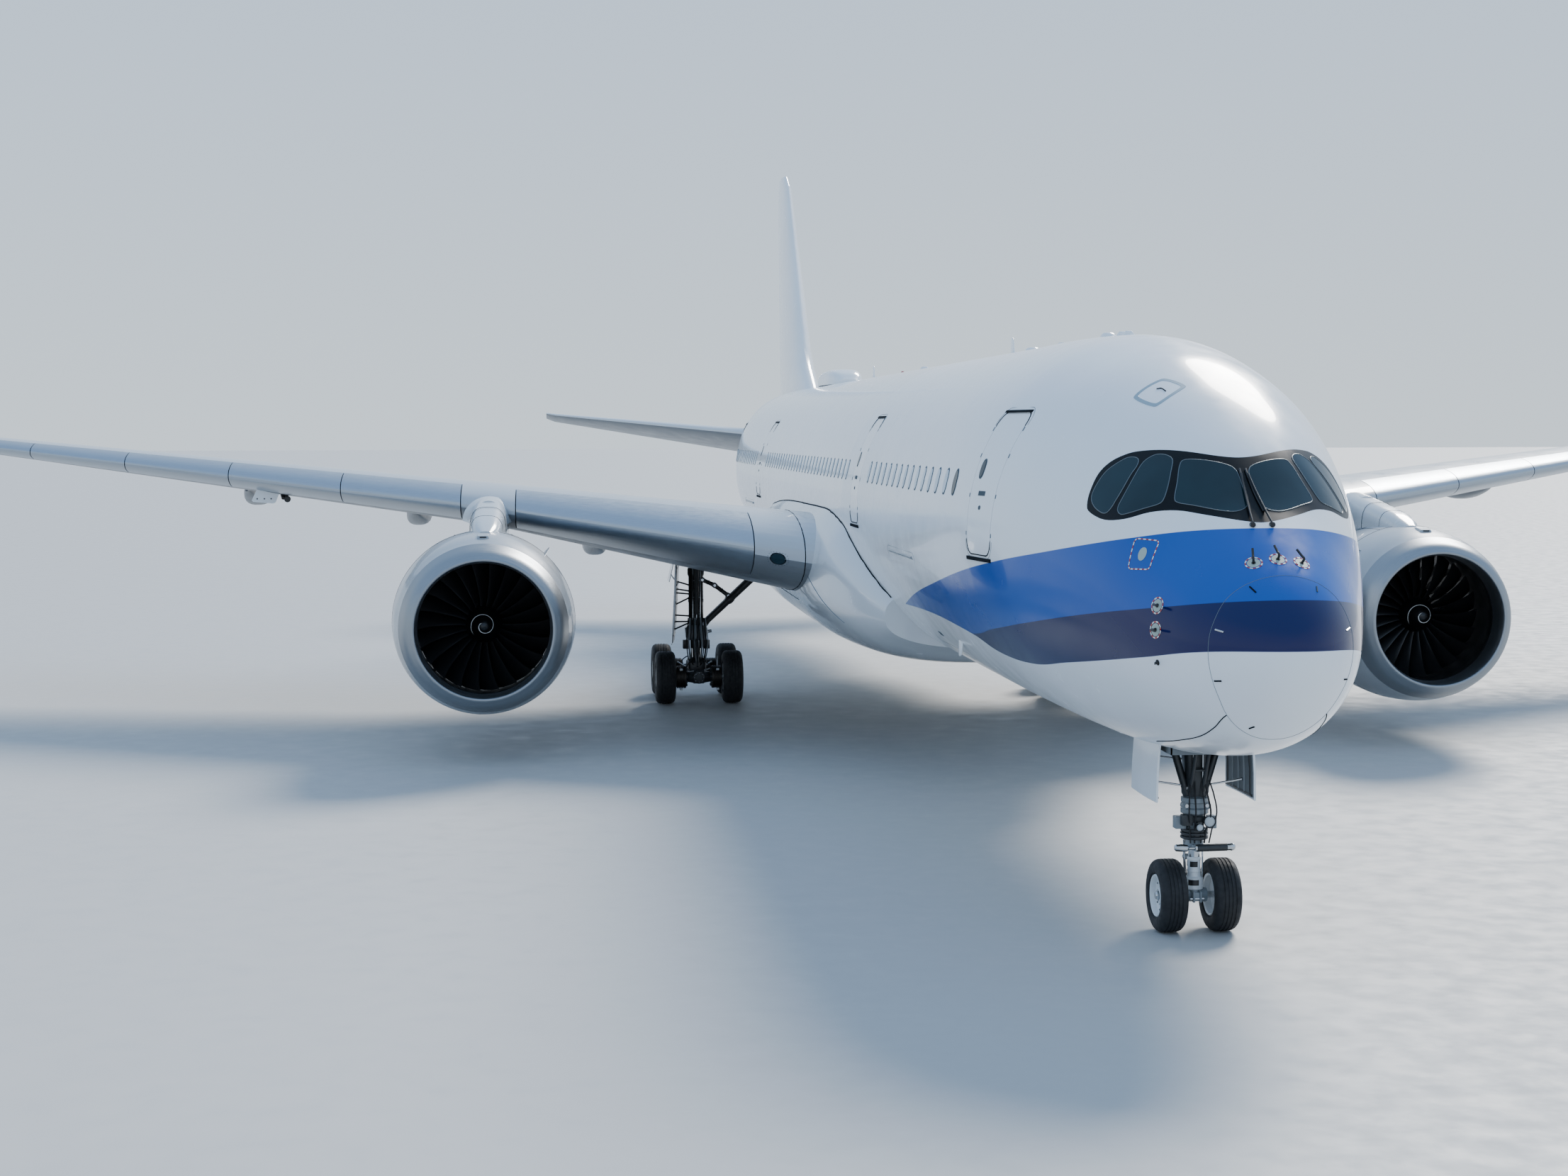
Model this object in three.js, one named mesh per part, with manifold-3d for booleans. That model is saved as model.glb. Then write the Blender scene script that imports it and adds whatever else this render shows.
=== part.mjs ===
// A wide body twin-jet airliner parked on its gear, at half of its real size.
// Every length here is the real aircraft's, in metres. The last group turns real metres into
// the half-size model's millimetres.
// Stations are metres aft of the nose tip, X is metres to port and Z is metres above the ground.
import * as THREE from "three";
import { mergeVertices } from "three/addons/utils/BufferGeometryUtils.js";
import Module from "manifold-3d";

const wasm = await Module();
wasm.setup();

// Scale and overall size.
const MODEL_SCALE = 1 / 2;
const MILLIMETRES = 1000 * MODEL_SCALE;
const OVERALL_LENGTH = 66.8;
const SEAM = 0.3 / MILLIMETRES;
const RUNNING = 6 / MILLIMETRES;
const BEARING = 0.4 / MILLIMETRES;
// Degrees by which a hinged surface's space reaches beyond its travel.
const COVE_SLACK = 0.4;
const MERGE_DISTANCE = 2e-6;
const WELD_DISTANCE = 2e-5;

// Fuselage. Columns: station, crown height, keel height, half width.
const FUSELAGE = [
  [0, 4.44, 4.44, 0],
  [0.12, 4.87, 3.99, 0.4],
  [0.5, 5.29, 3.56, 0.83],
  [1.0, 5.64, 3.19, 1.16],
  [1.8, 6.2, 2.92, 1.5],
  [2.8, 7.06, 2.76, 1.86],
  [4.0, 7.78, 2.64, 2.24],
  [5.5, 8.34, 2.59, 2.61],
  [7.5, 8.66, 2.58, 2.86],
  [10, 8.7, 2.58, 2.965],
  [13, 8.68, 2.58, 2.98],
  [44, 8.67, 2.58, 2.98],
  [48, 8.67, 2.85, 2.92],
  [52, 8.66, 3.65, 2.6],
  [56, 8.6, 4.75, 2.05],
  [60, 8.4, 5.85, 1.35],
  [63, 8.05, 6.55, 0.78],
  [65.26, 7.65, 6.98, 0.32],
];
const RING_STATIONS = [
  0, 0.04, 0.16, 0.4, 0.75, 1.15, 1.8, 2.4, 3.1, 4, 5, 6.2, 7.8, 9, 10.5, 13, 20.5, 36.6, 44, 46.5,
  48.5, 50.5, 53, 55.5, 58, 61, 63, 64.4, 65.26,
];
const RING_SIDES = 32;
// Columns: name, first station, last station. Each station is also a ring.
const FUSELAGE_SECTIONS = [
  ["radome", 0, 1.15],
  ["nose_section", 1.15, 9],
  ["forward_fuselage", 9, 20.5],
  ["centre_fuselage", 20.5, 36.6],
  ["aft_fuselage", 36.6, 50.5],
  ["tail_cone", 50.5, 65.26],
];

// Belly fairing. Columns: station, half width, keel height, top height.
const BELLY_FAIRING = [
  [16.8, 2.6, 2.85, 4.2],
  [18.6, 3.1, 2.4, 5.1],
  [20.6, 3.45, 2.22, 5.85],
  [23.5, 3.6, 2.14, 6.05],
  [30, 3.6, 2.13, 6],
  [35, 3.5, 2.18, 5.8],
  [38, 3.15, 2.4, 5.1],
  [41, 2.6, 2.85, 4.2],
];
const FAIRING_POWER = 2.6;

// Aerial fairing on the crown. Columns: station, half width, top height.
const AERIAL_FAIRING = [
  [41.6, 0.3, 8.8],
  [42.0, 0.46, 9.03],
  [42.8, 0.56, 9.13],
  [44.8, 0.55, 9.12],
  [45.7, 0.44, 9.02],
  [46.2, 0.26, 8.8],
];
const AERIAL_FOOT = 8.45;
const AERIAL_FLATNESS = 0.6;

// Jacking pads. Columns: X, station. Each pad's flat foot hangs this far below the skin.
const NOSE_JACK = [0, 6.7];
const WING_JACK = [6.8, 30.4];
const JACK_RADIUS = 0.09;
const JACK_DROP = 0.06;

// Cockpit window band, as half of its front view. Columns: X, Z.
const WINDOW_BAND = [
  [0, 5.98],
  [0.45, 6.03],
  [0.9, 6.12],
  [1.3, 6.05],
  [1.63, 5.96],
  [1.83, 6.26],
  [1.71, 6.5],
  [1.5, 6.73],
  [1.1, 6.91],
  [0.7, 6.9],
  [0.26, 6.83],
  [0, 6.79],
];
const WINDOW_BAND_STATIONS = [1.2, 3.75];
const WINDOW_BAND_CENTRE = 6.45;
const WINDOW_BAND_REACH = [1.8, 0.45];
const WINDOW_DEPTH = 0.06;

// Passenger doors, each one a panel in the skin on both sides.
const DOOR_STATIONS = [6.45, 18.6, 39.8, 52.6];
const DOOR_WIDTH = 1.07;
const DOOR_SILL = 5.32;
const DOOR_HEAD = 7.45;
const DOOR_CORNER = 0.2;
const DOOR_DEPTH = 0.14;

// Cargo doors on the starboard side, hinged along their tops. Columns: name, fore and aft edge.
const CARGO_DOORS = [
  ["cargo_door_forward", 11.5, 14.3],
  ["cargo_door_aft", 42, 44.8],
];
const CARGO_SILL = 3.3;
const CARGO_HEAD = 4.95;
const CARGO_DEPTH = 0.16;
const CARGO_HINGE_RADIUS = 0.03;

// Wing. Columns: X, leading edge station, chord, leading edge height, incidence in degrees,
// thickness over chord, cant in degrees.
const WING = [
  [3, 21, 14.4, 4.38, 2.9, 0.133, 0],
  [10.8, 26.6, 8.8, 5.42, 1.6, 0.115, 0],
  [29, 39.34, 2.7, 7.25, -1, 0.1, 4],
  [30.4, 40.45, 2.25, 7.58, -1, 0.1, 26],
  [31.4, 41.55, 1.75, 8.2, -1, 0.1, 50],
  [32.05, 42.8, 1.2, 9.0, -1, 0.09, 66],
  [32.36, 44, 0.55, 9.95, -1, 0.09, 78],
];
const WING_CAMBER = 0.012;
const SECTION_FRACTIONS = [1, 0.82, 0.64, 0.45, 0.28, 0.15, 0.065, 0.018, 0];
const BLUNT_EDGE = 0.003;

// Leading edge devices. Columns: name, inboard X, outboard X.
const LEADING_EDGE = [
  ["droop_nose", 4.7, 9.96],
  ["slats", 11.3, 28.6],
];
const SLAT_UPPER_FRACTION = 0.13;
const SLAT_LOWER_FRACTION = 0.096;

// Flaps turn about a line below the wing. Columns: name, inboard X and hinge station,
// outboard X and hinge station, drop of the hinge below the lower skin.
const FLAPS = [
  ["flap_inboard", 4.35, 33.95, 10.2, 33.95, 0.42],
  ["flap_outboard", 11.1, 34.45, 20.9, 37.75, 0.34],
];
const FLAP_TRAVEL = 35;
const SHROUD_THICKNESS = 0.045;
// Flap track fairings. Columns: flap index, X.
const TRACK_FAIRINGS = [
  [0, 8.0],
  [1, 12.7],
  [1, 17.15],
];
const TRACK_HALF_WIDTH = 0.33;
const TRACK_FORE = 3.1;
const TRACK_AFT = 1.55;
const TRACK_DEPTH = 0.6;
const TRACK_BEARING_RADIUS = 0.26;

// Ailerons. Inboard and outboard X of the hinge, its chord fraction and travel.
const AILERON_SPAN = [21.25, 27.7];
const AILERON_FRACTION = 0.74;
const AILERON_TRAVEL = 25;

// Engines.
const ENGINE_X = 10.59;
const ENGINE_Z = 2.95;
const INTAKE_STATION = 21.14;
const TOE_IN = 1.5;
const ENGINE_SIDES = 26;
// Columns: radius, metres behind the intake.
const LIP_PROFILE = [
  [1.425, 0.58],
  [1.425, 0.22],
  [1.46, 0.04],
  [1.505, 0],
  [1.57, 0.04],
  [1.7, 0.2],
  [1.83, 0.58],
];
const COWL_PROFILE = [
  [1.83, 0.58],
  [1.96, 1.25],
  [2.03, 2.3],
  [1.99, 3.5],
  [1.86, 4.7],
  [1.62, 5.8],
  [1.575, 5.8],
  [1.66, 4],
  [1.62, 2.6],
  [1.5, 2.05],
  [1.5, 1.2],
  [1.425, 0.7],
  [1.425, 0.58],
];
const CORE_PROFILE = [
  [0, 2.2],
  [0.42, 2.2],
  [0.9, 2.95],
  [1.1, 3.9],
  [1.12, 4.8],
  [1.03, 5.9],
  [0.8, 7],
  [0.64, 7],
  [0.5, 7.35],
  [0, 8.05],
];
const SPINNER_PROFILE = [
  [0, 1],
  [0.12, 1.07],
  [0.28, 1.28],
  [0.41, 1.58],
  [0.42, 2.18],
  [0, 2.18],
];
const SHAFT_RADIUS = 0.15;
const SHAFT_END = 2.45;
const BLADE_COUNT = 22;
const BLADE_MIDDLE = 1.74;
// Fan blade sections. Columns: radius, chord, angle from the axis in degrees, thickness, lean.
const BLADE_SECTIONS = [
  [0.34, 0.42, 18, 0.035, 0],
  [0.95, 0.53, 42, 0.028, 0.02],
  [1.48, 0.46, 62, 0.016, -0.08],
];
const STRUT_COUNT = 8;

// Pylon. Columns: station, half width, foot height, top height.
const PYLON = [
  [22.95, 0.16, 4.6, 4.99],
  [23.7, 0.36, 4.2, 5.25],
  [25.2, 0.42, 4.1, 5.47],
  [26.5, 0.43, 3.6, 5.62],
  [28.2, 0.42, 3.65, 5.62],
  [29.0, 0.4, 4.08, 5.6],
  [30.3, 0.32, 4.55, 5.5],
  [32.1, 0.14, 4.95, 5.3],
];
const PYLON_CHAMFER = 0.5;

// Fin. Columns: height, leading edge station, chord, thickness over chord.
const FIN = [
  [8.2, 50.3, 11.4, 0.085],
  [8.9, 51.5, 10.3, 0.09],
  [9.5, 52.8, 9.05, 0.1],
  [10.2, 53.75, 8.2, 0.105],
  [16.6, 59.1, 3.6, 0.1],
  [17.05, 59.9, 2.6, 0.08],
];
// Rudder hinge. Columns: station, height.
const RUDDER_HINGE = [
  [59.25, 9.35],
  [61.55, 16.3],
];
const RUDDER_TRAVEL = 30;

// Tailplane. Columns: X, leading edge station, chord, height, thickness over chord.
const TAILPLANE = [
  [0.7, 57.18, 7.05, 7.03, 0.105],
  [9.0, 64.15, 2.4, 7.88, 0.09],
  [9.34, 65.0, 1.81, 7.95, 0.07],
];
const TAILPLANE_INCIDENCE = 6.2;
const ELEVATOR_SPAN = [2.0, 8.75];
const ELEVATOR_FRACTION = 0.7;
const ELEVATOR_UP = 30;
const ELEVATOR_DOWN = 15;

// Nose gear.
const NOSE_GEAR_STATION = 4.32;
const NOSE_TYRE_RADIUS = 0.525;
const NOSE_TYRE_WIDTH = 0.395;
const NOSE_TYRE_X = 0.39;
const NOSE_BAY = [3.55, 5.35];
const NOSE_BAY_HALF_WIDTH = 0.58;
const NOSE_BAY_ROOF = 3.35;

// Main gear.
const MAIN_GEAR_STATION = 32.98;
const MAIN_GEAR_X = 5.3;
const MAIN_TYRE_RADIUS = 0.7;
const MAIN_TYRE_WIDTH = 0.53;
const MAIN_TYRE_X = 0.886;
const BOGIE_HALF_BASE = 1.02;
const MAIN_LEG_TOP = 4.5;

const WHITE = 0xe9edf2;
const FAIRING_GREY = 0xdadde0;
const WING_GREY = 0xb9bec4;
const BARE_METAL = 0xc4c7ca;
const COWL_GREY = 0xcfd2d4;
const DARK_METAL = 0x3a3b3d;
const FAN_BLACK = 0x15161a;
const GLASS = 0x10181c;
const GEAR_GREY = 0x8d9195;
const TYRE_BLACK = 0x17181a;

const ARC_STEPS = 6;
const FULL_TURN = 2 * Math.PI;
const radians = THREE.MathUtils.degToRad;
const point = (x, station, z) => new THREE.Vector3(x, station, z);

// Solids.

function toSolid(geometry) {
  const bare = geometry.clone();
  bare.deleteAttribute("normal");
  bare.deleteAttribute("uv");
  const merged = mergeVertices(bare, MERGE_DISTANCE);
  const triVerts = new Uint32Array(merged.index.array);
  const vertProperties = merged.attributes.position.array;
  const make = () => new wasm.Manifold(new wasm.Mesh({ numProp: 3, vertProperties, triVerts }));
  const made = make();
  if (made.volume() > 0) return made;
  for (let i = 0; i < triVerts.length; i += 3) {
    const swapped = triVerts[i + 1];
    triVerts[i + 1] = triVerts[i + 2];
    triVerts[i + 2] = swapped;
  }
  return make();
}

function toGeometry(solid) {
  const mesh = solid.getMesh();
  const positions = [];
  for (let i = 0; i < mesh.numVert; i += 1) {
    for (let k = 0; k < 3; k += 1) positions.push(mesh.vertProperties[i * mesh.numProp + k]);
  }
  const geometry = new THREE.BufferGeometry();
  geometry.setAttribute("position", new THREE.Float32BufferAttribute(positions, 3));
  geometry.setIndex(Array.from(mesh.triVerts));
  return welded(geometry);
}

// Closes the very short edges that a cut leaves, with the triangles that vanish with them.
function welded(geometry) {
  const merged = mergeVertices(geometry, WELD_DISTANCE);
  const kept = [];
  const index = merged.index.array;
  for (let i = 0; i < index.length; i += 3) {
    const corners = [index[i], index[i + 1], index[i + 2]];
    if (new Set(corners).size === 3) kept.push(...corners);
  }
  merged.setIndex(kept);
  return merged;
}

function joined(solids) {
  return solids.reduce((whole, piece) => whole.add(piece));
}

// The largest of the bodies that a cut leaves.
function mainBody(solid) {
  const bodies = solid.decompose();
  return bodies.reduce((best, body) => (body.volume() > best.volume() ? body : best));
}

function mirrored(solid) {
  const geometry = toGeometry(solid);
  geometry.scale(-1, 1, 1);
  return toSolid(geometry);
}

// A solid skinned over closed rings of points. A ring of one point is a tip. Each half of the
// ring has its diagonals the other way, so that a ring that starts on the centre line gives two
// sides that mirror each other exactly.
function loft(rings) {
  const positions = [];
  const starts = [];
  for (const ring of rings) {
    starts.push(positions.length / 3);
    for (const p of ring) positions.push(p.x, p.y, p.z);
  }
  const faces = [];
  for (let r = 0; r + 1 < rings.length; r += 1) {
    const near = rings[r];
    const far = rings[r + 1];
    const count = Math.max(near.length, far.length);
    for (let i = 0; i < count; i += 1) {
      const j = (i + 1) % count;
      const a = starts[r] + (i % near.length);
      const b = starts[r] + (j % near.length);
      const c = starts[r + 1] + (j % far.length);
      const d = starts[r + 1] + (i % far.length);
      const mirroredHalf = i >= count / 2;
      if (far.length === 1) faces.push(a, b, d);
      else if (near.length === 1) faces.push(a, c, d);
      else if (mirroredHalf) faces.push(a, b, d, b, c, d);
      else faces.push(a, b, c, a, c, d);
    }
  }
  for (const [r, flip] of [
    [0, true],
    [rings.length - 1, false],
  ]) {
    if (rings[r].length > 1) faces.push(...capFaces(rings[r], starts[r], flip));
  }
  const geometry = new THREE.BufferGeometry();
  geometry.setAttribute("position", new THREE.Float32BufferAttribute(positions, 3));
  geometry.setIndex(faces);
  return toSolid(geometry);
}

function capFaces(ring, start, flip) {
  const normal = new THREE.Vector3();
  ring.forEach((p, i) => normal.add(p.clone().cross(ring[(i + 1) % ring.length])));
  const sizes = [Math.abs(normal.x), Math.abs(normal.y), Math.abs(normal.z)];
  const dropped = sizes.indexOf(Math.max(...sizes));
  const keys = ["x", "y", "z"].filter((key, k) => k !== dropped);
  const flat = ring.map((p) => new THREE.Vector2(p[keys[0]], p[keys[1]]));
  const clockwise = THREE.ShapeUtils.isClockWise(flat);
  const faces = [];
  for (const [a, b, c] of THREE.ShapeUtils.triangulateShape(flat, [])) {
    const around = turnsForward(flat, a, b, c) !== clockwise;
    const order = around !== flip ? [a, b, c] : [a, c, b];
    faces.push(...order.map((k) => start + k));
  }
  return faces;
}

// Whether a triangle's corners run the same way round as a counter-clockwise outline.
function turnsForward(flat, a, b, c) {
  const ab = flat[b].clone().sub(flat[a]);
  const ac = flat[c].clone().sub(flat[a]);
  return ab.cross(ac) > 0;
}

// A straight prism. Its outline lies across the named axis, in the other two in X, station, Z
// order.
function prism(outline, axis, low, high) {
  const shape = new THREE.Shape(outline.map(([u, v]) => new THREE.Vector2(u, v)));
  const geometry = new THREE.ExtrudeGeometry(shape, { depth: high - low, bevelEnabled: false });
  const unit = [point(1, 0, 0), point(0, 1, 0), point(0, 0, 1)];
  const basis = new THREE.Matrix4();
  if (axis === "x") basis.makeBasis(unit[1], unit[2], unit[0]).setPosition(low, 0, 0);
  if (axis === "y") {
    basis.makeBasis(unit[0], unit[2], unit[1].clone().negate()).setPosition(0, high, 0);
  }
  if (axis === "z") basis.makeBasis(...unit).setPosition(0, 0, low);
  geometry.applyMatrix4(basis);
  return toSolid(geometry);
}

function box(low, high) {
  const size = [0, 1, 2].map((k) => high[k] - low[k]);
  const middle = [0, 1, 2].map((k) => (high[k] + low[k]) / 2);
  return toSolid(new THREE.BoxGeometry(...size).translate(...middle));
}

function roundedRectangle(u0, u1, v0, v1, radius) {
  const steps = 2;
  const outline = [];
  const corners = [
    [u1 - radius, v1 - radius, 0],
    [u0 + radius, v1 - radius, 1],
    [u0 + radius, v0 + radius, 2],
    [u1 - radius, v0 + radius, 3],
  ];
  for (const [u, v, quarter] of corners) {
    for (let i = 0; i <= steps; i += 1) {
      const angle = ((quarter + i / steps) * Math.PI) / 2;
      outline.push([u + radius * Math.cos(angle), v + radius * Math.sin(angle)]);
    }
  }
  return outline;
}

// A rod between two points. Half a step of turn lines a bore's flats up with a pin's corners.
function rod(from, to, radius, sides = 10, halfStep = false) {
  const length = from.distanceTo(to);
  const shape = new THREE.CylinderGeometry(radius, radius, length, sides);
  if (halfStep) shape.rotateY(Math.PI / sides);
  const along = to.clone().sub(from).normalize();
  const turn = new THREE.Quaternion().setFromUnitVectors(point(0, 1, 0), along);
  shape.applyQuaternion(turn);
  const middle = from.clone().add(to).multiplyScalar(0.5);
  return toSolid(shape.translate(middle.x, middle.y, middle.z));
}

// The bore that a rod of this radius runs in.
function bore(from, to, radius, sides = 10) {
  return rod(from, to, (radius + BEARING) / Math.cos(Math.PI / sides), sides, true);
}

function turned(profile, sides) {
  const points = profile.map(([radius, y]) => new THREE.Vector2(radius, y));
  return toSolid(new THREE.LatheGeometry(points, sides));
}

function turnedRing(profile, sides) {
  return turned([...profile, profile[0]], sides);
}

// Fuselage.

// A monotone curve through rows, against the square root of the station so that it stays round
// at the nose.
function rowCurve(rows, column) {
  const x = rows.map((row) => Math.sqrt(row[0]));
  const y = rows.map((row) => row[column]);
  const slope = x.slice(1).map((value, i) => (y[i + 1] - y[i]) / (value - x[i]));
  const tangent = y.map((value, i) => {
    if (i === 0) return slope[0];
    if (i === y.length - 1) return slope[i - 1];
    if (slope[i - 1] * slope[i] <= 0) return 0;
    const before = x[i] - x[i - 1];
    const after = x[i + 1] - x[i];
    const first = 2 * after + before;
    const second = after + 2 * before;
    return (first + second) / (first / slope[i - 1] + second / slope[i]);
  });
  return (station) => {
    const at = Math.sqrt(station);
    let i = 0;
    while (i < x.length - 2 && at > x[i + 1]) i += 1;
    const width = x[i + 1] - x[i];
    const t = (at - x[i]) / width;
    const fromStart = y[i] * (1 + 2 * t) * (1 - t) ** 2 + tangent[i] * width * t * (1 - t) ** 2;
    const fromEnd = y[i + 1] * t * t * (3 - 2 * t) + tangent[i + 1] * width * t * t * (t - 1);
    return fromStart + fromEnd;
  };
}

const crownAt = rowCurve(FUSELAGE, 1);
const keelAt = rowCurve(FUSELAGE, 2);
const halfWidthAt = rowCurve(FUSELAGE, 3);

function fuselageRing(station, grow = 0) {
  const middle = (crownAt(station) + keelAt(station)) / 2;
  const halfHeight = (crownAt(station) - keelAt(station)) / 2 + grow;
  const halfWidth = halfWidthAt(station) + grow;
  if (halfWidth < 0.01) return [point(0, station, middle)];
  const ring = [];
  for (let i = 0; i < RING_SIDES; i += 1) {
    const angle = (FULL_TURN * i) / RING_SIDES;
    ring.push(point(halfWidth * Math.sin(angle), station, middle + halfHeight * Math.cos(angle)));
  }
  return ring;
}

function fuselageSolid(from, to, grow = 0) {
  const between = RING_STATIONS.filter((s) => s > from + 0.02 && s < to - 0.02);
  return loft([from, ...between, to].map((station) => fuselageRing(station, grow)));
}

// The same skin between the nearest rings outside two stations, so that its facets are those of
// the sections.
function skinSolid(from, to, grow = 0) {
  const start = RING_STATIONS.findLast((station) => station <= from);
  const end = RING_STATIONS.find((station) => station >= to);
  return fuselageSolid(start, end, grow);
}

// X of the skin at a station and height.
function skinX(station, z) {
  const middle = (crownAt(station) + keelAt(station)) / 2;
  const halfHeight = (crownAt(station) - keelAt(station)) / 2;
  return halfWidthAt(station) * Math.sqrt(1 - ((z - middle) / halfHeight) ** 2);
}

// A block of skin inside an outline seen from the side, and the pocket that it sits in.
function skinPanel(outline, pocketOutline, depth, gap, from, to) {
  const beyond = 4;
  const inside = 0.8;
  const panel = prism(outline, "x", inside, beyond)
    .intersect(skinSolid(from, to))
    .subtract(skinSolid(from, to, -depth));
  const pocket = prism(pocketOutline, "x", inside, beyond).subtract(
    skinSolid(from, to, -depth - gap),
  );
  return [panel, pocket];
}

// Sections of wing, fin and tailplane.

// Half thickness over chord at a chord fraction, for a section of unit thickness.
function halfThickness(f) {
  const curve = 0.2969 * Math.sqrt(f) - 0.126 * f - 0.3516 * f ** 2 + 0.2843 * f ** 3;
  return 5 * (curve - 0.1036 * f ** 4);
}

// Columns of each point: chord fraction, height over chord. Upper side first, from the trailing
// edge forward, then the lower side back.
function sectionLoop(thickness, camber) {
  const line = (f) => 4 * camber * f * (1 - f);
  const half = (f) => thickness * halfThickness(f) + BLUNT_EDGE * f;
  const upper = SECTION_FRACTIONS.map((f) => [f, line(f) + half(f)]);
  const lower = SECTION_FRACTIONS.slice(0, -1).map((f) => [f, line(f) - half(f)]);
  return [...upper, ...lower.reverse()];
}

function wingRing([x, leading, chord, z, incidence, thickness, cant]) {
  const tilt = radians(incidence);
  const lean = radians(cant);
  return sectionLoop(thickness, WING_CAMBER).map(([f, h]) => {
    const along = chord * (f * Math.cos(tilt) + h * Math.sin(tilt));
    const rise = chord * (h * Math.cos(tilt) - f * Math.sin(tilt));
    return point(x - rise * Math.sin(lean), leading + along, z + rise * Math.cos(lean));
  });
}

function finRing([z, leading, chord, thickness]) {
  return sectionLoop(thickness, 0).map(([f, h]) => point(chord * h, leading + chord * f, z));
}

function tailplaneRing([x, leading, chord, z, thickness]) {
  const tilt = radians(TAILPLANE_INCIDENCE);
  return sectionLoop(thickness, 0).map(([f, h]) => {
    const along = chord * (f * Math.cos(tilt) + h * Math.sin(tilt));
    const rise = chord * (h * Math.cos(tilt) - f * Math.sin(tilt));
    return point(x, leading + along, z + rise);
  });
}

// Upper and lower skin points at a span position and chord fraction.
function skinsAt(rows, ringOf, position, fraction) {
  let i = 0;
  while (i < rows.length - 2 && position > rows[i + 1][0]) i += 1;
  const t = (position - rows[i][0]) / (rows[i + 1][0] - rows[i][0]);
  const near = ringOf(rows[i]);
  const far = ringOf(rows[i + 1]);
  const ring = near.map((p, k) => p.clone().lerp(far[k], t));
  let k = 0;
  while (SECTION_FRACTIONS[k + 1] > fraction) k += 1;
  const share = (SECTION_FRACTIONS[k] - fraction) / (SECTION_FRACTIONS[k] - SECTION_FRACTIONS[k + 1]);
  const last = ring.length - 1;
  const upper = ring[k].clone().lerp(ring[k + 1], share);
  const lower = ring[last - k].clone().lerp(ring[last - k - 1], share);
  return [upper, lower];
}

// Control surfaces.

class Hinge {
  // A straight hinge line with the directions aft and across it.
  constructor(from, to) {
    this.from = from;
    this.to = to;
    this.axis = to.clone().sub(from).normalize();
    this.aft = point(0, 1, 0).addScaledVector(this.axis, -this.axis.y).normalize();
    this.across = new THREE.Vector3().crossVectors(this.axis, this.aft);
    this.length = from.distanceTo(to);
  }

  ring(distance, profile) {
    return profile.map(([u, v]) =>
      this.from
        .clone()
        .addScaledVector(this.axis, distance)
        .addScaledVector(this.aft, u)
        .addScaledVector(this.across, v),
    );
  }

  // The space swept by a profile along the hinge line from one distance to another.
  space(profileAt, from, to) {
    return loft([this.ring(from, profileAt(from)), this.ring(to, profileAt(to))]);
  }
}

function arc(radius, fromDegrees, toDegrees, steps = ARC_STEPS) {
  const points = [];
  for (let i = 0; i <= steps; i += 1) {
    const angle = radians(fromDegrees + ((toDegrees - fromDegrees) * i) / steps);
    points.push([radius * Math.cos(angle), radius * Math.sin(angle)]);
  }
  return points;
}

// The radius of an arc's corners when its flats are to stay outside a radius.
function outsideRadius(radius, degrees, steps = ARC_STEPS) {
  return radius / Math.cos(radians(degrees / steps / 2));
}

// A control surface with a round nose on the hinge line, its cove, and the bearings that hold it.
function hingedSurface(whole, hinge, radiusAt, up, down, reach) {
  const height = 1.2;
  const moving = (distance) => {
    const r = radiusAt(distance);
    return [[reach, height], [0, height], ...arc(r, 90, 270), [0, -height], [reach, -height]];
  };
  const openUp = up + COVE_SLACK;
  const openDown = down + COVE_SLACK;
  const cove = (clearance) => (distance) => {
    const r = outsideRadius(radiusAt(distance) + clearance, 180 - openUp - openDown);
    const upper = [-height * Math.tan(radians(openUp)), height];
    const lower = [-height * Math.tan(radians(openDown)), -height];
    const bowl = arc(r, 90 + openUp, 270 - openDown);
    return [[reach, height], upper, ...bowl, lower, [reach, -height]];
  };
  const bearing = 0.12;
  const places = [0.15, 0.85].map((share) => share * hinge.length);
  const stops = [-RUNNING, ...places.flatMap((p) => [p - bearing / 2, p + bearing / 2])];
  stops.push(hinge.length + RUNNING);
  const cuts = [hinge.space(cove(BEARING), stops[0], stops.at(-1))];
  for (let i = 0; i < stops.length; i += 2) {
    cuts.push(hinge.space(cove(RUNNING), stops[i], stops[i + 1]));
  }
  const surface = mainBody(whole.intersect(hinge.space(moving, 0, hinge.length)));
  return [surface, joined(cuts)];
}

// Assembly of named meshes.

const aircraft = new THREE.Group();
aircraft.scale.setScalar(MILLIMETRES);
aircraft.position.y = (-OVERALL_LENGTH / 2) * MILLIMETRES;

function finish(color, roughness = 0.4, metalness = 0) {
  return new THREE.MeshStandardMaterial({ color, roughness, metalness });
}

function place(name, solid, material, group = aircraft) {
  const mesh = new THREE.Mesh(toGeometry(solid), material);
  mesh.name = name;
  group.add(mesh);
  return mesh;
}

// Fuselage, its windows and doors.

const sectionSolids = new Map();
for (const [name, from, to] of FUSELAGE_SECTIONS) {
  const start = from === 0 ? 0 : from + SEAM / 2;
  const end = to === FUSELAGE.at(-1)[0] ? to : to - SEAM / 2;
  sectionSolids.set(name, fuselageSolid(start, end));
}

function cutSection(name, cutter) {
  sectionSolids.set(name, sectionSolids.get(name).subtract(cutter));
}

function sectionAt(station) {
  return FUSELAGE_SECTIONS.find(([, from, to]) => station > from && station < to)[0];
}

const fullBand = [
  ...WINDOW_BAND,
  ...WINDOW_BAND.slice(1, -1)
    .reverse()
    .map(([x, z]) => [-x, z]),
];
const [bandFore, bandAft] = WINDOW_BAND_STATIONS;
const bandPrism = prism(fullBand, "y", bandFore, bandAft);
const windowBand = mainBody(
  bandPrism.intersect(skinSolid(1.15, 5)).subtract(skinSolid(1.15, 5, -WINDOW_DEPTH)),
);
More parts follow.
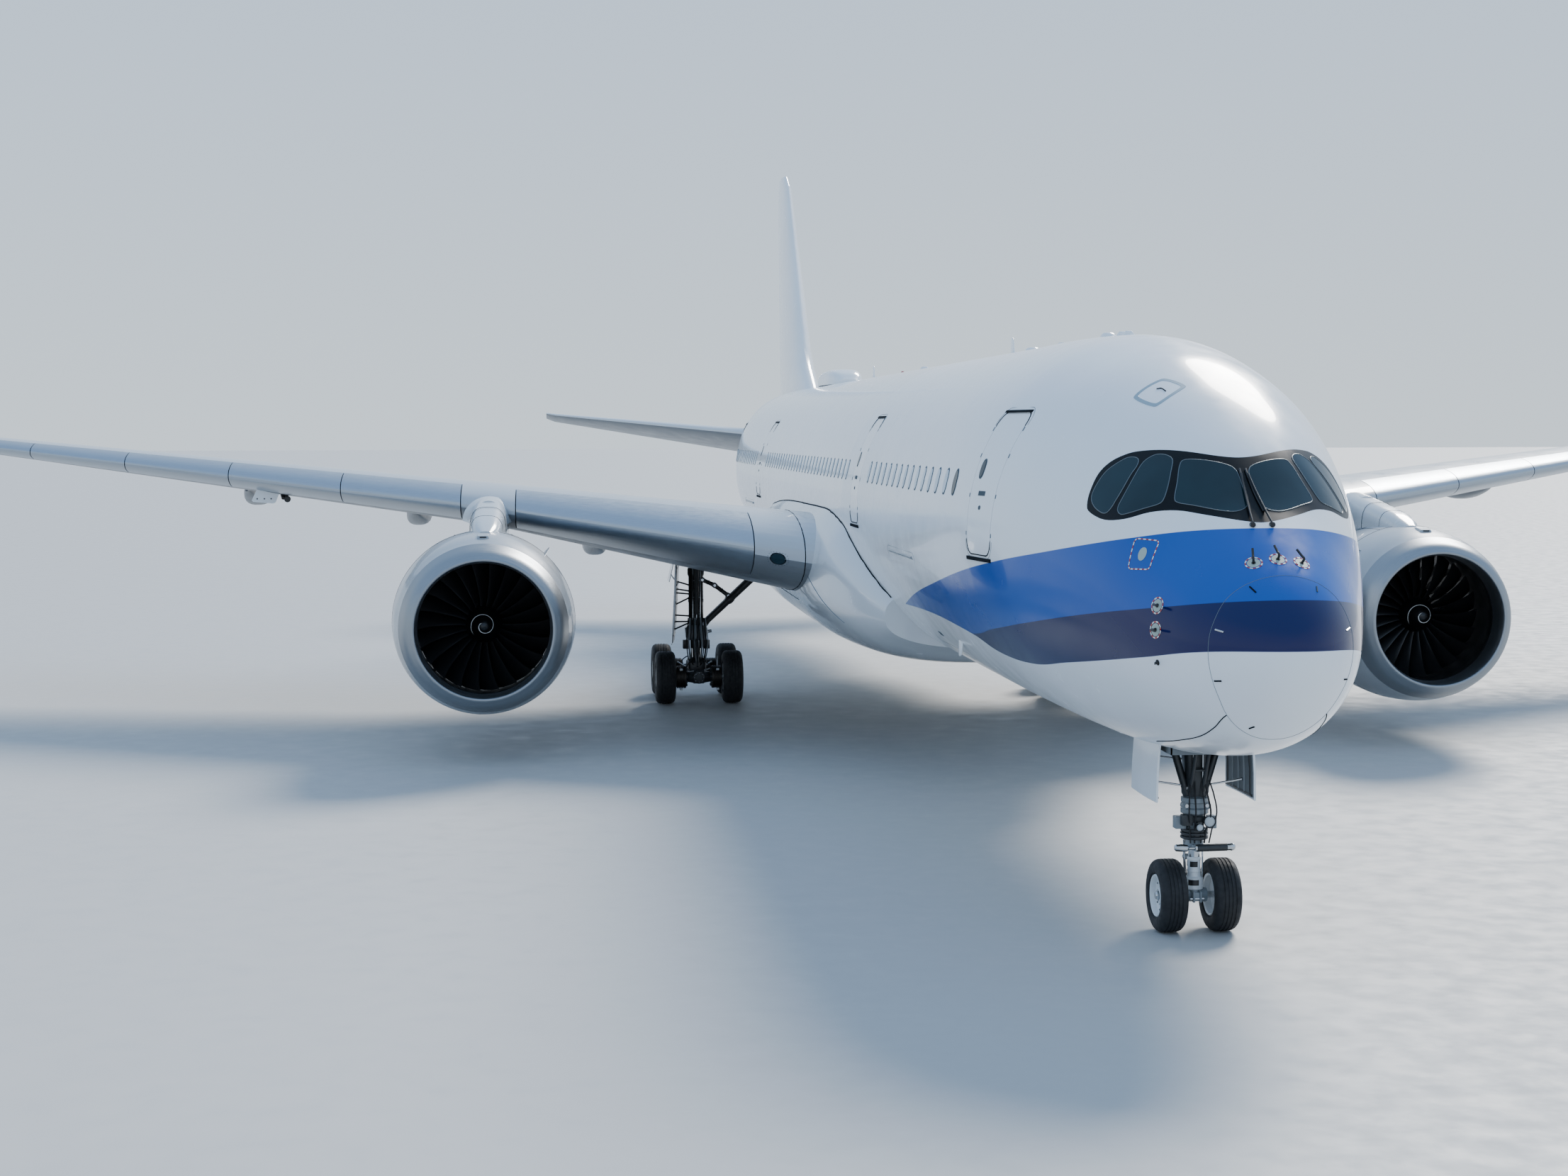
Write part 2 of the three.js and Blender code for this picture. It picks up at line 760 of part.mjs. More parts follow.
// The band's outline grown a little about its middle.
const grownBand = fullBand.map(([x, z]) => {
  const [acrossReach, upReach] = WINDOW_BAND_REACH;
  const gap = 2 * SEAM;
  const rise = (z - WINDOW_BAND_CENTRE) * (1 + gap / upReach);
  return [x * (1 + gap / acrossReach), WINDOW_BAND_CENTRE + rise];
});
const bandPocket = prism(grownBand, "y", bandFore - 0.02, bandAft + SEAM).subtract(
  skinSolid(1.15, 5, -WINDOW_DEPTH - SEAM),
);
cutSection("nose_section", bandPocket);
place("cockpit_windows", windowBand, finish(GLASS, 0.1));

DOOR_STATIONS.forEach((station, i) => {
  const fore = station - DOOR_WIDTH / 2;
  const aft = station + DOOR_WIDTH / 2;
  const [panel, pocket] = skinPanel(
    roundedRectangle(fore, aft, DOOR_SILL, DOOR_HEAD, DOOR_CORNER),
    roundedRectangle(fore - SEAM, aft + SEAM, DOOR_SILL - SEAM, DOOR_HEAD + SEAM, DOOR_CORNER + SEAM),
    DOOR_DEPTH,
    SEAM,
    fore - 0.5,
    aft + 0.5,
  );
  const section = sectionAt(station);
  cutSection(section, pocket);
  cutSection(section, mirrored(pocket));
  place(`door_${i + 1}_left`, mainBody(panel), finish(WHITE));
  place(`door_${i + 1}_right`, mirrored(mainBody(panel)), finish(WHITE));
});

for (const [name, fore, aft] of CARGO_DOORS) {
  const hingeZ = CARGO_HEAD + CARGO_HINGE_RADIUS;
  const hingeX = skinX(fore, hingeZ);
  const corner = 0.12;
  const [panel, pocket] = skinPanel(
    roundedRectangle(fore, aft, CARGO_SILL, CARGO_HEAD, corner),
    roundedRectangle(
      fore - RUNNING,
      aft + RUNNING,
      CARGO_SILL - RUNNING,
      CARGO_HEAD + RUNNING,
      corner,
    ),
    CARGO_DEPTH,
    RUNNING,
    fore - 0.5,
    aft + 0.5,
  );
  const start = point(hingeX, fore + corner, hingeZ);
  const end = point(hingeX, aft - corner, hingeZ);
  // The lug lies inside the hinge line, so that the open door clears the skin above it.
  const lug = box(
    [hingeX - 0.75 * CARGO_HINGE_RADIUS, fore + corner, CARGO_HEAD - 2 * CARGO_HINGE_RADIUS],
    [hingeX - 0.15 * CARGO_HINGE_RADIUS, aft - corner, hingeZ],
  );
  const leaf = joined([mainBody(panel), lug, rod(start, end, CARGO_HINGE_RADIUS)]);
  const groove = bore(
    point(hingeX, fore + corner - RUNNING, hingeZ),
    point(hingeX, aft - corner + RUNNING, hingeZ),
    CARGO_HINGE_RADIUS,
  );
  const section = sectionAt(fore);
  cutSection(section, mirrored(pocket.add(groove)));
  place(name, mirrored(leaf), finish(WHITE));
}

const noseBay = box(
  [-NOSE_BAY_HALF_WIDTH, NOSE_BAY[0], 2],
  [NOSE_BAY_HALF_WIDTH, NOSE_BAY[1], NOSE_BAY_ROOF],
);
cutSection("nose_section", noseBay);

// A short round pad whose flat foot is a jacking point.
function jackPad([x, station], skinZ) {
  const foot = point(x, station, skinZ - JACK_DROP);
  return rod(foot, point(x, station, skinZ + 2 * JACK_DROP), JACK_RADIUS);
}

function joinSection(name, solid) {
  sectionSolids.set(name, sectionSolids.get(name).add(solid));
}

joinSection("nose_section", jackPad(NOSE_JACK, keelAt(NOSE_JACK[1])));

const aerialRings = AERIAL_FAIRING.map(([station, halfWidth, top]) => {
  const foot = crownAt(station) - 0.02;
  const arch = arc(1, 0, 180, 4).map(([u, v]) => {
    const across = Math.sign(u) * Math.abs(u) ** AERIAL_FLATNESS;
    return point(halfWidth * across, station, foot + (top - foot) * Math.max(v, 0) ** AERIAL_FLATNESS);
  });
  return [...arch, point(-halfWidth, station, AERIAL_FOOT), point(halfWidth, station, AERIAL_FOOT)];
});
joinSection("aft_fuselage", loft(aerialRings));

// Belly fairing, which wraps the lower fuselage and the wing roots.

function fairingRing([station, halfWidth, keel, top], grow) {
  const middle = (keel + top) / 2;
  const ring = [];
  for (let i = 0; i < RING_SIDES; i += 1) {
    const angle = (FULL_TURN * i) / RING_SIDES;
    const across = Math.sin(angle);
    const upward = Math.cos(angle);
    const size = (Math.abs(across) ** FAIRING_POWER + Math.abs(upward) ** FAIRING_POWER) ** (-1 / FAIRING_POWER);
    ring.push(
      point(
        (halfWidth + grow) * size * across,
        station,
        middle + ((top - keel) / 2 + grow) * size * upward,
      ),
    );
  }
  return ring;
}

const fairingSolid = (grow) => loft(BELLY_FAIRING.map((row) => fairingRing(row, grow)));
const fuselageCutter = skinSolid(13, 44, SEAM);
place("belly_fairing", mainBody(fairingSolid(0).subtract(fuselageCutter)), finish(FAIRING_GREY));

// Wings, built to port and mirrored to starboard.

const wholeWing = loft(WING.map(wingRing));
const fixedParts = [];
const wingCuts = [fairingSolid(SEAM)];

function placeBoth(name, solid, material) {
  place(`${name}_left`, solid, material);
  place(`${name}_right`, mirrored(solid), material);
}

const wingSkins = (x, fraction) => skinsAt(WING, wingRing, x, fraction);

// Chord fraction of a station at a span position.
function fractionAt(x, station) {
  const nose = wingSkins(x, 0)[0].y;
  const tail = wingSkins(x, 1)[0].y;
  return (station - nose) / (tail - nose);
}

const flapHinges = FLAPS.map(([, x0, station0, x1, station1, drop]) => {
  const ends = [
    [x0, station0],
    [x1, station1],
  ].map(([x, station]) => {
    const lower = wingSkins(x, fractionAt(x, station))[1];
    return point(x, station, lower.z - drop);
  });
  return new Hinge(...ends);
});

function heightAbove(hinge, distance, side) {
  const at = hinge.from.clone().addScaledVector(hinge.axis, distance);
  return wingSkins(at.x, fractionAt(at.x, at.y))[side].z - at.z;
}

const trackReach = 5;
FLAPS.forEach(([name], index) => {
  const hinge = flapHinges[index];
  const reach = 4;
  const height = 1.6;
  const noseRadius = (distance) => {
    const share = distance / hinge.length;
    const ends = [0, hinge.length].map((d) => heightAbove(hinge, d, 0) - SHROUD_THICKNESS);
    return ends[0] + (ends[1] - ends[0]) * share;
  };
  const moving = (distance) => {
    const r = noseRadius(distance);
    return [[reach, height], [0, height], ...arc(r, 90, 180), [-r, -0.1], [reach, -0.1]];
  };
  const cove = (distance) => {
    const r = outsideRadius(noseRadius(distance) + RUNNING, 90);
    const start = 90 + THREE.MathUtils.radToDeg(Math.asin(RUNNING / r));
    return [[reach, height], [-RUNNING, height], ...arc(r, start, 180), [-r, -0.1], [reach, -0.1]];
  };
  const cut = hinge.space(cove, -RUNNING, hinge.length + RUNNING);
  const flap = [mainBody(wholeWing.intersect(hinge.space(moving, 0, hinge.length)))];
  wingCuts.push(cut);
  for (const [owner, x] of TRACK_FAIRINGS) {
    if (owner !== index) continue;
    const [fixedTrack, movingTrack] = trackFairing(hinge, x, cut);
    fixedParts.push(fixedTrack);
    flap.push(movingTrack);
  }
  placeBoth(name, mainBody(joined(flap)), finish(WING_GREY));
});

// A canoe-shaped fairing under a flap hinge, split round the hinge into its fixed and moving part.
function trackFairing(hinge, x, flapCut) {
  const share = (x - hinge.from.x) / (hinge.to.x - hinge.from.x);
  const centre = hinge.from.clone().lerp(hinge.to, share);
  const distance = share * hinge.length;
  const rings = [];
  const steps = 5;
  for (let i = 0; i <= steps; i += 1) {
    const t = i / steps;
    const offset = -TRACK_FORE + (TRACK_FORE + TRACK_AFT) * t;
    const station = centre.y + offset;
    const fraction = Math.min(fractionAt(x, station), 0.995);
    const skin = wingSkins(x, fraction)[1].z;
    const swell = Math.max(Math.sin(Math.PI * t ** 1.25), 0.05) ** 0.6;
    const depth = TRACK_DEPTH * swell;
    const halfWidth = TRACK_HALF_WIDTH * swell;
    const sunk = 0.05;
    rings.push(trackRing(x, station, skin - depth / 2 + sunk / 2, halfWidth, (depth + sunk) / 2));
  }
  const whole = loft(rings);
  const side = 0.6;
  const height = 1.5;
  const r = TRACK_BEARING_RADIUS;
  const moving = () => [
    [trackReach, height],
    [0, height],
    ...arc(r, 90, 270),
    [0, -height],
    [trackReach, -height],
  ];
  const fixedCut = () => [
    [trackReach, height],
    [-RUNNING, height],
    ...arc(outsideRadius(r + BEARING, 180 - FLAP_TRAVEL), 93, 270 - FLAP_TRAVEL - 3),
    [-height * Math.tan(radians(FLAP_TRAVEL + 4)), -height],
    [trackReach, -height],
  ];
  const lowered = wholeWing.translate([0, 0, -0.02]);
  const fixedTrack = whole
    .subtract(hinge.space(fixedCut, distance - side, distance + side))
    .subtract(lowered.intersect(flapCut));
  const movingTrack = whole.intersect(hinge.space(moving, distance - side, distance + side));
  return [mainBody(fixedTrack), mainBody(movingTrack)];
}

function trackRing(x, station, z, halfWidth, halfHeight) {
  const sides = 8;
  const power = 3;
  const ring = [];
  for (let i = 0; i < sides; i += 1) {
    const angle = (FULL_TURN * (i + 0.5)) / sides;
    const across = Math.sin(angle);
    const upward = Math.cos(angle);
    const size = (Math.abs(across) ** power + Math.abs(upward) ** power) ** (-1 / power);
    ring.push(point(x + halfWidth * size * across, station, z + halfHeight * size * upward));
  }
  return ring;
}

const aileronEnds = AILERON_SPAN.map((x) => wingSkins(x, AILERON_FRACTION));
const aileronHinge = new Hinge(
  ...aileronEnds.map(([upper, lower]) => upper.clone().lerp(lower, 0.5)),
);
const aileronRadii = aileronEnds.map(([upper, lower]) => upper.distanceTo(lower) * 0.49);
const [aileron, aileronCut] = hingedSurface(
  wholeWing,
  aileronHinge,
  (d) => aileronRadii[0] + ((aileronRadii[1] - aileronRadii[0]) * d) / aileronHinge.length,
  AILERON_TRAVEL,
  AILERON_TRAVEL,
  2,
);
wingCuts.push(aileronCut);
placeBoth("aileron", aileron, finish(WING_GREY));

const wingJackFraction = fractionAt(...WING_JACK);
fixedParts.push(jackPad(WING_JACK, wingSkins(WING_JACK[0], wingJackFraction)[1].z));

// Slats and droop nose: the wing's nose ahead of a slanted plane.
function noseRegion(x0, x1, gap) {
  const margin = 0.5;
  const rings = [x0, x1].map((x) => {
    const upper = wingSkins(x, SLAT_UPPER_FRACTION)[0];
    const lower = wingSkins(x, SLAT_LOWER_FRACTION)[1];
    const along = upper.clone().sub(lower).normalize();
    const top = upper.clone().addScaledVector(along, margin);
    const bottom = lower.clone().addScaledVector(along, -margin);
    const ahead = 3;
    const shift = point(0, gap, 0);
    return [top, bottom, point(x, bottom.y - ahead, bottom.z), point(x, top.y - ahead, top.z)].map(
      (p) => p.clone().add(shift),
    );
  });
  return loft(rings);
}

for (const [name, x0, x1] of LEADING_EDGE) {
  const slat = mainBody(wholeWing.intersect(noseRegion(x0, x1, 0)).subtract(fairingSolid(SEAM)));
  wingCuts.push(noseRegion(x0 - SEAM, x1 + SEAM, SEAM));
  placeBoth(name, slat, finish(BARE_METAL, 0.3, 1));
}

const cutWing = wingCuts.reduce((solid, cutter) => solid.subtract(cutter), wholeWing);
const wing = mainBody(joined([mainBody(cutWing), ...fixedParts]));
placeBoth("wing", wing, finish(WING_GREY));

// Engines, each a group on its own axis.

function engineFrame(side) {
  const group = new THREE.Group();
  group.position.set(side * ENGINE_X, INTAKE_STATION, ENGINE_Z);
  group.rotation.z = radians(-side * TOE_IN);
  return group;
}

function fanSolid() {
  const parts = [turned(SPINNER_PROFILE, BLADE_COUNT / 2)];
  for (let i = 0; i < BLADE_COUNT; i += 1) {
    const rings = BLADE_SECTIONS.map(([radius, chord, twist, thickness, lean]) => {
      const angle = radians(twist);
      const corners = [
        [-chord / 2, 0],
        [0, thickness / 2],
        [chord / 2, 0],
        [0, -thickness / 2],
      ];
      return corners.map(([u, v], k) => {
        const bow = k === 1 || k === 3 ? 0.035 : 0;
        const axial = u * Math.cos(angle) - (v + bow) * Math.sin(angle);
        const around = u * Math.sin(angle) + (v + bow) * Math.cos(angle) + lean;
        const turn = around / radius + (FULL_TURN * i) / BLADE_COUNT;
        return point(radius * Math.sin(turn), BLADE_MIDDLE + axial, radius * Math.cos(turn));
      });
    });
    parts.push(loft(rings));
  }
  const rear = point(0, 2.1, 0);
  parts.push(rod(rear, point(0, SHAFT_END, 0), SHAFT_RADIUS));
  return mainBody(joined(parts));
}

function coreSolid() {
  const duct = turned(
    [
      [0, 2.6],
      [1.62 - SEAM, 2.6],
      [1.66 - SEAM, 4],
      [0, 4],
    ],
    ENGINE_SIDES,
  );
  const struts = [];
  for (let i = 0; i < STRUT_COUNT; i += 1) {
    const angle = (FULL_TURN * (i + 0.5)) / STRUT_COUNT;
    const blade = box([-0.03, 2.75, 0.5], [0.03, 3.75, 1.8]);
    struts.push(toSolid(toGeometry(blade).rotateY(angle)).intersect(duct));
  }
  const socket = bore(point(0, 2, 0), point(0, SHAFT_END + 0.03, 0), SHAFT_RADIUS);
  return mainBody(joined([turned(CORE_PROFILE, ENGINE_SIDES), ...struts]).subtract(socket));
}

// The engine's outer form, a little larger, to shape the pylon to it.
function engineCutter(side) {
  const outer = [...LIP_PROFILE.slice(3), ...COWL_PROFILE.slice(1, 6)];
  const cowl = [[0, 0], ...outer.map(([r, y]) => [r + SEAM, y]), [0, 5.8 + SEAM]];
  const core = CORE_PROFILE.map(([r, y]) => [r > 0 ? r + SEAM : 0, y > 6 ? y + SEAM : y]);
  const form = turned(cowl, ENGINE_SIDES).add(turned(core, ENGINE_SIDES));
  const group = engineFrame(side);
  group.updateMatrix();
  return toSolid(toGeometry(form).applyMatrix4(group.matrix));
}

const lipRear = LIP_PROFILE[0][1];
const lip = turnedRing(
  LIP_PROFILE.map(([r, y]) => [r, y === lipRear ? y - SEAM : y]),
  ENGINE_SIDES,
);
const cowl = turnedRing(COWL_PROFILE, ENGINE_SIDES);
const fan = fanSolid();
const core = coreSolid();
for (const [side, suffix] of [
  [1, "left"],
  [-1, "right"],
]) {
  const group = engineFrame(side);
  aircraft.add(group);
  place(`intake_lip_${suffix}`, lip, finish(BARE_METAL, 0.35, 1), group);
  place(`nacelle_${suffix}`, cowl, finish(COWL_GREY), group);
  place(`fan_${suffix}`, fan, finish(FAN_BLACK, 0.3, 0.5), group);
  place(`engine_core_${suffix}`, core, finish(DARK_METAL, 0.4, 1), group);
}

function pylonRing([station, halfWidth, foot, top]) {
  const cut = PYLON_CHAMFER * halfWidth;
  const half = [
    [0, top],
    [halfWidth - cut, top - cut / 2],
    [halfWidth, top - cut * 1.5],
    [halfWidth, foot + cut],
    [halfWidth - cut, foot],
  ];
  const other = half.slice(1).reverse().map(([x, z]) => [-x, z]);
  return [...half, ...other].map(([x, z]) => point(ENGINE_X + x, station, z));
}

const pylonBlock = loft(PYLON.map(pylonRing));
const wingSkinCutter = joined([
  wholeWing.translate([0, 0, SEAM]),
  wholeWing.translate([0, 0, -SEAM]),
  wholeWing.translate([0, -SEAM, 0]),
]);
placeBoth(
  "pylon",
  mainBody(pylonBlock.subtract(wingSkinCutter).subtract(engineCutter(1))),
  finish(WING_GREY),
);

// Fin and rudder.

const wholeFin = loft(FIN.map(finRing));
const rudderHinge = new Hinge(...RUDDER_HINGE.map(([station, z]) => point(0, station, z)));
const rudderRadii = RUDDER_HINGE.map(([station, z]) => {
  const nose = skinsAt(FIN, finRing, z, 0)[0].y;
  const tail = skinsAt(FIN, finRing, z, 1)[0].y;
  const fraction = (station - nose) / (tail - nose);
  return Math.abs(skinsAt(FIN, finRing, z, fraction)[0].x) * 0.98;
});
const [rudder, rudderCut] = hingedSurface(
  wholeFin,
  rudderHinge,
  (d) => rudderRadii[0] + ((rudderRadii[1] - rudderRadii[0]) * d) / rudderHinge.length,
  RUDDER_TRAVEL,
  RUDDER_TRAVEL,
  4,
);
const tailCutter = skinSolid(48.5, 65.26, SEAM);
place("fin", mainBody(wholeFin.subtract(tailCutter).subtract(rudderCut)), finish(WHITE));
place("rudder", rudder, finish(WHITE));

// Tailplanes and elevators.

const wholeTailplane = loft(TAILPLANE.map(tailplaneRing));
const elevatorEnds = ELEVATOR_SPAN.map((x) =>
  skinsAt(TAILPLANE, tailplaneRing, x, ELEVATOR_FRACTION),
);
const elevatorHinge = new Hinge(
  ...elevatorEnds.map(([upper, lower]) => upper.clone().lerp(lower, 0.5)),
);
const elevatorRadii = elevatorEnds.map(([upper, lower]) => upper.distanceTo(lower) * 0.49);
const [elevator, elevatorCut] = hingedSurface(
  wholeTailplane,
  elevatorHinge,
  (d) => elevatorRadii[0] + ((elevatorRadii[1] - elevatorRadii[0]) * d) / elevatorHinge.length,
  ELEVATOR_UP,
  ELEVATOR_DOWN,
  3,
);
placeBoth(
  "tailplane",
  mainBody(wholeTailplane.subtract(tailCutter).subtract(elevatorCut)),
  finish(WHITE),
);
placeBoth("elevator", elevator, finish(WHITE));

// Sections of the fuselage are placed once all their pockets are cut.

for (const [name] of FUSELAGE_SECTIONS) {
  place(name, mainBody(sectionSolids.get(name)), finish(WHITE));
}

// Wheels: a tyre with its hub, and a pair of them on one axle.

function wheel(radius, width) {
  const half = width / 2;
  const sides = 16;
  const corner = radius / Math.cos(Math.PI / sides);
  const profile = [
    [0, -half * 0.6],
    [radius * 0.53, -half * 0.6],
    [radius * 0.58, -half],
    [radius * 0.88, -half],
    [corner, -half * 0.5],
    [corner, half * 0.5],
    [radius * 0.88, half],
    [radius * 0.58, half],
    [radius * 0.53, half * 0.6],
    [0, half * 0.6],
  ];
  const points = profile.map(([r, y]) => new THREE.Vector2(r, y));
  return new THREE.LatheGeometry(points, sides).rotateY(Math.PI / sides).rotateZ(Math.PI / 2);
}

function wheelPair(radius, width, apart, axleRadius) {
  const wheels = [-apart, apart].map((x) => toSolid(wheel(radius, width).translate(x, 0, 0)));
  const axle = rod(point(-apart, 0, 0), point(apart, 0, 0), axleRadius);
  return joined([...wheels, axle]);
}

// Nose gear: the fixed leg, the steered part and the wheel pair.

const noseLeg = new THREE.Group();
noseLeg.position.set(0, NOSE_GEAR_STATION, 0);
aircraft.add(noseLeg);
const NOSE_BARREL_RADIUS = 0.14;
const NOSE_PISTON_RADIUS = 0.09;
const NOSE_BARREL_FOOT = 1.2;
const NOSE_AXLE_RADIUS = 0.05;
const legRoof = NOSE_BAY_ROOF - SEAM;
const noseBarrel = joined([
  rod(point(0, 0, NOSE_BARREL_FOOT), point(0, 0, 3.1), NOSE_BARREL_RADIUS),
  rod(point(-0.5, 0, 3.05), point(0.5, 0, 3.05), 0.1),
  rod(point(0.42, 0, 3.05), point(0, 0, 1.9), 0.06),
  rod(point(-0.42, 0, 3.05), point(0, 0, 1.9), 0.06),
  rod(point(0, 0, 1.7), point(0, 0, 1.95), 0.2),
  box([-0.5, -0.1, 3.0], [-0.38, 0.1, legRoof]),
  box([0.38, -0.1, 3.0], [0.5, 0.1, legRoof]),
  rod(point(0, 0, 2.0), point(0, -0.66, 3.2), 0.055),
  box([-0.12, -0.72, 3.1], [0.12, -0.58, legRoof]),
]).subtract(bore(point(0, 0, 1), point(0, 0, 1.5), NOSE_PISTON_RADIUS));
place("nose_gear_leg", noseBarrel, finish(GEAR_GREY), noseLeg);

const collarInner = NOSE_BARREL_RADIUS + RUNNING;
const collar = rod(point(0, 0, 1.34), point(0, 0, 1.5), 0.2).subtract(
  rod(point(0, 0, 1.2), point(0, 0, 1.6), outsideRadius(collarInner, 360, 10)),
);
const steered = joined([
  rod(point(0, 0, NOSE_TYRE_RADIUS), point(0, 0, 1.45), NOSE_PISTON_RADIUS),
  rod(point(-0.17, 0, NOSE_TYRE_RADIUS), point(0.17, 0, NOSE_TYRE_RADIUS), 0.1),
  rod(point(0, 0, 0.62), point(0, 0, 0.78), 0.13),
  box([-0.06, 0.08, 0.66], [0.06, 0.34, 0.74]),
  rod(point(0, 0.32, 0.7), point(0, 0.36, 1.02), 0.045),
  rod(point(0, 0.36, 1.0), point(0, 0.2, 1.42), 0.04),
  box([-0.07, -0.2, 0.46], [0.07, -0.07, 0.6]),
  collar,
]).subtract(
  bore(point(-0.3, 0, NOSE_TYRE_RADIUS), point(0.3, 0, NOSE_TYRE_RADIUS), NOSE_AXLE_RADIUS),
);
place("nose_gear_steering", steered, finish(GEAR_GREY), noseLeg);

const nosePair = place(
  "nose_wheels",
  wheelPair(NOSE_TYRE_RADIUS, NOSE_TYRE_WIDTH, NOSE_TYRE_X, NOSE_AXLE_RADIUS),
  finish(TYRE_BLACK, 0.9),
  noseLeg,
);
nosePair.position.z = NOSE_TYRE_RADIUS;

// Nose gear doors hang from the belly at both sides of the leg.
const noseDoor = prism(
  [
    [0.6, 3],
    [0.64, 3],
    [0.76, 1.95],
    [0.72, 1.95],
  ],
  "y",
  3.75,
  5.1,
).subtract(skinSolid(3.1, 6.2, SEAM));
placeBoth("nose_gear_door", mainBody(noseDoor), finish(WHITE));

// Main gear: leg with side brace and door, bogie beam, and two wheel pairs on each side.

const MAIN_AXLE_RADIUS = 0.07;
const BOGIE_Z = MAIN_TYRE_RADIUS;
const mainLeg = joined([
  rod(point(0, 0, 1.65), point(0, 0, MAIN_LEG_TOP), 0.22),
  rod(point(0, 0, BOGIE_Z + 0.3), point(0, 0, 1.7), 0.16),
  box([-0.17, -0.17, BOGIE_Z + 0.13 + SEAM], [0.17, 0.17, BOGIE_Z + 0.42]),
  rod(point(0, -0.6, 3.95), point(0, 0.5, 3.95), 0.13),
  rod(point(0, 0, 1.95), point(-1.62, -0.1, 3.35), 0.085),
  rod(point(0, -0.5, 3.95), point(0, 0, 2.2), 0.07),
  rod(point(-0.75, -0.05, 2.62), point(-0.2, 0, 3.4), 0.05),
  box([0.52, -0.55, 1.5], [0.57, 0.45, 3.85]),
  rod(point(0, 0, 2.0), point(0.55, 0, 2.0), 0.04),
  rod(point(0, 0, 3.3), point(0.55, 0, 3.3), 0.04),
])
  .translate([MAIN_GEAR_X, MAIN_GEAR_STATION, 0])
  .subtract(wingSkinCutter)
  .subtract(fairingSolid(SEAM));
placeBoth("main_gear_leg", mainBody(mainLeg), finish(GEAR_GREY));

const stubs = [-BOGIE_HALF_BASE, BOGIE_HALF_BASE];
const bogie = joined([
  box([-0.13, -BOGIE_HALF_BASE, BOGIE_Z - 0.13], [0.13, BOGIE_HALF_BASE, BOGIE_Z + 0.13]),
  ...stubs.map((y) => rod(point(-0.6, y, BOGIE_Z), point(0.6, y, BOGIE_Z), 0.13)),
  ...stubs.flatMap((y) =>
    [-1, 1].map((side) =>
      rod(point(side * 0.34, y, BOGIE_Z), point(side * 0.59, y, BOGIE_Z), 0.3),
    ),
  ),
]).subtract(
  joined(
    stubs.map((y) => bore(point(-0.7, y, BOGIE_Z), point(0.7, y, BOGIE_Z), MAIN_AXLE_RADIUS)),
  ),
);
placeBoth(
  "bogie_beam",
  bogie.translate([MAIN_GEAR_X, MAIN_GEAR_STATION, 0]),
  finish(GEAR_GREY),
);

const mainPair = wheelPair(MAIN_TYRE_RADIUS, MAIN_TYRE_WIDTH, MAIN_TYRE_X, MAIN_AXLE_RADIUS);
for (const [side, suffix] of [
  [1, "left"],
  [-1, "right"],
]) {
  for (const [y, end] of [
    [-BOGIE_HALF_BASE, "front"],
    [BOGIE_HALF_BASE, "rear"],
  ]) {
    const pair = place(`main_wheels_${suffix}_${end}`, mainPair, finish(TYRE_BLACK, 0.9));
    pair.position.set(side * MAIN_GEAR_X, MAIN_GEAR_STATION + y, MAIN_TYRE_RADIUS);
  }
}

export default aircraft;
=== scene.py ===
"""Looks of the half-scale wide body airliner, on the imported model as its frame.

Lengths are the real aircraft's metres: X to port, station aft of the nose tip, Z above the
ground. Each finished mesh is then brought to the frame's half size.
"""
import math

import bmesh
import bpy
from mathutils import Matrix, Quaternion, Vector
from mathutils.bvhtree import BVHTree


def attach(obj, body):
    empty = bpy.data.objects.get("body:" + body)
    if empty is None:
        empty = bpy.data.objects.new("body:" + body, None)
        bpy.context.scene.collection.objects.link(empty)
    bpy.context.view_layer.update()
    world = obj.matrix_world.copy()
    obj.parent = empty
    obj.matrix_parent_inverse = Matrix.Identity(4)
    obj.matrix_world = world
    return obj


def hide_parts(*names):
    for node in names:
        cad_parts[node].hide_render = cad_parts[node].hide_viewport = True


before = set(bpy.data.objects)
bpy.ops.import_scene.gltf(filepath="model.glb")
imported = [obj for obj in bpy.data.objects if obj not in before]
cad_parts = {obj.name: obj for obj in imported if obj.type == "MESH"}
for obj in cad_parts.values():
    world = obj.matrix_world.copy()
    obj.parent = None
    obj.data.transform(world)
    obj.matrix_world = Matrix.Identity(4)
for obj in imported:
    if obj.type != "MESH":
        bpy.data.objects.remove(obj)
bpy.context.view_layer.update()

MODEL_SCALE = 0.5
LENGTH = 66.8
TO_ROW = Matrix.Scale(MODEL_SCALE, 4) @ Matrix.Translation((0, -LENGTH / 2, 0))
PORT, STARBOARD = 1, -1
SIDES = ((PORT, "left"), (STARBOARD, "right"))

# Camera, from the photograph: place, direction, and focal length over image width.
CAMERA_PLACE = (-9.088, -26.252, 7.15)
CAMERA_YAW = math.radians(5.95)
CAMERA_PITCH = math.radians(-4.02)
CAMERA_ROLL = -0.0019
CAMERA_LENS = 50.76
CAMERA_SENSOR = 36
FLOOR_SIZE = 900
SUN_STRENGTH = 5.4
SUN_ANGLE = math.radians(20)
SUN_COLOR = (1.0, 0.96, 0.9)
SUN_DIRECTION = (-0.45, -0.72, -0.62)
# Sky from the horizon up. Columns: place on the ramp, colour.
SKY = [(0.0, (0.76, 0.86, 0.95, 1)), (0.5, (0.42, 0.62, 0.93, 1))]
SKY_STRENGTH = 1.2

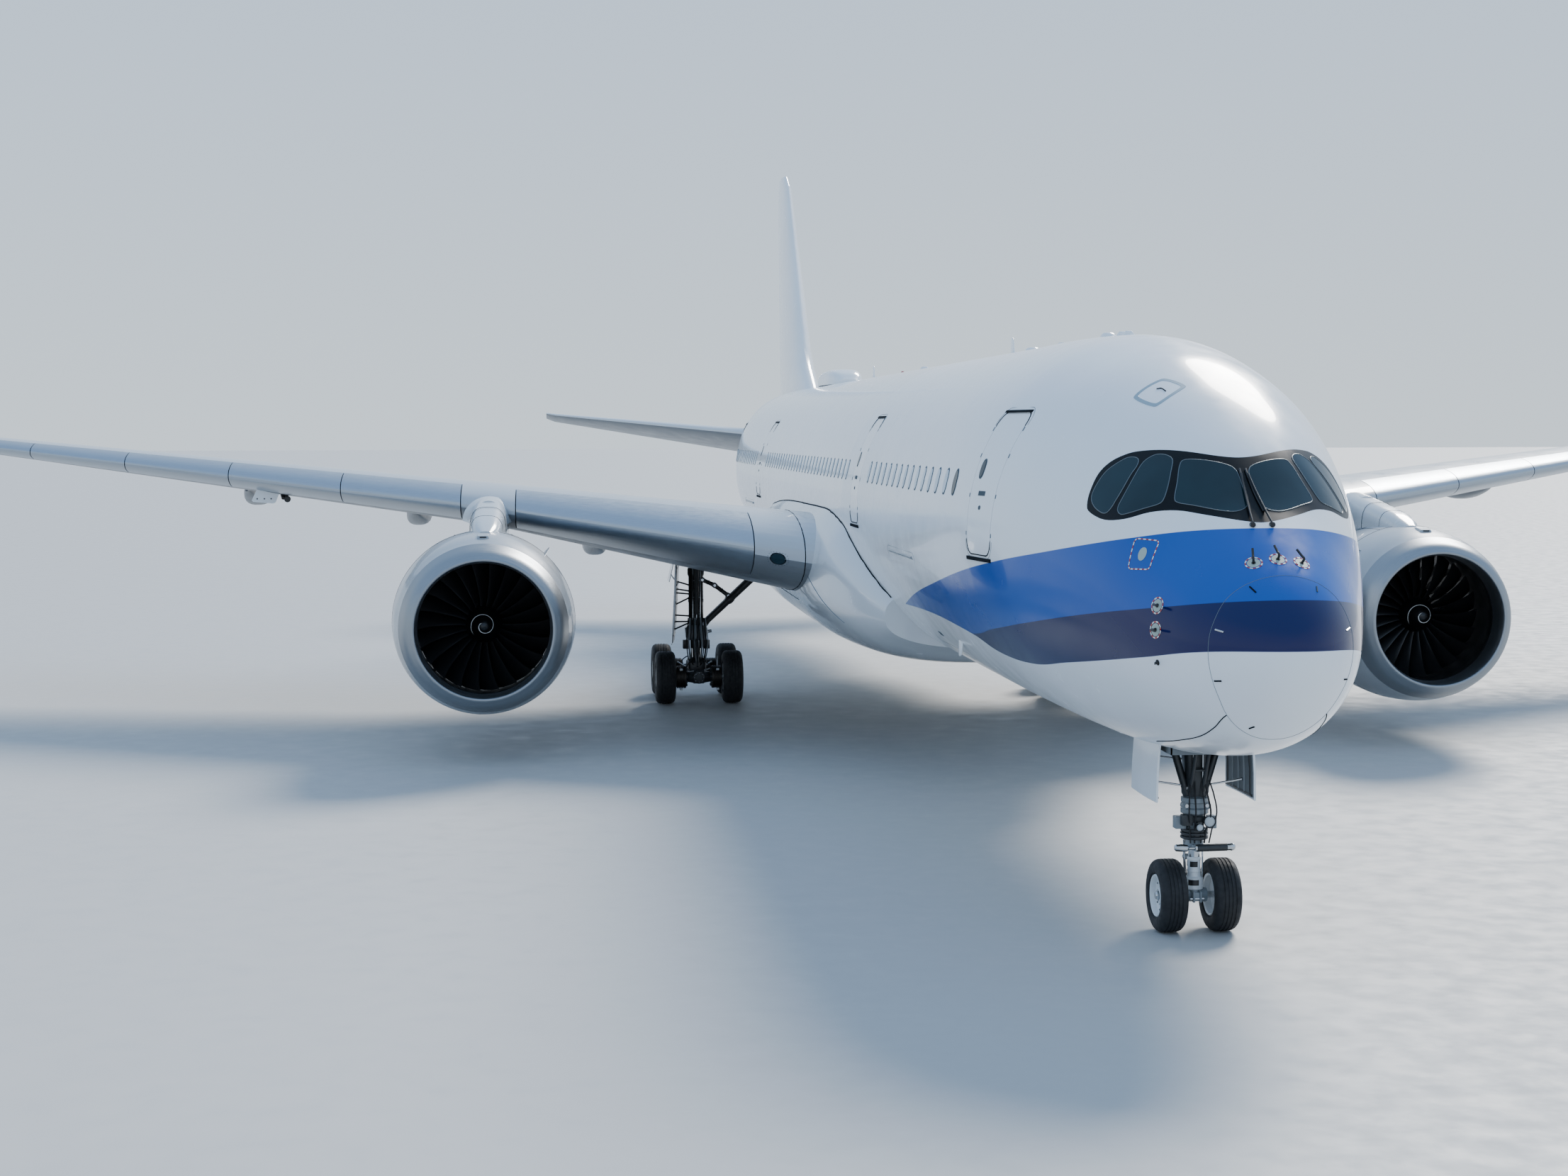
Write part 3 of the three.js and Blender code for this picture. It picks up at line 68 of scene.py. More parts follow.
# Fuselage. Columns: station, crown height, keel height, half width.
FUSELAGE = [
    (0, 4.44, 4.44, 0),
    (0.12, 4.87, 3.99, 0.4),
    (0.5, 5.29, 3.56, 0.83),
    (1.0, 5.64, 3.19, 1.16),
    (1.8, 6.2, 2.92, 1.5),
    (2.8, 7.06, 2.76, 1.86),
    (4.0, 7.78, 2.64, 2.24),
    (5.5, 8.34, 2.59, 2.61),
    (7.5, 8.66, 2.58, 2.86),
    (10, 8.7, 2.58, 2.965),
    (13, 8.68, 2.58, 2.98),
    (44, 8.67, 2.58, 2.98),
    (48, 8.67, 2.85, 2.92),
    (52, 8.66, 3.65, 2.6),
    (56, 8.6, 4.75, 2.05),
    (60, 8.4, 5.85, 1.35),
    (63, 8.05, 6.55, 0.78),
    (65.26, 7.65, 6.98, 0.32),
]
SECTIONS = [
    ("radome", 0, 1.15),
    ("nose_section", 1.15, 9),
    ("forward_fuselage", 9, 20.5),
    ("centre_fuselage", 20.5, 36.6),
    ("aft_fuselage", 36.6, 50.5),
    ("tail_cone", 50.5, 65.26),
]
SKIN_SIDES = 128

# Belly fairing. Columns: station, half width, keel height, top height.
BELLY_FAIRING = [
    (16.8, 2.6, 2.85, 4.2),
    (18.6, 3.1, 2.4, 5.1),
    (20.6, 3.45, 2.22, 5.85),
    (23.5, 3.6, 2.14, 6.05),
    (30, 3.6, 2.13, 6),
    (35, 3.5, 2.18, 5.8),
    (38, 3.15, 2.4, 5.1),
    (41, 2.6, 2.85, 4.2),
]
FAIRING_POWER = 2.6
# Step by which the fairing's edge on the fuselage is looked for, and X of the seam on the wing.
EDGE_STEP = 0.01
ROOT_SEAM_X = 3.64
# Seams along the fairing's sides. Columns: station and its end, height and its end.
PANEL_SEAMS = [(19.2, 22.2, 3.2, 4.1), (24.4, 28.6, 3.3, 3.3)]

# Aerial fairing on the crown. Columns: station, half width, top height.
AERIAL_FAIRING = [
    (41.6, 0.3, 8.8),
    (42.0, 0.46, 9.03),
    (42.8, 0.56, 9.13),
    (44.8, 0.55, 9.12),
    (45.7, 0.44, 9.02),
    (46.2, 0.26, 8.8),
]

AERIAL_POWER = 0.6

# Black band round the cockpit windows, as half of its front view. Columns: X, Z.
WINDOW_BAND = [
    (0, 5.98), (0.28, 6.01), (0.63, 6.07), (0.94, 6.12), (1.23, 6.09), (1.51, 5.99), (1.7, 5.97),
    (1.82, 6.06), (1.83, 6.16), (1.77, 6.35), (1.65, 6.58), (1.5, 6.74), (1.33, 6.84), (1.17, 6.89),
    (0.92, 6.91), (0.64, 6.89), (0.26, 6.83), (0, 6.81),
]
# Cockpit panes on one side, as front views. Columns: X, Z.
PANES = {
    "windshield": [
        (0.68, 6.78), (0.43, 6.77), (0.2, 6.72), (0.1, 6.66), (0.07, 6.55), (0.07, 6.3),
        (0.1, 6.18), (0.26, 6.12), (0.45, 6.13), (0.74, 6.19), (0.9, 6.22), (0.93, 6.28),
        (0.85, 6.49), (0.77, 6.7),
    ],
    "forward_side": [
        (1.03, 6.83), (0.94, 6.85), (0.86, 6.83), (0.83, 6.77), (0.89, 6.62), (0.97, 6.43),
        (1.05, 6.27), (1.12, 6.2), (1.28, 6.14), (1.43, 6.08), (1.53, 6.05), (1.55, 6.12),
        (1.48, 6.26), (1.3, 6.55), (1.16, 6.74),
    ],
    "aft_side": [
        (1.35, 6.78), (1.25, 6.81), (1.2, 6.78), (1.24, 6.69), (1.34, 6.56), (1.53, 6.26),
        (1.61, 6.13), (1.67, 6.06), (1.72, 6.07), (1.77, 6.15), (1.77, 6.27), (1.69, 6.44),
        (1.55, 6.63),
    ],
}

PANE_PROUD = 0.003
WIPER_FOOT = (0.13, 5.955)

DOOR_STATIONS = [6.45, 18.6, 39.8, 52.6]
DOOR_WIDTH = 1.07
DOOR_SILL = 5.32
DOOR_HEAD = 7.45
DOOR_CORNER = 0.2
CARGO_DOORS = [("forward", 11.5, 14.3), ("aft", 42, 44.8)]
CARGO_SILL = 3.3
CARGO_HEAD = 4.95
# Cabin windows. Columns: first station, count.
WINDOW_ROWS = [(8.06, 15), (20.2, 29), (41.4, 16)]
WINDOW_PITCH = 0.635
WINDOW_CENTRE = 6.37
WINDOW_SIZE = (0.26, 0.43)
# Row and place of the window whose shade is up.
UNSHADED = (0, 0)
NOSE_BAY = ((-0.58, 3.55, 2), (0.58, 5.35, 3.35))

# Livery edges. Columns: station, Z.
BLUE_TOP = [(0, 6.0), (1.42, 5.91), (2.5, 5.73), (3.9, 5.51), (5.4, 5.3), (7.3, 5.04),
            (9.65, 4.7), (12.3, 4.34), (15.15, 3.9)]
NAVY_TOP = [(0, 5.1), (0.63, 5.02), (1.4, 4.91), (3.1, 4.68), (5.1, 4.39), (6.7, 4.17),
            (8.6, 3.93), (15.15, 3.9)]
NAVY_FOOT = [(0, 4.45), (0.62, 4.4), (1.8, 4.22), (4, 3.93), (5.5, 3.76), (7.2, 3.76),
             (8.6, 3.93), (15.15, 3.9)]
LIVERY_TIP = 15.15
NAVY_TIP = 8.6
LIVERY_STATIONS = (0, 16)
LIVERY_HEIGHTS = (3.5, 6.5)

# Wing. Columns: X, leading edge station, chord, leading edge height, incidence in degrees,
# thickness over chord, cant in degrees.
WING = [
    (3, 21, 14.4, 4.38, 2.9, 0.133, 0),
    (10.8, 26.6, 8.8, 5.42, 1.6, 0.115, 0),
    (29, 39.34, 2.7, 7.25, -1, 0.1, 4),
    (30.4, 40.45, 2.25, 7.58, -1, 0.1, 26),
    (31.4, 41.55, 1.75, 8.2, -1, 0.1, 50),
    (32.05, 42.8, 1.2, 9.0, -1, 0.09, 66),
    (32.36, 44, 0.55, 9.95, -1, 0.09, 78),
]
WING_CAMBER = 0.012
HALF_SPAN = 32.377
WINGLET_START = 29.0
BLUNT_EDGE = 0.003
SLAT_UPPER_FRACTION = 0.13
SLAT_LOWER_FRACTION = 0.096
DROOP_NOSE = (4.7, 9.96)
SLATS = (11.3, 28.6)
SLAT_SEAMS = [14.3, 17.3, 20.25, 23.1, 25.9]
SEAM_GAP = 0.025
# Columns: name, inboard X and hinge station, outboard X and hinge station, drop of the hinge.
FLAPS = [
    ("flap_inboard", 4.35, 33.95, 10.2, 33.95, 0.42),
    ("flap_outboard", 11.1, 34.45, 20.9, 37.75, 0.34),
]
FLAP_TRAVEL = 35
SHROUD = 0.045
# Columns: flap index, X.
TRACK_FAIRINGS = [(0, 8.0), (1, 12.7), (1, 17.15)]
TRACK_HALF_WIDTH = 0.33
TRACK_FORE = 3.1
TRACK_AFT = 1.55
TRACK_DEPTH = 0.6
TRACK_SUNK = 0.05
TRACK_POWER = 2.8
TRACK_BEARING_RADIUS = 0.26
AILERON_SPAN = (21.25, 27.7)
AILERON_FRACTION = 0.74
AILERON_TRAVEL = 25
RUNNING = 0.012
COVE_SLACK = 1.5
# Gap behind the slats and droop noses, and at each end of a moving surface.
NOSE_GAP = 0.012
END_GAP = 0.004

# Fin. Columns: height, leading edge station, chord, thickness over chord.
FIN = [
    (8.2, 50.3, 11.4, 0.085),
    (8.9, 51.5, 10.3, 0.09),
    (9.5, 52.8, 9.05, 0.1),
    (10.2, 53.75, 8.2, 0.105),
    (16.6, 59.1, 3.6, 0.1),
    (17.05, 59.9, 2.6, 0.08),
]
RUDDER_HINGE = [(59.25, 9.35), (61.55, 16.3)]
RUDDER_TRAVEL = 30
# Tailplane. Columns: X, leading edge station, chord, height, thickness over chord.
TAILPLANE = [
    (0.7, 57.18, 7.05, 7.03, 0.105),
    (9.0, 64.15, 2.4, 7.88, 0.09),
    (9.34, 65.0, 1.81, 7.95, 0.07),
]
TAILPLANE_INCIDENCE = 6.2
ELEVATOR_SPAN = (2.0, 8.75)
ELEVATOR_FRACTION = 0.7
ELEVATOR_UP = 30
ELEVATOR_DOWN = 15

# Engines. Profile columns: radius, metres behind the intake.
ENGINE_X = 10.59
ENGINE_Z = 2.95
INTAKE_STATION = 21.14
TOE_IN = 1.5
ENGINE_SIDES = 128
LIP_PROFILE = [
    (1.425, 0.58), (1.425, 0.22), (1.46, 0.04), (1.505, 0), (1.57, 0.04), (1.7, 0.2), (1.83, 0.58),
]
COWL_PROFILE = [
    (1.83, 0.58), (1.96, 1.25), (2.03, 2.3), (1.99, 3.5), (1.86, 4.7), (1.62, 5.8),
]
COWL_INSIDE = [
    (1.575, 5.8), (1.66, 4), (1.62, 2.6), (1.5, 2.05), (1.5, 1.2), (1.425, 0.7), (1.425, 0.58),
]
CORE_PROFILE = [
    (0.42, 2.2), (0.9, 2.95), (1.1, 3.9), (1.12, 4.8), (1.03, 5.9), (0.8, 7),
]
SPINNER_PROFILE = [
    (0, 1), (0.12, 1.07), (0.28, 1.28), (0.41, 1.58), (0.42, 2.18),
]
LIP_BACK = (1.8, 0.58)
COWL_EDGE = [(1.62, 5.8), (1.598, 5.82), (1.575, 5.8)]
COWL_SEAMS = (2.2, 3.55)
PLUG_PROFILE = [(0.78, 7.0), (0.74, 6.5), (0.6, 6.4), (0.55, 6.9), (0.5, 7.35), (0.3, 7.75),
                (0, 8.05)]
# Duct vanes behind the fan: count, radii, and a section in X and metres behind the intake.
VANE_COUNT = 36
VANE_RADII = (0.85, 1.635)
VANE_SECTION = [(-0.03, 2.62), (0.012, 2.75), (0.02, 2.95), (0.0, 3.12), (-0.012, 2.95),
                (-0.02, 2.75)]
# Scoop on the cowl. Columns: metres behind the intake, half width, height.
SCOOP = [(0.98, 0.13, 0.0), (1.0, 0.14, 0.05), (1.3, 0.14, 0.045), (1.6, 0.07, 0.0)]
# Strake on the cowl. Columns: metres behind the intake, height. Its lean is in degrees.
STRAKE = [(1.5, 0.01), (1.75, 0.06), (2.15, 0.13), (2.55, 0.17), (2.66, 0.16)]
STRAKE_LEAN = -42
SPIRAL_STEPS = 90
BLADE_COUNT = 22
# Fan blade sections. Columns: radius, chord, angle from the axis in degrees, thickness, lean.
BLADE_SECTIONS = [
    (0.36, 0.44, 18, 0.05, 0.0),
    (0.6, 0.5, 28, 0.04, 0.03),
    (0.95, 0.56, 42, 0.028, 0.035),
    (1.25, 0.54, 54, 0.02, -0.01),
    (1.475, 0.5, 62, 0.014, -0.1),
]
BLADE_MIDDLE = 1.74
BLADE_BOW = 0.035

# Landing gear. Tyre columns: radius, half width, rim radius.
NOSE_GEAR = Vector((0, 4.32, 0))
NOSE_AXLE = 0.525
NOSE_WHEEL_X = 0.39
NOSE_TYRE = (0.523, 0.1975, 0.3)
MAIN_GEAR_STATION = 32.98
MAIN_GEAR_X = 5.3
MAIN_AXLE = 0.7
MAIN_WHEEL_X = 0.886
MAIN_TYRE = (0.697, 0.265, 0.37)
BOGIE_HALF_BASE = 1.02
BRAKE_X = 0.47
# Slope of the main leg's door: X inboard for each metre aft.
LEG_DOOR_SLANT = 0.11
LEG_DOOR_FRONT = -0.56
# Sides of a tyre. Columns: share from rim to tread, share of the half width.
TYRE_WALL = [(0.0, 0.7), (0.03, 0.8), (0.1, 0.84), (0.14, 0.93), (0.3, 0.985), (0.48, 1.0),
             (0.66, 0.97), (0.8, 0.9), (0.9, 0.79), (0.965, 0.65), (0.99, 0.52)]
TYRE_GROOVES = (-0.42, -0.14, 0.14, 0.42)
# Hub sections. Columns: share of the rim's radius, share of the tyre's half width.
HUB_OUTSIDE = [(1, 0), (1, 0.6), (1.02, 0.82), (0.985, 0.88), (0.94, 0.86), (0.9, 0.74),
               (0.86, 0.5), (0.72, 0.38), (0.5, 0.34), (0.38, 0.42), (0.34, 0.62), (0.3, 0.66),
               (0.28, 0.5), (0.16, 0.5), (0.14, 0.58), (0, 0.6)]
HUB_INSIDE = [(1, 0), (1, -0.6), (1.02, -0.82), (0.985, -0.88), (0.9, -0.8), (0.86, -0.4),
              (0, -0.38)]


# Shader graphs.

# The range that most noise values lie in.
NOISE_RANGE = (0.3, 0.7)
# Scales of a paint's patches, gloss and grain, and the depth of the grain.
PATCH_SCALE = 0.7
GLOSS_SCALE = 3.5
GRAIN_SCALE = 55
GRAIN_DEPTH = 0.002
COAT_ROUGHNESS = 0.04
# Width over which one livery colour turns into the next.
LIVERY_BLUR = 0.004


class Graph:
    """A material's node tree with short ways to add nodes."""

    def __init__(self, name):
        self.material = bpy.data.materials.new(name)
        self.material.use_nodes = True
        self.tree = self.material.node_tree
        self.shader = self.tree.nodes["Principled BSDF"]
        self.coordinates = self.tree.nodes.new("ShaderNodeTexCoord").outputs["Object"]

    def link(self, value, socket):
        if isinstance(value, bpy.types.NodeSocket):
            self.tree.links.new(value, socket)
        else:
            socket.default_value = value

    def math(self, operation, a, b=0.0, c=0.0, clamp=False):
        node = self.tree.nodes.new("ShaderNodeMath")
        node.operation = operation
        node.use_clamp = clamp
        for value, socket in zip((a, b, c), node.inputs):
            self.link(value, socket)
        return node.outputs[0]

    def axes(self):
        node = self.tree.nodes.new("ShaderNodeSeparateXYZ")
        self.link(self.coordinates, node.inputs[0])
        return node.outputs

    def noise(self, scale, detail=4.0, roughness=0.55, stretch=None):
        node = self.tree.nodes.new("ShaderNodeTexNoise")
        node.inputs["Scale"].default_value = scale
        node.inputs["Detail"].default_value = detail
        node.inputs["Roughness"].default_value = roughness
        where = self.coordinates
        if stretch:
            mapping = self.tree.nodes.new("ShaderNodeMapping")
            mapping.inputs["Scale"].default_value = stretch
            self.link(where, mapping.inputs["Vector"])
            where = mapping.outputs[0]
        self.link(where, node.inputs["Vector"])
        return node.outputs["Fac"]

    def spread(self, value, low, high):
        """A 0 to 1 value spread between two values."""
        node = self.tree.nodes.new("ShaderNodeMapRange")
        self.link(value, node.inputs["Value"])
        limits = (*NOISE_RANGE, low, high)
        for key, limit in zip(("From Min", "From Max", "To Min", "To Max"), limits):
            node.inputs[key].default_value = limit
        return node.outputs["Result"]

    def mix(self, factor, a, b):
        node = self.tree.nodes.new("ShaderNodeMix")
        node.data_type = "RGBA"
        self.link(factor, node.inputs["Factor"])
        for value, key in ((a, "A"), (b, "B")):
            socket = [s for s in node.inputs if s.name == key and s.type == "RGBA"][0]
            self.link(value, socket)
        return [s for s in node.outputs if s.type == "RGBA"][0]

    def curve(self, value, rows, x_range, y_range):
        """A smooth curve through rows of two columns."""
        node = self.tree.nodes.new("ShaderNodeFloatCurve")
        (x0, x1), (y0, y1) = x_range, y_range
        points = node.mapping.curves[0].points
        while len(points) < len(rows):
            points.new(0.5, 0.5)
        for p, (x, y) in zip(points, rows):
            p.location = ((x - x0) / (x1 - x0), (y - y0) / (y1 - y0))
        node.mapping.update()
        scaled = self.math("MULTIPLY_ADD", value, 1 / (x1 - x0), -x0 / (x1 - x0), clamp=True)
        self.link(scaled, node.inputs["Value"])
        return self.math("MULTIPLY_ADD", node.outputs[0], y1 - y0, y0)

    def above(self, value, edge):
        """1 where value is above edge, 0 where it is below."""
        difference = self.math("SUBTRACT", value, edge)
        return self.math("MULTIPLY_ADD", difference, 0.5 / LIVERY_BLUR, 0.5, clamp=True)

    def both(self, a, b):
        return self.math("MULTIPLY", a, b)

    def bump(self, height, strength, distance):
        node = self.tree.nodes.new("ShaderNodeBump")
        node.inputs["Strength"].default_value = strength
        node.inputs["Distance"].default_value = distance
        self.link(height, node.inputs["Height"])
        self.link(node.outputs[0], self.shader.inputs["Normal"])

    def set(self, key, value):
        self.link(value, self.shader.inputs[key])


def rgb(red, green, blue):
    """Linear colour from display values of 0 to 255."""
    values = []
    for v in (red, green, blue):
        v = v / 255
        values.append(v / 12.92 if v <= 0.04045 else ((v + 0.055) / 1.055) ** 2.4)
    return (*values, 1.0)


def toned(color, factor):
    return tuple(min(1.0, c * factor) for c in color[:3]) + (1.0,)


def patchy(graph, color, variation):
    """A colour with large, faint patches of a darker tone."""
    patches = graph.spread(graph.noise(PATCH_SCALE, detail=6), 0.0, 1.0)
    return graph.mix(patches, toned(color, 1 - variation), color)


def coated(graph, color, gloss, coat, specular, bump):
    """Finishes a paint. Gloss is its lowest and highest roughness."""
    graph.set("Base Color", color)
    graph.set("Roughness", graph.spread(graph.noise(GLOSS_SCALE), *gloss))
    graph.set("Coat Weight", coat)
    graph.set("Coat Roughness", COAT_ROUGHNESS)
    graph.set("Specular IOR Level", specular)
    graph.bump(graph.noise(GRAIN_SCALE, detail=2), bump, GRAIN_DEPTH)
    return graph.material


def paint(name, color, roughness=0.22, coat=0.6, variation=0.04, bump=0.03, specular=0.5):
    graph = Graph(name)
    gloss = (roughness * 0.8, roughness * 1.25)
    return coated(graph, patchy(graph, color, variation), gloss, coat, specular, bump)


def bare_metal(name, color, roughness=0.3, stretch=(2, 2, 60), scale=4.0):
    graph = Graph(name)
    streaks = graph.noise(scale, detail=8, roughness=0.7, stretch=stretch)
    graph.set("Base Color", graph.mix(graph.spread(streaks, 0.0, 1.0), toned(color, 0.82), color))
    graph.set("Metallic", 1.0)
    graph.set("Roughness", graph.spread(streaks, roughness * 0.75, roughness * 1.3))
    graph.bump(streaks, 0.08, 0.002)
    return graph.material


def rubber(name):
    graph = Graph(name)
    dust = graph.spread(graph.noise(7, detail=6), 0.0, 1.0)
    graph.set("Base Color", graph.mix(dust, rgb(24, 25, 27), rgb(38, 39, 41)))
    graph.set("Roughness", graph.spread(graph.noise(24), 0.62, 0.85))
    graph.bump(graph.noise(120, detail=3), 0.25, 0.003)
    return graph.material


def glass(name, low, high, roughness=0.05, coat=1.0, specular=0.5):
    graph = Graph(name)
    haze = graph.spread(graph.noise(1.3, detail=3), 0.0, 1.0)
    graph.set("Base Color", graph.mix(haze, low, high))
    graph.set("Roughness", graph.spread(graph.noise(9), roughness, roughness * 2))
    graph.set("Specular IOR Level", specular)
    graph.set("Coat Weight", coat)
    graph.set("Coat Roughness", 0.02)
    return graph.material


def livery():
    """White paint with a medium blue and a navy band that sweep down from the nose."""
    graph = Graph("livery_paint")
    _, y, z = graph.axes()
    station = graph.math("MULTIPLY_ADD", y, 1 / MODEL_SCALE, LENGTH / 2)
    height = graph.math("MULTIPLY", z, 1 / MODEL_SCALE)
    blue_top, navy_top, navy_foot = (
        graph.curve(station, rows, LIVERY_STATIONS, LIVERY_HEIGHTS)
        for rows in (BLUE_TOP, NAVY_TOP, NAVY_FOOT))
    over_foot = graph.above(height, navy_foot)
    band = graph.both(graph.above(LIVERY_TIP, station),
                      graph.both(graph.above(blue_top, height), over_foot))
    navy = graph.both(graph.above(NAVY_TIP, station),
                      graph.both(graph.above(navy_top, height), over_foot))
    bands = graph.mix(band, patchy(graph, WHITE, 0.035), patchy(graph, BLUE, 0.05))
    return coated(graph, graph.mix(navy, bands, NAVY), (0.16, 0.28), 0.3, 0.25, 0.03)


WHITE = rgb(243, 247, 250)
BLUE = rgb(0, 82, 172)
NAVY = rgb(0, 14, 76)

MATERIALS = {
    "livery": livery(),
    "white": paint("white_paint", WHITE),
    "fairing": paint("fairing_paint", rgb(214, 219, 223)),
    "wing": paint("wing_paint", rgb(178, 186, 193), roughness=0.32, coat=0.4),
    # Faces under the wings and tailplanes, and the track fairings, take this darker grey: painted shade,
    # where the ground lights them less.
    "wing_shaded_under": paint("wing_underside_painted_shade", rgb(122, 128, 134), roughness=0.4, coat=0.1,
                        specular=0.3),
    "metal": bare_metal("leading_edge_metal", rgb(178, 187, 196), roughness=0.36),
    "pylon": paint("pylon_paint", rgb(206, 212, 216), roughness=0.24, coat=0.6),
    "lip": bare_metal("intake_lip_metal", rgb(158, 163, 168), roughness=0.4, stretch=(2, 30, 2)),
    "cowl": paint("cowl_paint", rgb(160, 167, 173), roughness=0.34, coat=0.5),
    "nozzle": bare_metal("nozzle_metal", rgb(120, 112, 104), roughness=0.38, stretch=(2, 30, 2)),
    # Near-black for the duct's lining and vanes: partly the lining's own dark tone, partly painted shade
    # deep inside the nacelle.
    "duct": paint("duct_lining_and_painted_shade", rgb(14, 15, 16), roughness=0.5, coat=0.1),
    # Near-black fan blades: painted shade, standing in for the dark inside the intake.
    "blade": paint("fan_blade_painted_shade", rgb(17, 18, 20), roughness=0.34, coat=0.3),
    "spinner": paint("spinner_paint", rgb(8, 8, 9), roughness=0.35, coat=0.2),
    "mark": paint("white_mark", rgb(225, 225, 220), roughness=0.4, coat=0.2),
    "mask": paint("window_mask_paint", rgb(4, 6, 8), roughness=0.3, coat=0.0, specular=0.2),
    "pane": glass("cockpit_glass", rgb(5, 28, 36), rgb(12, 46, 54), coat=0.0, specular=0.35),
    "hatch": paint("roof_hatch_paint", rgb(136, 162, 176), roughness=0.35, coat=0.2),
    "plate": paint("probe_plate_paint", rgb(164, 180, 172), roughness=0.35, coat=0.2),
    "rim": bare_metal("window_rim_metal", rgb(118, 126, 130), roughness=0.45),
    "cabin_pane": glass("cabin_window_shade", rgb(184, 202, 214), rgb(216, 228, 236), 0.2,
                        coat=0.0, specular=0.2),
    "dark_pane": glass("cabin_window_glass", rgb(18, 38, 46), rgb(34, 56, 66),
                       coat=0.0, specular=0.15),
    "gasket": paint("gasket_rubber", rgb(78, 90, 98), roughness=0.7, coat=0.0, specular=0.1),
    "seam": paint("seam_sealant", rgb(26, 31, 36), roughness=0.8, coat=0.0, specular=0.05),
    "panel_line": paint("panel_line_sealant", rgb(112, 124, 134), roughness=0.8, coat=0.0, specular=0.1),
    "gear": paint("gear_enamel", rgb(128, 138, 144), roughness=0.34, coat=0.3),
    "gear_dark": paint("gear_dark_enamel", rgb(34, 39, 42), roughness=0.42, coat=0.2),
    # A dark brown-grey for the main legs, braces and the leg door's lining: painted shade, standing in
    # for the shadow over the main gear.
    "leg": paint("main_leg_painted_shade", rgb(44, 43, 41), roughness=0.42, coat=0.2),
    "bay": paint("wheel_bay_paint", rgb(112, 120, 124), roughness=0.55, coat=0.0, variation=0.2),
    "steel": bare_metal("chromed_steel", rgb(205, 208, 210), roughness=0.14, stretch=(3, 3, 3)),
    "brake": bare_metal("brake_metal", rgb(70, 66, 62), roughness=0.5, stretch=(3, 3, 3)),
    "hub": paint("wheel_hub_paint", rgb(222, 226, 228), roughness=0.3, coat=0.5),
    "hose": rubber("hose_rubber"),
    "tyre": rubber("tyre_rubber"),
    "black": paint("black_trim", rgb(16, 17, 18), roughness=0.45, coat=0.2),
    "lamp": glass("lamp_glass", rgb(110, 122, 130), rgb(214, 222, 226), 0.03),
    "red": glass("beacon_red", rgb(150, 16, 14), rgb(190, 30, 24), 0.08),
    "green": glass("beacon_green", rgb(10, 110, 60), rgb(20, 150, 80), 0.08),
    "floor": paint("floor_paint", rgb(182, 183, 182), roughness=0.6, coat=0.0, variation=0.01,
                   bump=0.0),
}


# Meshes in real metres.

# A lathe's profile meets its axis below this radius.
ON_AXIS = 1e-6
# Edges sharper than this many degrees stay sharp.
SHARP_ANGLE = 32
# A cut piece takes a skin's normal within this distance, and above this cosine to it.
NEAR_SKIN = 2e-4
ALONG_SKIN = 0.9
# Faces that look down by more than this get the underside's darker paint, which is painted shade.
DOWNWARD = -0.25


class Build:
    """Collects faces of several materials, in real metres, for one piece."""

    def __init__(self):
        self.points = []
        self.faces = []
        self.slots = []
        self.keys = []

    def add(self, points, faces, key, place=None):
        if key not in self.keys:
            self.keys.append(key)
        slot = self.keys.index(key)
        start = len(self.points)
        for p in points:
            self.points.append(place @ Vector(p) if place else Vector(p))
        for face in faces:
            self.faces.append([start + i for i in face])
            self.slots.append(slot)
        return self

    def loft(self, rings, key, place=None, caps=True):
        points, faces = loft_faces(rings, caps)
        return self.add(points, faces, key, place)

    def lathe(self, profile, key, place=None, sides=48, closed=False):
        """A profile of radius and length along Y, turned round Y."""
        points, faces = lathe_faces(profile, sides, closed)
        return self.add(points, faces, key, place)

    def tube(self, path, radius, key, sides=10, closed=False):
        """A tube along points. Its radius is one value, or one for each point."""
        points, faces = tube_faces([Vector(p) for p in path], radius, sides, closed)
        return self.add(points, faces, key)

    def box(self, low, high, key, place=None, bevel=0.02):
        points, faces = box_faces(low, high, bevel)
        return self.add(points, faces, key, place)

    def make(self):
        mesh = bpy.data.meshes.new("piece")
        mesh.from_pydata(self.points, [], self.faces)
        mesh.polygons.foreach_set("material_index", self.slots)
        for key in self.keys:
            mesh.materials.append(MATERIALS[key])
        outward(mesh)
        return mesh


def outward(mesh):
    work = bmesh.new()
    work.from_mesh(mesh)
    bmesh.ops.recalc_face_normals(work, faces=work.faces)
    work.to_mesh(mesh)
    work.free()


def loft_faces(rings, caps=True):
    points = [p for ring in rings for p in ring]
    starts = [0]
    for ring in rings:
        starts.append(starts[-1] + len(ring))
    faces = []
    for r in range(len(rings) - 1):
        near, far = len(rings[r]), len(rings[r + 1])
        for i in range(max(near, far)):
            j = i + 1
            face = [
                starts[r] + i % near,
                starts[r] + j % near,
                starts[r + 1] + j % far,
                starts[r + 1] + i % far,
            ]
            faces.append(list(dict.fromkeys(face)))
    if caps:
        for r in (0, len(rings) - 1):
            if len(rings[r]) > 2:
                faces.append(list(range(starts[r], starts[r + 1])))
    return points, faces


def oval(count, power=None):
    """Points round an oval of half width and half height 1, from its top. No power is a circle."""
    points = []
    for k in range(count):
        angle = math.tau * k / count
        across, upward = math.sin(angle), math.cos(angle)
        size = (abs(across) ** power + abs(upward) ** power) ** (-1 / power) if power else 1
        points.append((size * across, size * upward))
    return points


def lathe_faces(profile, sides, closed):
    rings = []
    for radius, along in profile:
        around = oval(sides) if radius > ON_AXIS else [(0, 0)]
        rings.append([Vector((radius * across, along, radius * upward)) for across, upward in around])
    if closed:
        rings.append([p.copy() for p in rings[0]])
    return loft_faces(rings, caps=not closed)


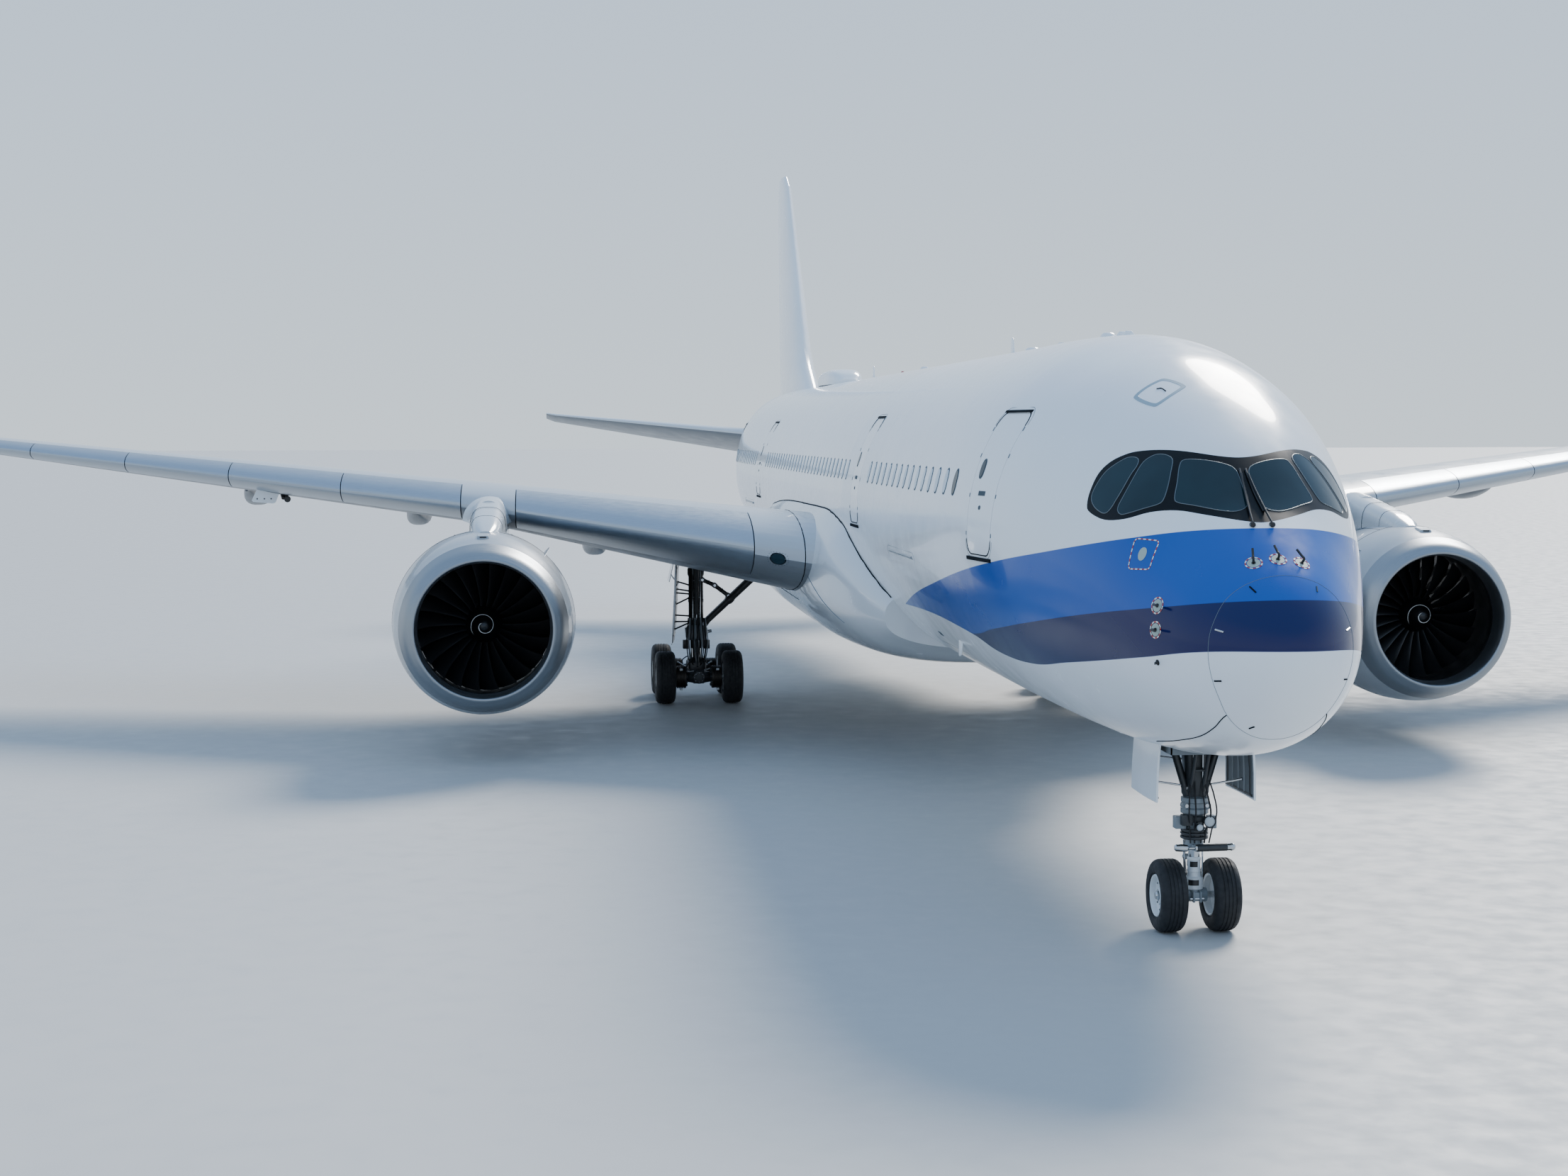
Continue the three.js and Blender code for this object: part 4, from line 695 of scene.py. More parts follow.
def tube_faces(path, radius, sides, closed):
    count = len(path)
    rings = []
    side = None
    for i, p in enumerate(path):
        before = path[i - 1] if i or closed else path[0]
        after = path[(i + 1) % count] if i < count - 1 or closed else path[-1]
        along = (after - before).normalized()
        if side is None:
            side = along.orthogonal().normalized()
        side = (side - along * side.dot(along)).normalized()
        other = along.cross(side)
        wide = radius[i] if isinstance(radius, (list, tuple)) else radius
        rings.append([p + wide * (u * side + v * other) for v, u in oval(sides)])
    if not closed:
        return loft_faces(rings)
    points, faces = loft_faces(rings, caps=False)
    last = (count - 1) * sides
    for k in range(sides):
        j = (k + 1) % sides
        faces.append([last + k, last + j, j, k])
    return points, faces


def box_faces(low, high, bevel):
    low, high = Vector(low), Vector(high)
    work = bmesh.new()
    bmesh.ops.create_cube(work, size=1)
    for v in work.verts:
        v.co = Vector([low[k] + (v.co[k] + 0.5) * (high[k] - low[k]) for k in range(3)])
    if bevel:
        bmesh.ops.bevel(work, geom=work.edges[:], offset=bevel, segments=2, affect="EDGES",
                        profile=0.5)
    work.verts.index_update()
    points = [v.co.copy() for v in work.verts]
    faces = [[v.index for v in f.verts] for f in work.faces]
    work.free()
    return points, faces


def loft_mesh(rings):
    points, faces = loft_faces(rings)
    mesh = bpy.data.meshes.new("solid")
    mesh.from_pydata(points, [], faces)
    outward(mesh)
    return mesh


def prism(outline, axis, low, high):
    """A prism whose outline lies across the axis, in the other two in X, station, Z order."""
    def at(u, v, w):
        return Vector({"x": (w, u, v), "y": (u, w, v), "z": (u, v, w)}[axis])
    return loft_mesh([[at(u, v, w) for u, v in outline] for w in (low, high)])


def combined(first, second, operation):
    """The boolean of two closed meshes."""
    objects = []
    for mesh in (first, second):
        obj = bpy.data.objects.new("solid", mesh)
        bpy.context.scene.collection.objects.link(obj)
        objects.append(obj)
    modifier = objects[0].modifiers.new("boolean", "BOOLEAN")
    modifier.operation = operation
    modifier.object = objects[1]
    modifier.solver = "MANIFOLD"
    graph = bpy.context.evaluated_depsgraph_get()
    result = bpy.data.meshes.new_from_object(objects[0].evaluated_get(graph))
    for obj in objects:
        bpy.data.objects.remove(obj)
    return result


def cut(mesh, *cutters):
    for cutter in cutters:
        mesh = combined(mesh, cutter, "DIFFERENCE")
    return mesh


def common(mesh, *others):
    for other in others:
        mesh = combined(mesh, other, "INTERSECT")
    return mesh


def mirror(mesh):
    copy = mesh.copy()
    copy.transform(Matrix.Scale(-1, 4, (1, 0, 0)))
    copy.flip_normals()
    return copy


def on_side(side, mesh):
    """A copy of a port side mesh for either side."""
    return mesh.copy() if side == PORT else mirror(mesh)


def rectangle(u0, u1, v0, v1):
    return [(u0, v0), (u1, v0), (u1, v1), (u0, v1)]


def largest(mesh):
    """The largest of a mesh's loose parts."""
    work = bmesh.new()
    work.from_mesh(mesh)
    unseen = set(work.verts)
    best = set()
    while unseen:
        stack = [unseen.pop()]
        group = set(stack)
        while stack:
            for edge in stack.pop().link_edges:
                for v in edge.verts:
                    if v in unseen:
                        unseen.discard(v)
                        group.add(v)
                        stack.append(v)
        if len(group) > len(best):
            best = group
    bmesh.ops.delete(work, geom=[v for v in work.verts if v not in best], context="VERTS")
    result = bpy.data.meshes.new("solid")
    work.to_mesh(result)
    work.free()
    return result


class Skin:
    """A smooth closed mesh whose normals its cut pieces keep."""

    def __init__(self, mesh):
        self.mesh = mesh
        mesh.calc_loop_triangles()
        self.tris = [tuple(t.vertices) for t in mesh.loop_triangles]
        points = [v.co.copy() for v in mesh.vertices]
        self.points = points
        for polygon in mesh.polygons:
            polygon.use_smooth = len(polygon.vertices) <= 4
        self.normals = [Vector((0, 0, 0)) for _ in points]
        for polygon in mesh.polygons:
            if len(polygon.vertices) > 4:
                continue
            for i in polygon.vertices:
                self.normals[i] += polygon.normal * polygon.area
        for n in self.normals:
            n.normalize()
        self.tree = BVHTree.FromPolygons(points, self.tris)

    def normal(self, place, facing):
        where, flat, index, distance = self.tree.find_nearest(place)
        if distance is None or distance > NEAR_SKIN or flat.dot(facing) < ALONG_SKIN:
            return None
        corners = self.tris[index]
        a, b, c = (self.points[i] for i in corners)
        area = (b - a).cross(c - a)
        size = area.length_squared
        if size < 1e-16:
            return None
        weights = (
            (c - b).cross(where - b).dot(area) / size,
            (a - c).cross(where - c).dot(area) / size,
            (b - a).cross(where - a).dot(area) / size,
        )
        total = Vector((0, 0, 0))
        for weight, i in zip(weights, corners):
            total += weight * self.normals[i]
        if total.length < 1e-6 or total.normalized().dot(facing) < 0.5:
            return None
        return total.normalized()


def smooth(mesh, skins, angle):
    """Smooth shading between sharp edges. Faces cut from a skin keep its normals."""
    mesh.polygons.foreach_set("use_smooth", [True] * len(mesh.polygons))
    mesh.set_sharp_from_angle(angle=math.radians(angle))
    if not skins:
        return
    corner = [Vector(n.vector) for n in mesh.corner_normals]
    for polygon in mesh.polygons:
        facing = polygon.normal.copy()
        for loop in polygon.loop_indices:
            place = mesh.vertices[mesh.loops[loop].vertex_index].co
            for skin in skins:
                found = skin.normal(place, facing)
                if found:
                    corner[loop] = found
                    break
            else:
                corner[loop] = facing
    mesh.normals_split_custom_set(corner)


def piece(name, source, key=None, body="airframe", replaces=(), skins=(),
          angle=SHARP_ANGLE, under=None):
    """Turns a mesh or a Build, in real metres, into a finished piece of the part."""
    mesh = source.make() if isinstance(source, Build) else source
    if key:
        mesh.materials.clear()
        mesh.materials.append(MATERIALS[key])
    if under:
        # Downward faces take the darker grey of painted shade under the surface.
        mesh.materials.append(MATERIALS[under])
        for polygon in mesh.polygons:
            below = polygon.normal.z < DOWNWARD and abs(polygon.center.x) < WINGLET_START
            polygon.material_index = 1 if below else 0
    smooth(mesh, skins, angle)
    mesh.transform(TO_ROW)
    mesh.name = name
    obj = bpy.data.objects.new(name, mesh)
    bpy.context.scene.collection.objects.link(obj)
    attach(obj, body)
    if replaces:
        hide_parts(*replaces)
    return obj


# Curves and outlines.

def row_curve(rows, column):
    """A monotone curve through rows, against the square root of the first column."""
    x = [math.sqrt(row[0]) for row in rows]
    y = [row[column] for row in rows]
    slope = [(y[i + 1] - y[i]) / (x[i + 1] - x[i]) for i in range(len(x) - 1)]
    tangent = []
    for i in range(len(x)):
        if i == 0 or i == len(x) - 1:
            tangent.append(slope[min(i, len(slope) - 1)])
        elif slope[i - 1] * slope[i] <= 0:
            tangent.append(0)
        else:
            before, after = x[i] - x[i - 1], x[i + 1] - x[i]
            first, second = 2 * after + before, after + 2 * before
            tangent.append((first + second) / (first / slope[i - 1] + second / slope[i]))

    def value(station):
        at = math.sqrt(max(station, 0))
        i = 0
        while i < len(x) - 2 and at > x[i + 1]:
            i += 1
        width = x[i + 1] - x[i]
        t = (at - x[i]) / width
        start = y[i] * (1 + 2 * t) * (1 - t) ** 2 + tangent[i] * width * t * (1 - t) ** 2
        end = y[i + 1] * t * t * (3 - 2 * t) + tangent[i + 1] * width * t * t * (t - 1)
        return start + end

    return value


def blend(a, b, c, d, t):
    """A smooth curve's value between b and c, with a before and d after them."""
    return 0.5 * ((2 * b) + (c - a) * t + (2 * a - 5 * b + 4 * c - d) * t**2
                  + (3 * b - a - 3 * c + d) * t**3)


def closed_curve(points, steps=4):
    """A closed smooth curve through points."""
    count = len(points)
    result = []
    for i in range(count):
        corners = [Vector(points[(i + k - 1) % count]) for k in range(4)]
        result += [blend(*corners, j / steps) for j in range(steps)]
    return result


def open_curve(points, steps=6):
    """An open smooth curve through points."""
    points = [Vector(p) for p in points]
    padded = [2 * points[0] - points[1], *points, 2 * points[-1] - points[-2]]
    result = []
    for i in range(len(points) - 1):
        result += [blend(*padded[i:i + 4], j / steps) for j in range(steps)]
    return result + [points[-1]]


def rounded(u0, u1, v0, v1, radius, steps=8):
    outline = []
    corners = [
        (u1 - radius, v1 - radius, 0),
        (u0 + radius, v1 - radius, 1),
        (u0 + radius, v0 + radius, 2),
        (u1 - radius, v0 + radius, 3),
    ]
    for u, v, quarter in corners:
        for i in range(steps + 1):
            angle = (quarter + i / steps) * math.pi / 2
            outline.append((u + radius * math.cos(angle), v + radius * math.sin(angle)))
    return outline


# Fuselage.

# A ring narrower than this is one point, and rings stand further apart than the gap.
POINTED = 0.004
RING_GAP = 0.01
NORMAL_STEP = 0.01
# Stations between which the cockpit's black band lies, and its depth in the skin.
MASK_STATIONS = (1.16, 4.2)
MASK_DEPTH = 0.06
# Doors reach through the side between these X, and are cut from this far ahead and aft.
SIDE_REACH = (0.6, 4)
DOOR_MARGIN = 0.4
DOOR_GAP = 0.014
DOOR_THICKNESS = 0.09
DOOR_RECESS = 0.1
CARGO_THICKNESS = 0.12
CARGO_RECESS = 0.17
CARGO_CORNER = 0.12
CARGO_HINGE_RADIUS = 0.03
CARGO_FRAMES = 9

crown_at = row_curve(FUSELAGE, 1)
keel_at = row_curve(FUSELAGE, 2)
half_width_at = row_curve(FUSELAGE, 3)


def section_at(station, grow=0.0):
    """Half width, middle height and half height of the fuselage at a station."""
    crown, keel = crown_at(station), keel_at(station)
    return half_width_at(station) + grow, (crown + keel) / 2, (crown - keel) / 2 + grow


def skin_ring(station, grow=0.0):
    half_width, middle, half_height = section_at(station, grow)
    if half_width < POINTED:
        return [Vector((0, station, middle))]
    return [Vector((half_width * across, station, middle + half_height * upward))
            for across, upward in oval(SKIN_SIDES)]


def skin_stations():
    """Stations of the skin's rings, close together where the nose and tail curve."""
    stations = [(0.035 * i) ** 2 for i in range(76)]
    for first, step, count in ((7, 0.5, 13), (14, 2, 16), (45, 0.75, 27)):
        stations += [first + step * i for i in range(count)]
    return stations + [s for _, start, end in SECTIONS for s in (start, end)]


STATIONS = sorted(set(skin_stations()))


def skin_solid(start, end, grow=0.0):
    between = [s for s in STATIONS if start + RING_GAP < s < end - RING_GAP]
    return loft_mesh([skin_ring(s, grow) for s in [start, *between, end]])


def skin_x(station, z, grow=0.0):
    half_width, middle, half_height = section_at(station, grow)
    share = min(1, abs((z - middle) / half_height))
    return half_width * math.sqrt(1 - share**2)


def side_point(side, station, z, grow=0.0):
    """A point of the skin seen from the side."""
    return Vector((side * skin_x(station, z, grow), station, z))


def front_point(x, z, grow=0.0):
    """A point of the skin seen from the front."""
    low, high = 0.001, 12
    for _ in range(40):
        station = (low + high) / 2
        half_width, middle, half_height = section_at(station, grow)
        if (x / half_width) ** 2 + ((z - middle) / half_height) ** 2 > 1:
            low = station
        else:
            high = station
    return Vector((x, station, z))


def skin_normal(p):
    """The skin's outward direction at a point of it."""
    def level(station):
        half_width, middle, half_height = section_at(station)
        return (p.x / half_width) ** 2 + ((p.z - middle) / half_height) ** 2

    ahead = min(NORMAL_STEP, p.y * 0.5)
    slope = (level(p.y + NORMAL_STEP) - level(p.y - ahead)) / (NORMAL_STEP + ahead)
    half_width, middle, half_height = section_at(p.y)
    return Vector((2 * p.x / half_width**2, slope, 2 * (p.z - middle) / half_height**2)).normalized()


WHOLE_SKIN = Skin(skin_solid(0, FUSELAGE[-1][0]))


def build_fuselage():
    meshes = {name: skin_solid(start, end) for name, start, end in SECTIONS}

    def cut_at(station, cutter):
        name = next(n for n, start, end in SECTIONS if start < station < end)
        meshes[name] = cut(meshes[name], cutter)

    band = WINDOW_BAND + [(-x, z) for x, z in reversed(WINDOW_BAND[1:-1])]
    band_prism = prism([(p.x, p.y) for p in closed_curve(band)], "y", *MASK_STATIONS)
    recess = largest(cut(band_prism, skin_solid(0.4, 6, -MASK_DEPTH)))
    mask = common(recess, skin_solid(MASK_STATIONS[0], 5))
    cut_at(MASK_STATIONS[1], recess)
    piece("cockpit_mask", largest(mask), "mask", replaces=["cockpit_windows"],
          skins=[WHOLE_SKIN])
    for index, station in enumerate(DOOR_STATIONS):
        build_door(index + 1, station, cut_at)
    for name, fore, aft in CARGO_DOORS:
        build_cargo_door(name, fore, aft, cut_at)
    low, high = NOSE_BAY
    cut_at(high[1], prism(rectangle(low[0], high[0], low[1], high[1]), "z", low[2], high[2]))
    for name, mesh in meshes.items():
        key = "livery" if name in ("radome", "nose_section", "forward_fuselage") else "white"
        piece(name + "_skin", mesh, key, replaces=[name], skins=[WHOLE_SKIN])


def side_door(fore, aft, outline, leaf_outline, thickness, recess):
    """A port side door's leaf and the pocket that it leaves in the skin."""
    start, end = fore - DOOR_MARGIN, aft + DOOR_MARGIN
    pocket = cut(prism(outline, "x", *SIDE_REACH), skin_solid(start, end, -recess))
    leaf = cut(prism(leaf_outline, "x", *SIDE_REACH), skin_solid(start, end, -thickness))
    return common(leaf, skin_solid(start, end)), pocket


def build_door(number, station, cut_at):
    fore, aft = station - DOOR_WIDTH / 2, station + DOOR_WIDTH / 2
    outline = rounded(fore - DOOR_GAP, aft + DOOR_GAP, DOOR_SILL - DOOR_GAP, DOOR_HEAD + DOOR_GAP,
                      DOOR_CORNER + DOOR_GAP)
    leaf_outline = rounded(fore, aft, DOOR_SILL, DOOR_HEAD, DOOR_CORNER)
    leaf, pocket = side_door(fore, aft, outline, leaf_outline, DOOR_THICKNESS, DOOR_RECESS)
    key = "livery" if number == 1 else "white"
    for side, suffix in SIDES:
        cut_at(station, on_side(side, pocket))
        piece(f"door_{number}_{suffix}_leaf", on_side(side, leaf), key,
              replaces=[f"door_{number}_{suffix}"], skins=[WHOLE_SKIN])
        build_door_trim(number, side, suffix, fore, aft)


def skin_line(build, side, outline, radius, key, depth=0.0, closed=True):
    """A thin line along the skin, through side view points."""
    path = [side_point(side, station, z, -depth) for station, z in outline]
    build.tube(path, radius, key, sides=6, closed=closed)


def build_door_trim(number, side, suffix, fore, aft):
    trim = Build()
    window = (aft - 0.27, 6.6)
    skin_disc(trim, side, *window, 0.105, 0.16, 0.004, "gasket")
    skin_disc(trim, side, *window, 0.08, 0.13, 0.008, "dark_pane")
    for out, below, corner, radius, key, depth in ((0.007, 0.007, 0.007, 0.0125, "seam", 0.004),
                                                   (0.07, 0.06, 0.06, 0.006, "panel_line", 0.003)):
        edge = rounded(fore - out, aft + out, DOOR_SILL - below, DOOR_HEAD + out,
                       DOOR_CORNER + corner, 10)
        skin_line(trim, side, edge, radius, key, depth)
    sill, head, handle = DOOR_SILL - 0.1, DOOR_HEAD - 0.004, 6.2
    trim.add(*skin_band(side, fore - 0.02, aft + 0.02, sill, DOOR_SILL - 0.045, 0.022), "seam")
    trim.add(*skin_band(side, fore + 0.08, aft - 0.05, head, DOOR_HEAD + 0.035, 0.02), "seam")
    trim.add(*skin_band(side, fore + 0.42, fore + 0.7, handle, handle + 0.07, 0.006), "gasket")
    skin_disc(trim, side, fore + 0.56, 6.02, 0.05, 0.035, 0.005, "gasket", power=2)
    for z in (5.62, 6.2, 6.8, 7.2):
        for station in (fore - 0.035, aft + 0.035):
            stop = skin_band(side, station - 0.012, station + 0.012, z - 0.03, z + 0.03, 0.005, 2)
            trim.add(*stop, "panel_line")
    piece(f"door_{number}_{suffix}_trim", trim)


def skin_band(side, fore, aft, low, high, proud, steps=8):
    """A thin plate that lies along the skin, with its faces."""
    points = []
    for layer in (-0.02, proud):
        for i in range(steps + 1):
            station = fore + (aft - fore) * i / steps
            points += [side_point(side, station, z, layer) for z in (low, (low + high) / 2, high)]
    faces = []
    row = 3
    top = row * (steps + 1)
    for i in range(steps):
        for a in (i * row, i * row + 1):
            faces.append([top + a, top + a + row, top + a + row + 1, top + a + 1])
        for a in (i * row, i * row + 2):
            faces.append([a, a + row, top + a + row, top + a])
    for a in (0, 1, steps * row, steps * row + 1):
        faces.append([a, a + 1, top + a + 1, top + a])
    return points, faces


def skin_disc(build, side, station, z, half_width, half_height, proud, key, power=2.4, sides=28):
    """An oval plate on the skin, domed with it."""
    points = [side_point(side, station, z, proud)]
    for share, layer in ((0.5, proud), (0.94, proud), (1.0, -0.01)):
        points += [side_point(side, station + half_width * share * along,
                              z + half_height * share * upward, layer)
                   for upward, along in oval(sides, power)]
    faces = []
    for i in range(sides):
        j = (i + 1) % sides
        faces.append([0, 1 + i, 1 + j])
        for a in (1, 1 + sides):
            faces.append([a + i, a + sides + i, a + sides + j, a + j])
    build.add(points, faces, key)


def build_cargo_door(name, fore, aft, cut_at):
    hinge_z = CARGO_HEAD + CARGO_HINGE_RADIUS
    hinge_x = skin_x(fore, hinge_z)
    outline = rounded(fore - RUNNING, aft + RUNNING, CARGO_SILL - RUNNING, CARGO_HEAD + RUNNING,
                      CARGO_CORNER)
    leaf_outline = rounded(fore, aft, CARGO_SILL, CARGO_HEAD, CARGO_CORNER)
    leaf, pocket = side_door(fore, aft, outline, leaf_outline, CARGO_THICKNESS, CARGO_RECESS)
    middle = (fore + aft) / 2
    cut_at(middle, mirror(pocket))
    key = "livery" if name == "forward" else "white"
    body = f"{name}_cargo_door"
    piece(f"cargo_door_{name}_leaf", mirror(leaf), key, body=body,
          replaces=[f"cargo_door_{name}"], skins=[WHOLE_SKIN])
    inner = Build()
    last = CARGO_FRAMES - 1
    for i in range(CARGO_FRAMES):
        station = fore + 0.3 + (aft - fore - 0.6) * i / last
        foot = CARGO_SILL + 0.12
        inner.tube([side_point(STARBOARD, station, foot + 1.4 * k / 8, -0.125) for k in range(9)],
                   0.022, "gear", sides=6)
    ends = (fore + CARGO_CORNER + 0.02, aft - CARGO_CORNER - 0.02)
    inner.tube([(-hinge_x, end, hinge_z) for end in ends], CARGO_HINGE_RADIUS * 0.9, "gear", sides=16)
    inner.add(*skin_band(STARBOARD, middle - 0.12, middle + 0.12, CARGO_SILL + 0.2,
                         CARGO_SILL + 0.27, 0.006), "gasket")
    piece(f"cargo_door_{name}_frames", inner, body=body)
    lines = Build()
    edge = rounded(fore - 0.006, aft + 0.006, CARGO_SILL - 0.006, CARGO_HEAD - 0.01, CARGO_CORNER, 6)
    skin_line(lines, STARBOARD, edge, 0.008, "seam", 0.03)
    around = rounded(fore - 0.1, aft + 0.1, CARGO_SILL - 0.1, CARGO_HEAD + 0.12, CARGO_CORNER + 0.05)
    skin_line(lines, STARBOARD, around, 0.005, "panel_line", 0.003)
    piece(f"cargo_door_{name}_seal", lines)


def build_cockpit():
    for side, suffix in SIDES:
        for pane, outline in PANES.items():
            curve = closed_curve([(side * x, z) for x, z in outline])
            pane_part = Build()
            rim = [front_point(p.x, p.y, 0.001) for p in curve]
            pane_part.tube(rim, 0.007, "rim", sides=8, closed=True)
            centre = Vector((sum(p.x for p in curve), sum(p.y for p in curve))) / len(curve)
            rings = [[front_point(*(centre + (p - centre) * share), PANE_PROUD) for p in curve]
                     for share in (1.0, 0.8, 0.6, 0.4, 0.2)]
            rings.append([front_point(*centre, PANE_PROUD)])
            pane_part.loft(rings, "pane", caps=False)
            piece(f"cockpit_{pane}_{suffix}", pane_part)
        build_wiper(side, suffix)


def build_wiper(side, suffix):
    wiper = Build()
    x, z = WIPER_FOOT
    foot = front_point(side * x, z, 0.02)
    arm = [front_point(side * (x - 0.085 * t), z + 0.645 * t, 0.05) for t in (0.05, 0.35, 0.7, 1)]
    wiper.tube(open_curve([foot, *arm]), 0.014, "black", sides=8)
    blade = [front_point(side * u, v, 0.02) for u, v in ((0.095, 6.12), (0.06, 6.36), (0.04, 6.66))]
    wiper.tube(open_curve(blade), 0.018, "black", sides=6)
    wiper.lathe([(0, -0.04), (0.035, -0.03), (0.035, 0.03), (0, 0.045)], "black",
                place=Matrix.Translation(foot), sides=16)
    piece(f"wiper_{suffix}", wiper)


def build_cabin_windows():
    half = (WINDOW_SIZE[0] / 2, WINDOW_SIZE[1] / 2)
    for side, suffix in SIDES:
        for row, (first, count) in enumerate(WINDOW_ROWS):
            windows = Build()
            for i in range(count):
                pane = "dark_pane" if (row, i) == UNSHADED else "cabin_pane"
                for grow, proud, key in ((0.012, 0.002, "panel_line"), (0, 0.005, "gasket"),
                                         (-0.02, 0.009, pane)):
                    skin_disc(windows, side, first + WINDOW_PITCH * i, WINDOW_CENTRE,
                              half[0] + grow, half[1] + grow, proud, key)
            piece(f"cabin_windows_{row + 1}_{suffix}", windows)


# Belly fairing and aerial fairing.

def build_belly_fairing():
    curves = [row_curve(BELLY_FAIRING, k) for k in (1, 2, 3)]
    first, last = BELLY_FAIRING[0][0], BELLY_FAIRING[-1][0]
    around = oval(96, FAIRING_POWER)
    rings = []
    steps = 60
    for i in range(steps + 1):
        station = first + (last - first) * i / steps
        half_width, keel, top = (curve(station) for curve in curves)
        rings.append([Vector((half_width * across, station,
                              (keel + top) / 2 + (top - keel) / 2 * upward))
                      for across, upward in around])
    piece("belly_fairing_skin", loft_mesh(rings), "fairing", replaces=["belly_fairing"])

    def fairing_x(station, z):
        half_width, keel, top = (curve(station) for curve in curves)
        share = abs(z - (keel + top) / 2) / ((top - keel) / 2)
        return half_width * max(0, 1 - share**FAIRING_POWER) ** (1 / FAIRING_POWER)

    edge = []
    for i in range(117):
        station = first + 0.1 + 0.2 * i
        z = curves[2](station)
        foot = keel_at(station) + 0.02
        while z >= foot and fairing_x(station, z) <= skin_x(station, z):
            z -= EDGE_STEP
        if z >= foot:
            edge.append((fairing_x(station, z) + 0.002, station, z))
    root = [(share, ROOT_SEAM_X) for share in (0.3, 0.24, 0.18, 0.12, 0.08, 0.05)]
    root_seam = ([wing_skins(x, share)[1] for share, x in root] + nose_of_wing(ROOT_SEAM_X)
                 + [wing_skins(x, share)[0] for share, x in reversed(root)])
    for side, suffix in SIDES:
        seams = Build()
        seams.tube([(side * x, y, z) for x, y, z in edge], 0.014, "seam", sides=6)
        seams.tube([(side * p.x, p.y, p.z) for p in root_seam], 0.012, "seam", sides=6)
        for start, end, low, high in PANEL_SEAMS:
            path = []
            for i in range(13):
                station, z = start + (end - start) * i / 12, low + (high - low) * i / 12
                path.append((side * (fairing_x(station, z) + 0.001), station, z))
            seams.tube(path, 0.008, "panel_line", sides=6)
        piece(f"belly_fairing_seams_{suffix}", seams)


def build_aerial_fairing():
    rings = []
    for p in open_curve(AERIAL_FAIRING, 5):
        crown = crown_at(p.x) - 0.03
        ring = []
        for k in range(33):
            across, upward = math.cos(math.pi * k / 32), math.sin(math.pi * k / 32)
            ring.append(Vector((p.y * math.copysign(abs(across) ** AERIAL_POWER, across), p.x,
                                crown + (p.z - crown) * upward**AERIAL_POWER)))
        rings.append(ring)
    piece("aerial_fairing", loft_mesh(rings), "white")


# Wing sections.

SECTION_STEPS = 30


def fractions():
    """Chord fractions from the trailing edge to the nose, close together near the nose."""
    return [(0.5 + 0.5 * math.cos(math.pi * i / SECTION_STEPS)) for i in range(SECTION_STEPS + 1)]


def half_thickness(f):
    curve = 0.2969 * math.sqrt(f) - 0.126 * f - 0.3516 * f**2 + 0.2843 * f**3
    return 5 * (curve - 0.1036 * f**4)


def section_loop(thickness, camber):
    def line(f):
        return 4 * camber * f * (1 - f)

    def half(f):
        return thickness * half_thickness(f) + BLUNT_EDGE * f

    shares = fractions()
    shares[-1] = 0.0
    upper = [(f, line(f) + half(f)) for f in shares]
    lower = [(f, line(f) - half(f)) for f in shares[:-1]]
    return upper + lower[::-1]


def wing_ring(row):
    x, leading, chord, z, incidence, thickness, cant = row
    tilt, lean = math.radians(incidence), math.radians(cant)
    ring = []
    for f, h in section_loop(thickness, WING_CAMBER):
        along = chord * (f * math.cos(tilt) + h * math.sin(tilt))
        rise = chord * (h * math.cos(tilt) - f * math.sin(tilt))
        ring.append(Vector((x - rise * math.sin(lean), leading + along, z + rise * math.cos(lean))))
    return ring


def fin_ring(row):
    z, leading, chord, thickness = row
    return [Vector((chord * h, leading + chord * f, z)) for f, h in section_loop(thickness, 0)]


def tailplane_ring(row):
    x, leading, chord, z, thickness = row
    tilt = math.radians(TAILPLANE_INCIDENCE)
    ring = []
    for f, h in section_loop(thickness, 0):
        along = chord * (f * math.cos(tilt) + h * math.sin(tilt))
        rise = chord * (h * math.cos(tilt) - f * math.sin(tilt))
        ring.append(Vector((x, leading + along, z + rise)))
    return ring


def skins_at(rows, ring_of, position, fraction):
    """Upper and lower skin points at a span position and chord fraction."""
    i = 0
    while i < len(rows) - 2 and position > rows[i + 1][0]:
        i += 1
    t = (position - rows[i][0]) / (rows[i + 1][0] - rows[i][0])
    near, far = ring_of(rows[i]), ring_of(rows[i + 1])
    ring = [a.lerp(b, t) for a, b in zip(near, far)]
    shares = fractions()
    k = 0
    while k < SECTION_STEPS - 1 and shares[k + 1] > fraction:
        k += 1
    share = (shares[k] - fraction) / (shares[k] - shares[k + 1])
    last = len(ring) - 1
    upper = ring[k].lerp(ring[k + 1], share)
    lower = ring[last - k].lerp(ring[last - k - 1], share)
    return upper, lower


def wing_skins(x, fraction):
    return skins_at(WING, wing_ring, x, fraction)


def fraction_at(x, station):
    nose = wing_skins(x, 0)[0].y
    tail = wing_skins(x, 1)[0].y
    return (station - nose) / (tail - nose)


def smooth_rows(rows, first, steps):
    """Rows with extra ones between those from an index on, along a smooth curve."""
    result = list(rows[:first])
    last = len(rows) - 1
    for i in range(first, last):
        four = rows[max(i - 1, 0)], rows[i], rows[i + 1], rows[min(i + 2, last)]
        result += [tuple(blend(*column, j / steps) for column in zip(*four)) for j in range(steps)]
    return result + [rows[-1]]


class Hinge:
    """A straight hinge line with the directions aft and across it."""

    def __init__(self, start, end):
        self.start = start
        self.end = end
        self.axis = (end - start).normalized()
        aft = Vector((0, 1, 0))
        self.aft = (aft - self.axis * self.axis.y).normalized()
        self.across = self.axis.cross(self.aft)
        self.length = (end - start).length

    def ring(self, distance, profile):
        base = self.start + self.axis * distance
        return [base + self.aft * u + self.across * v for u, v in profile]

    def space(self, profile_at, start, end):
        return loft_mesh([self.ring(start, profile_at(start)), self.ring(end, profile_at(end))])


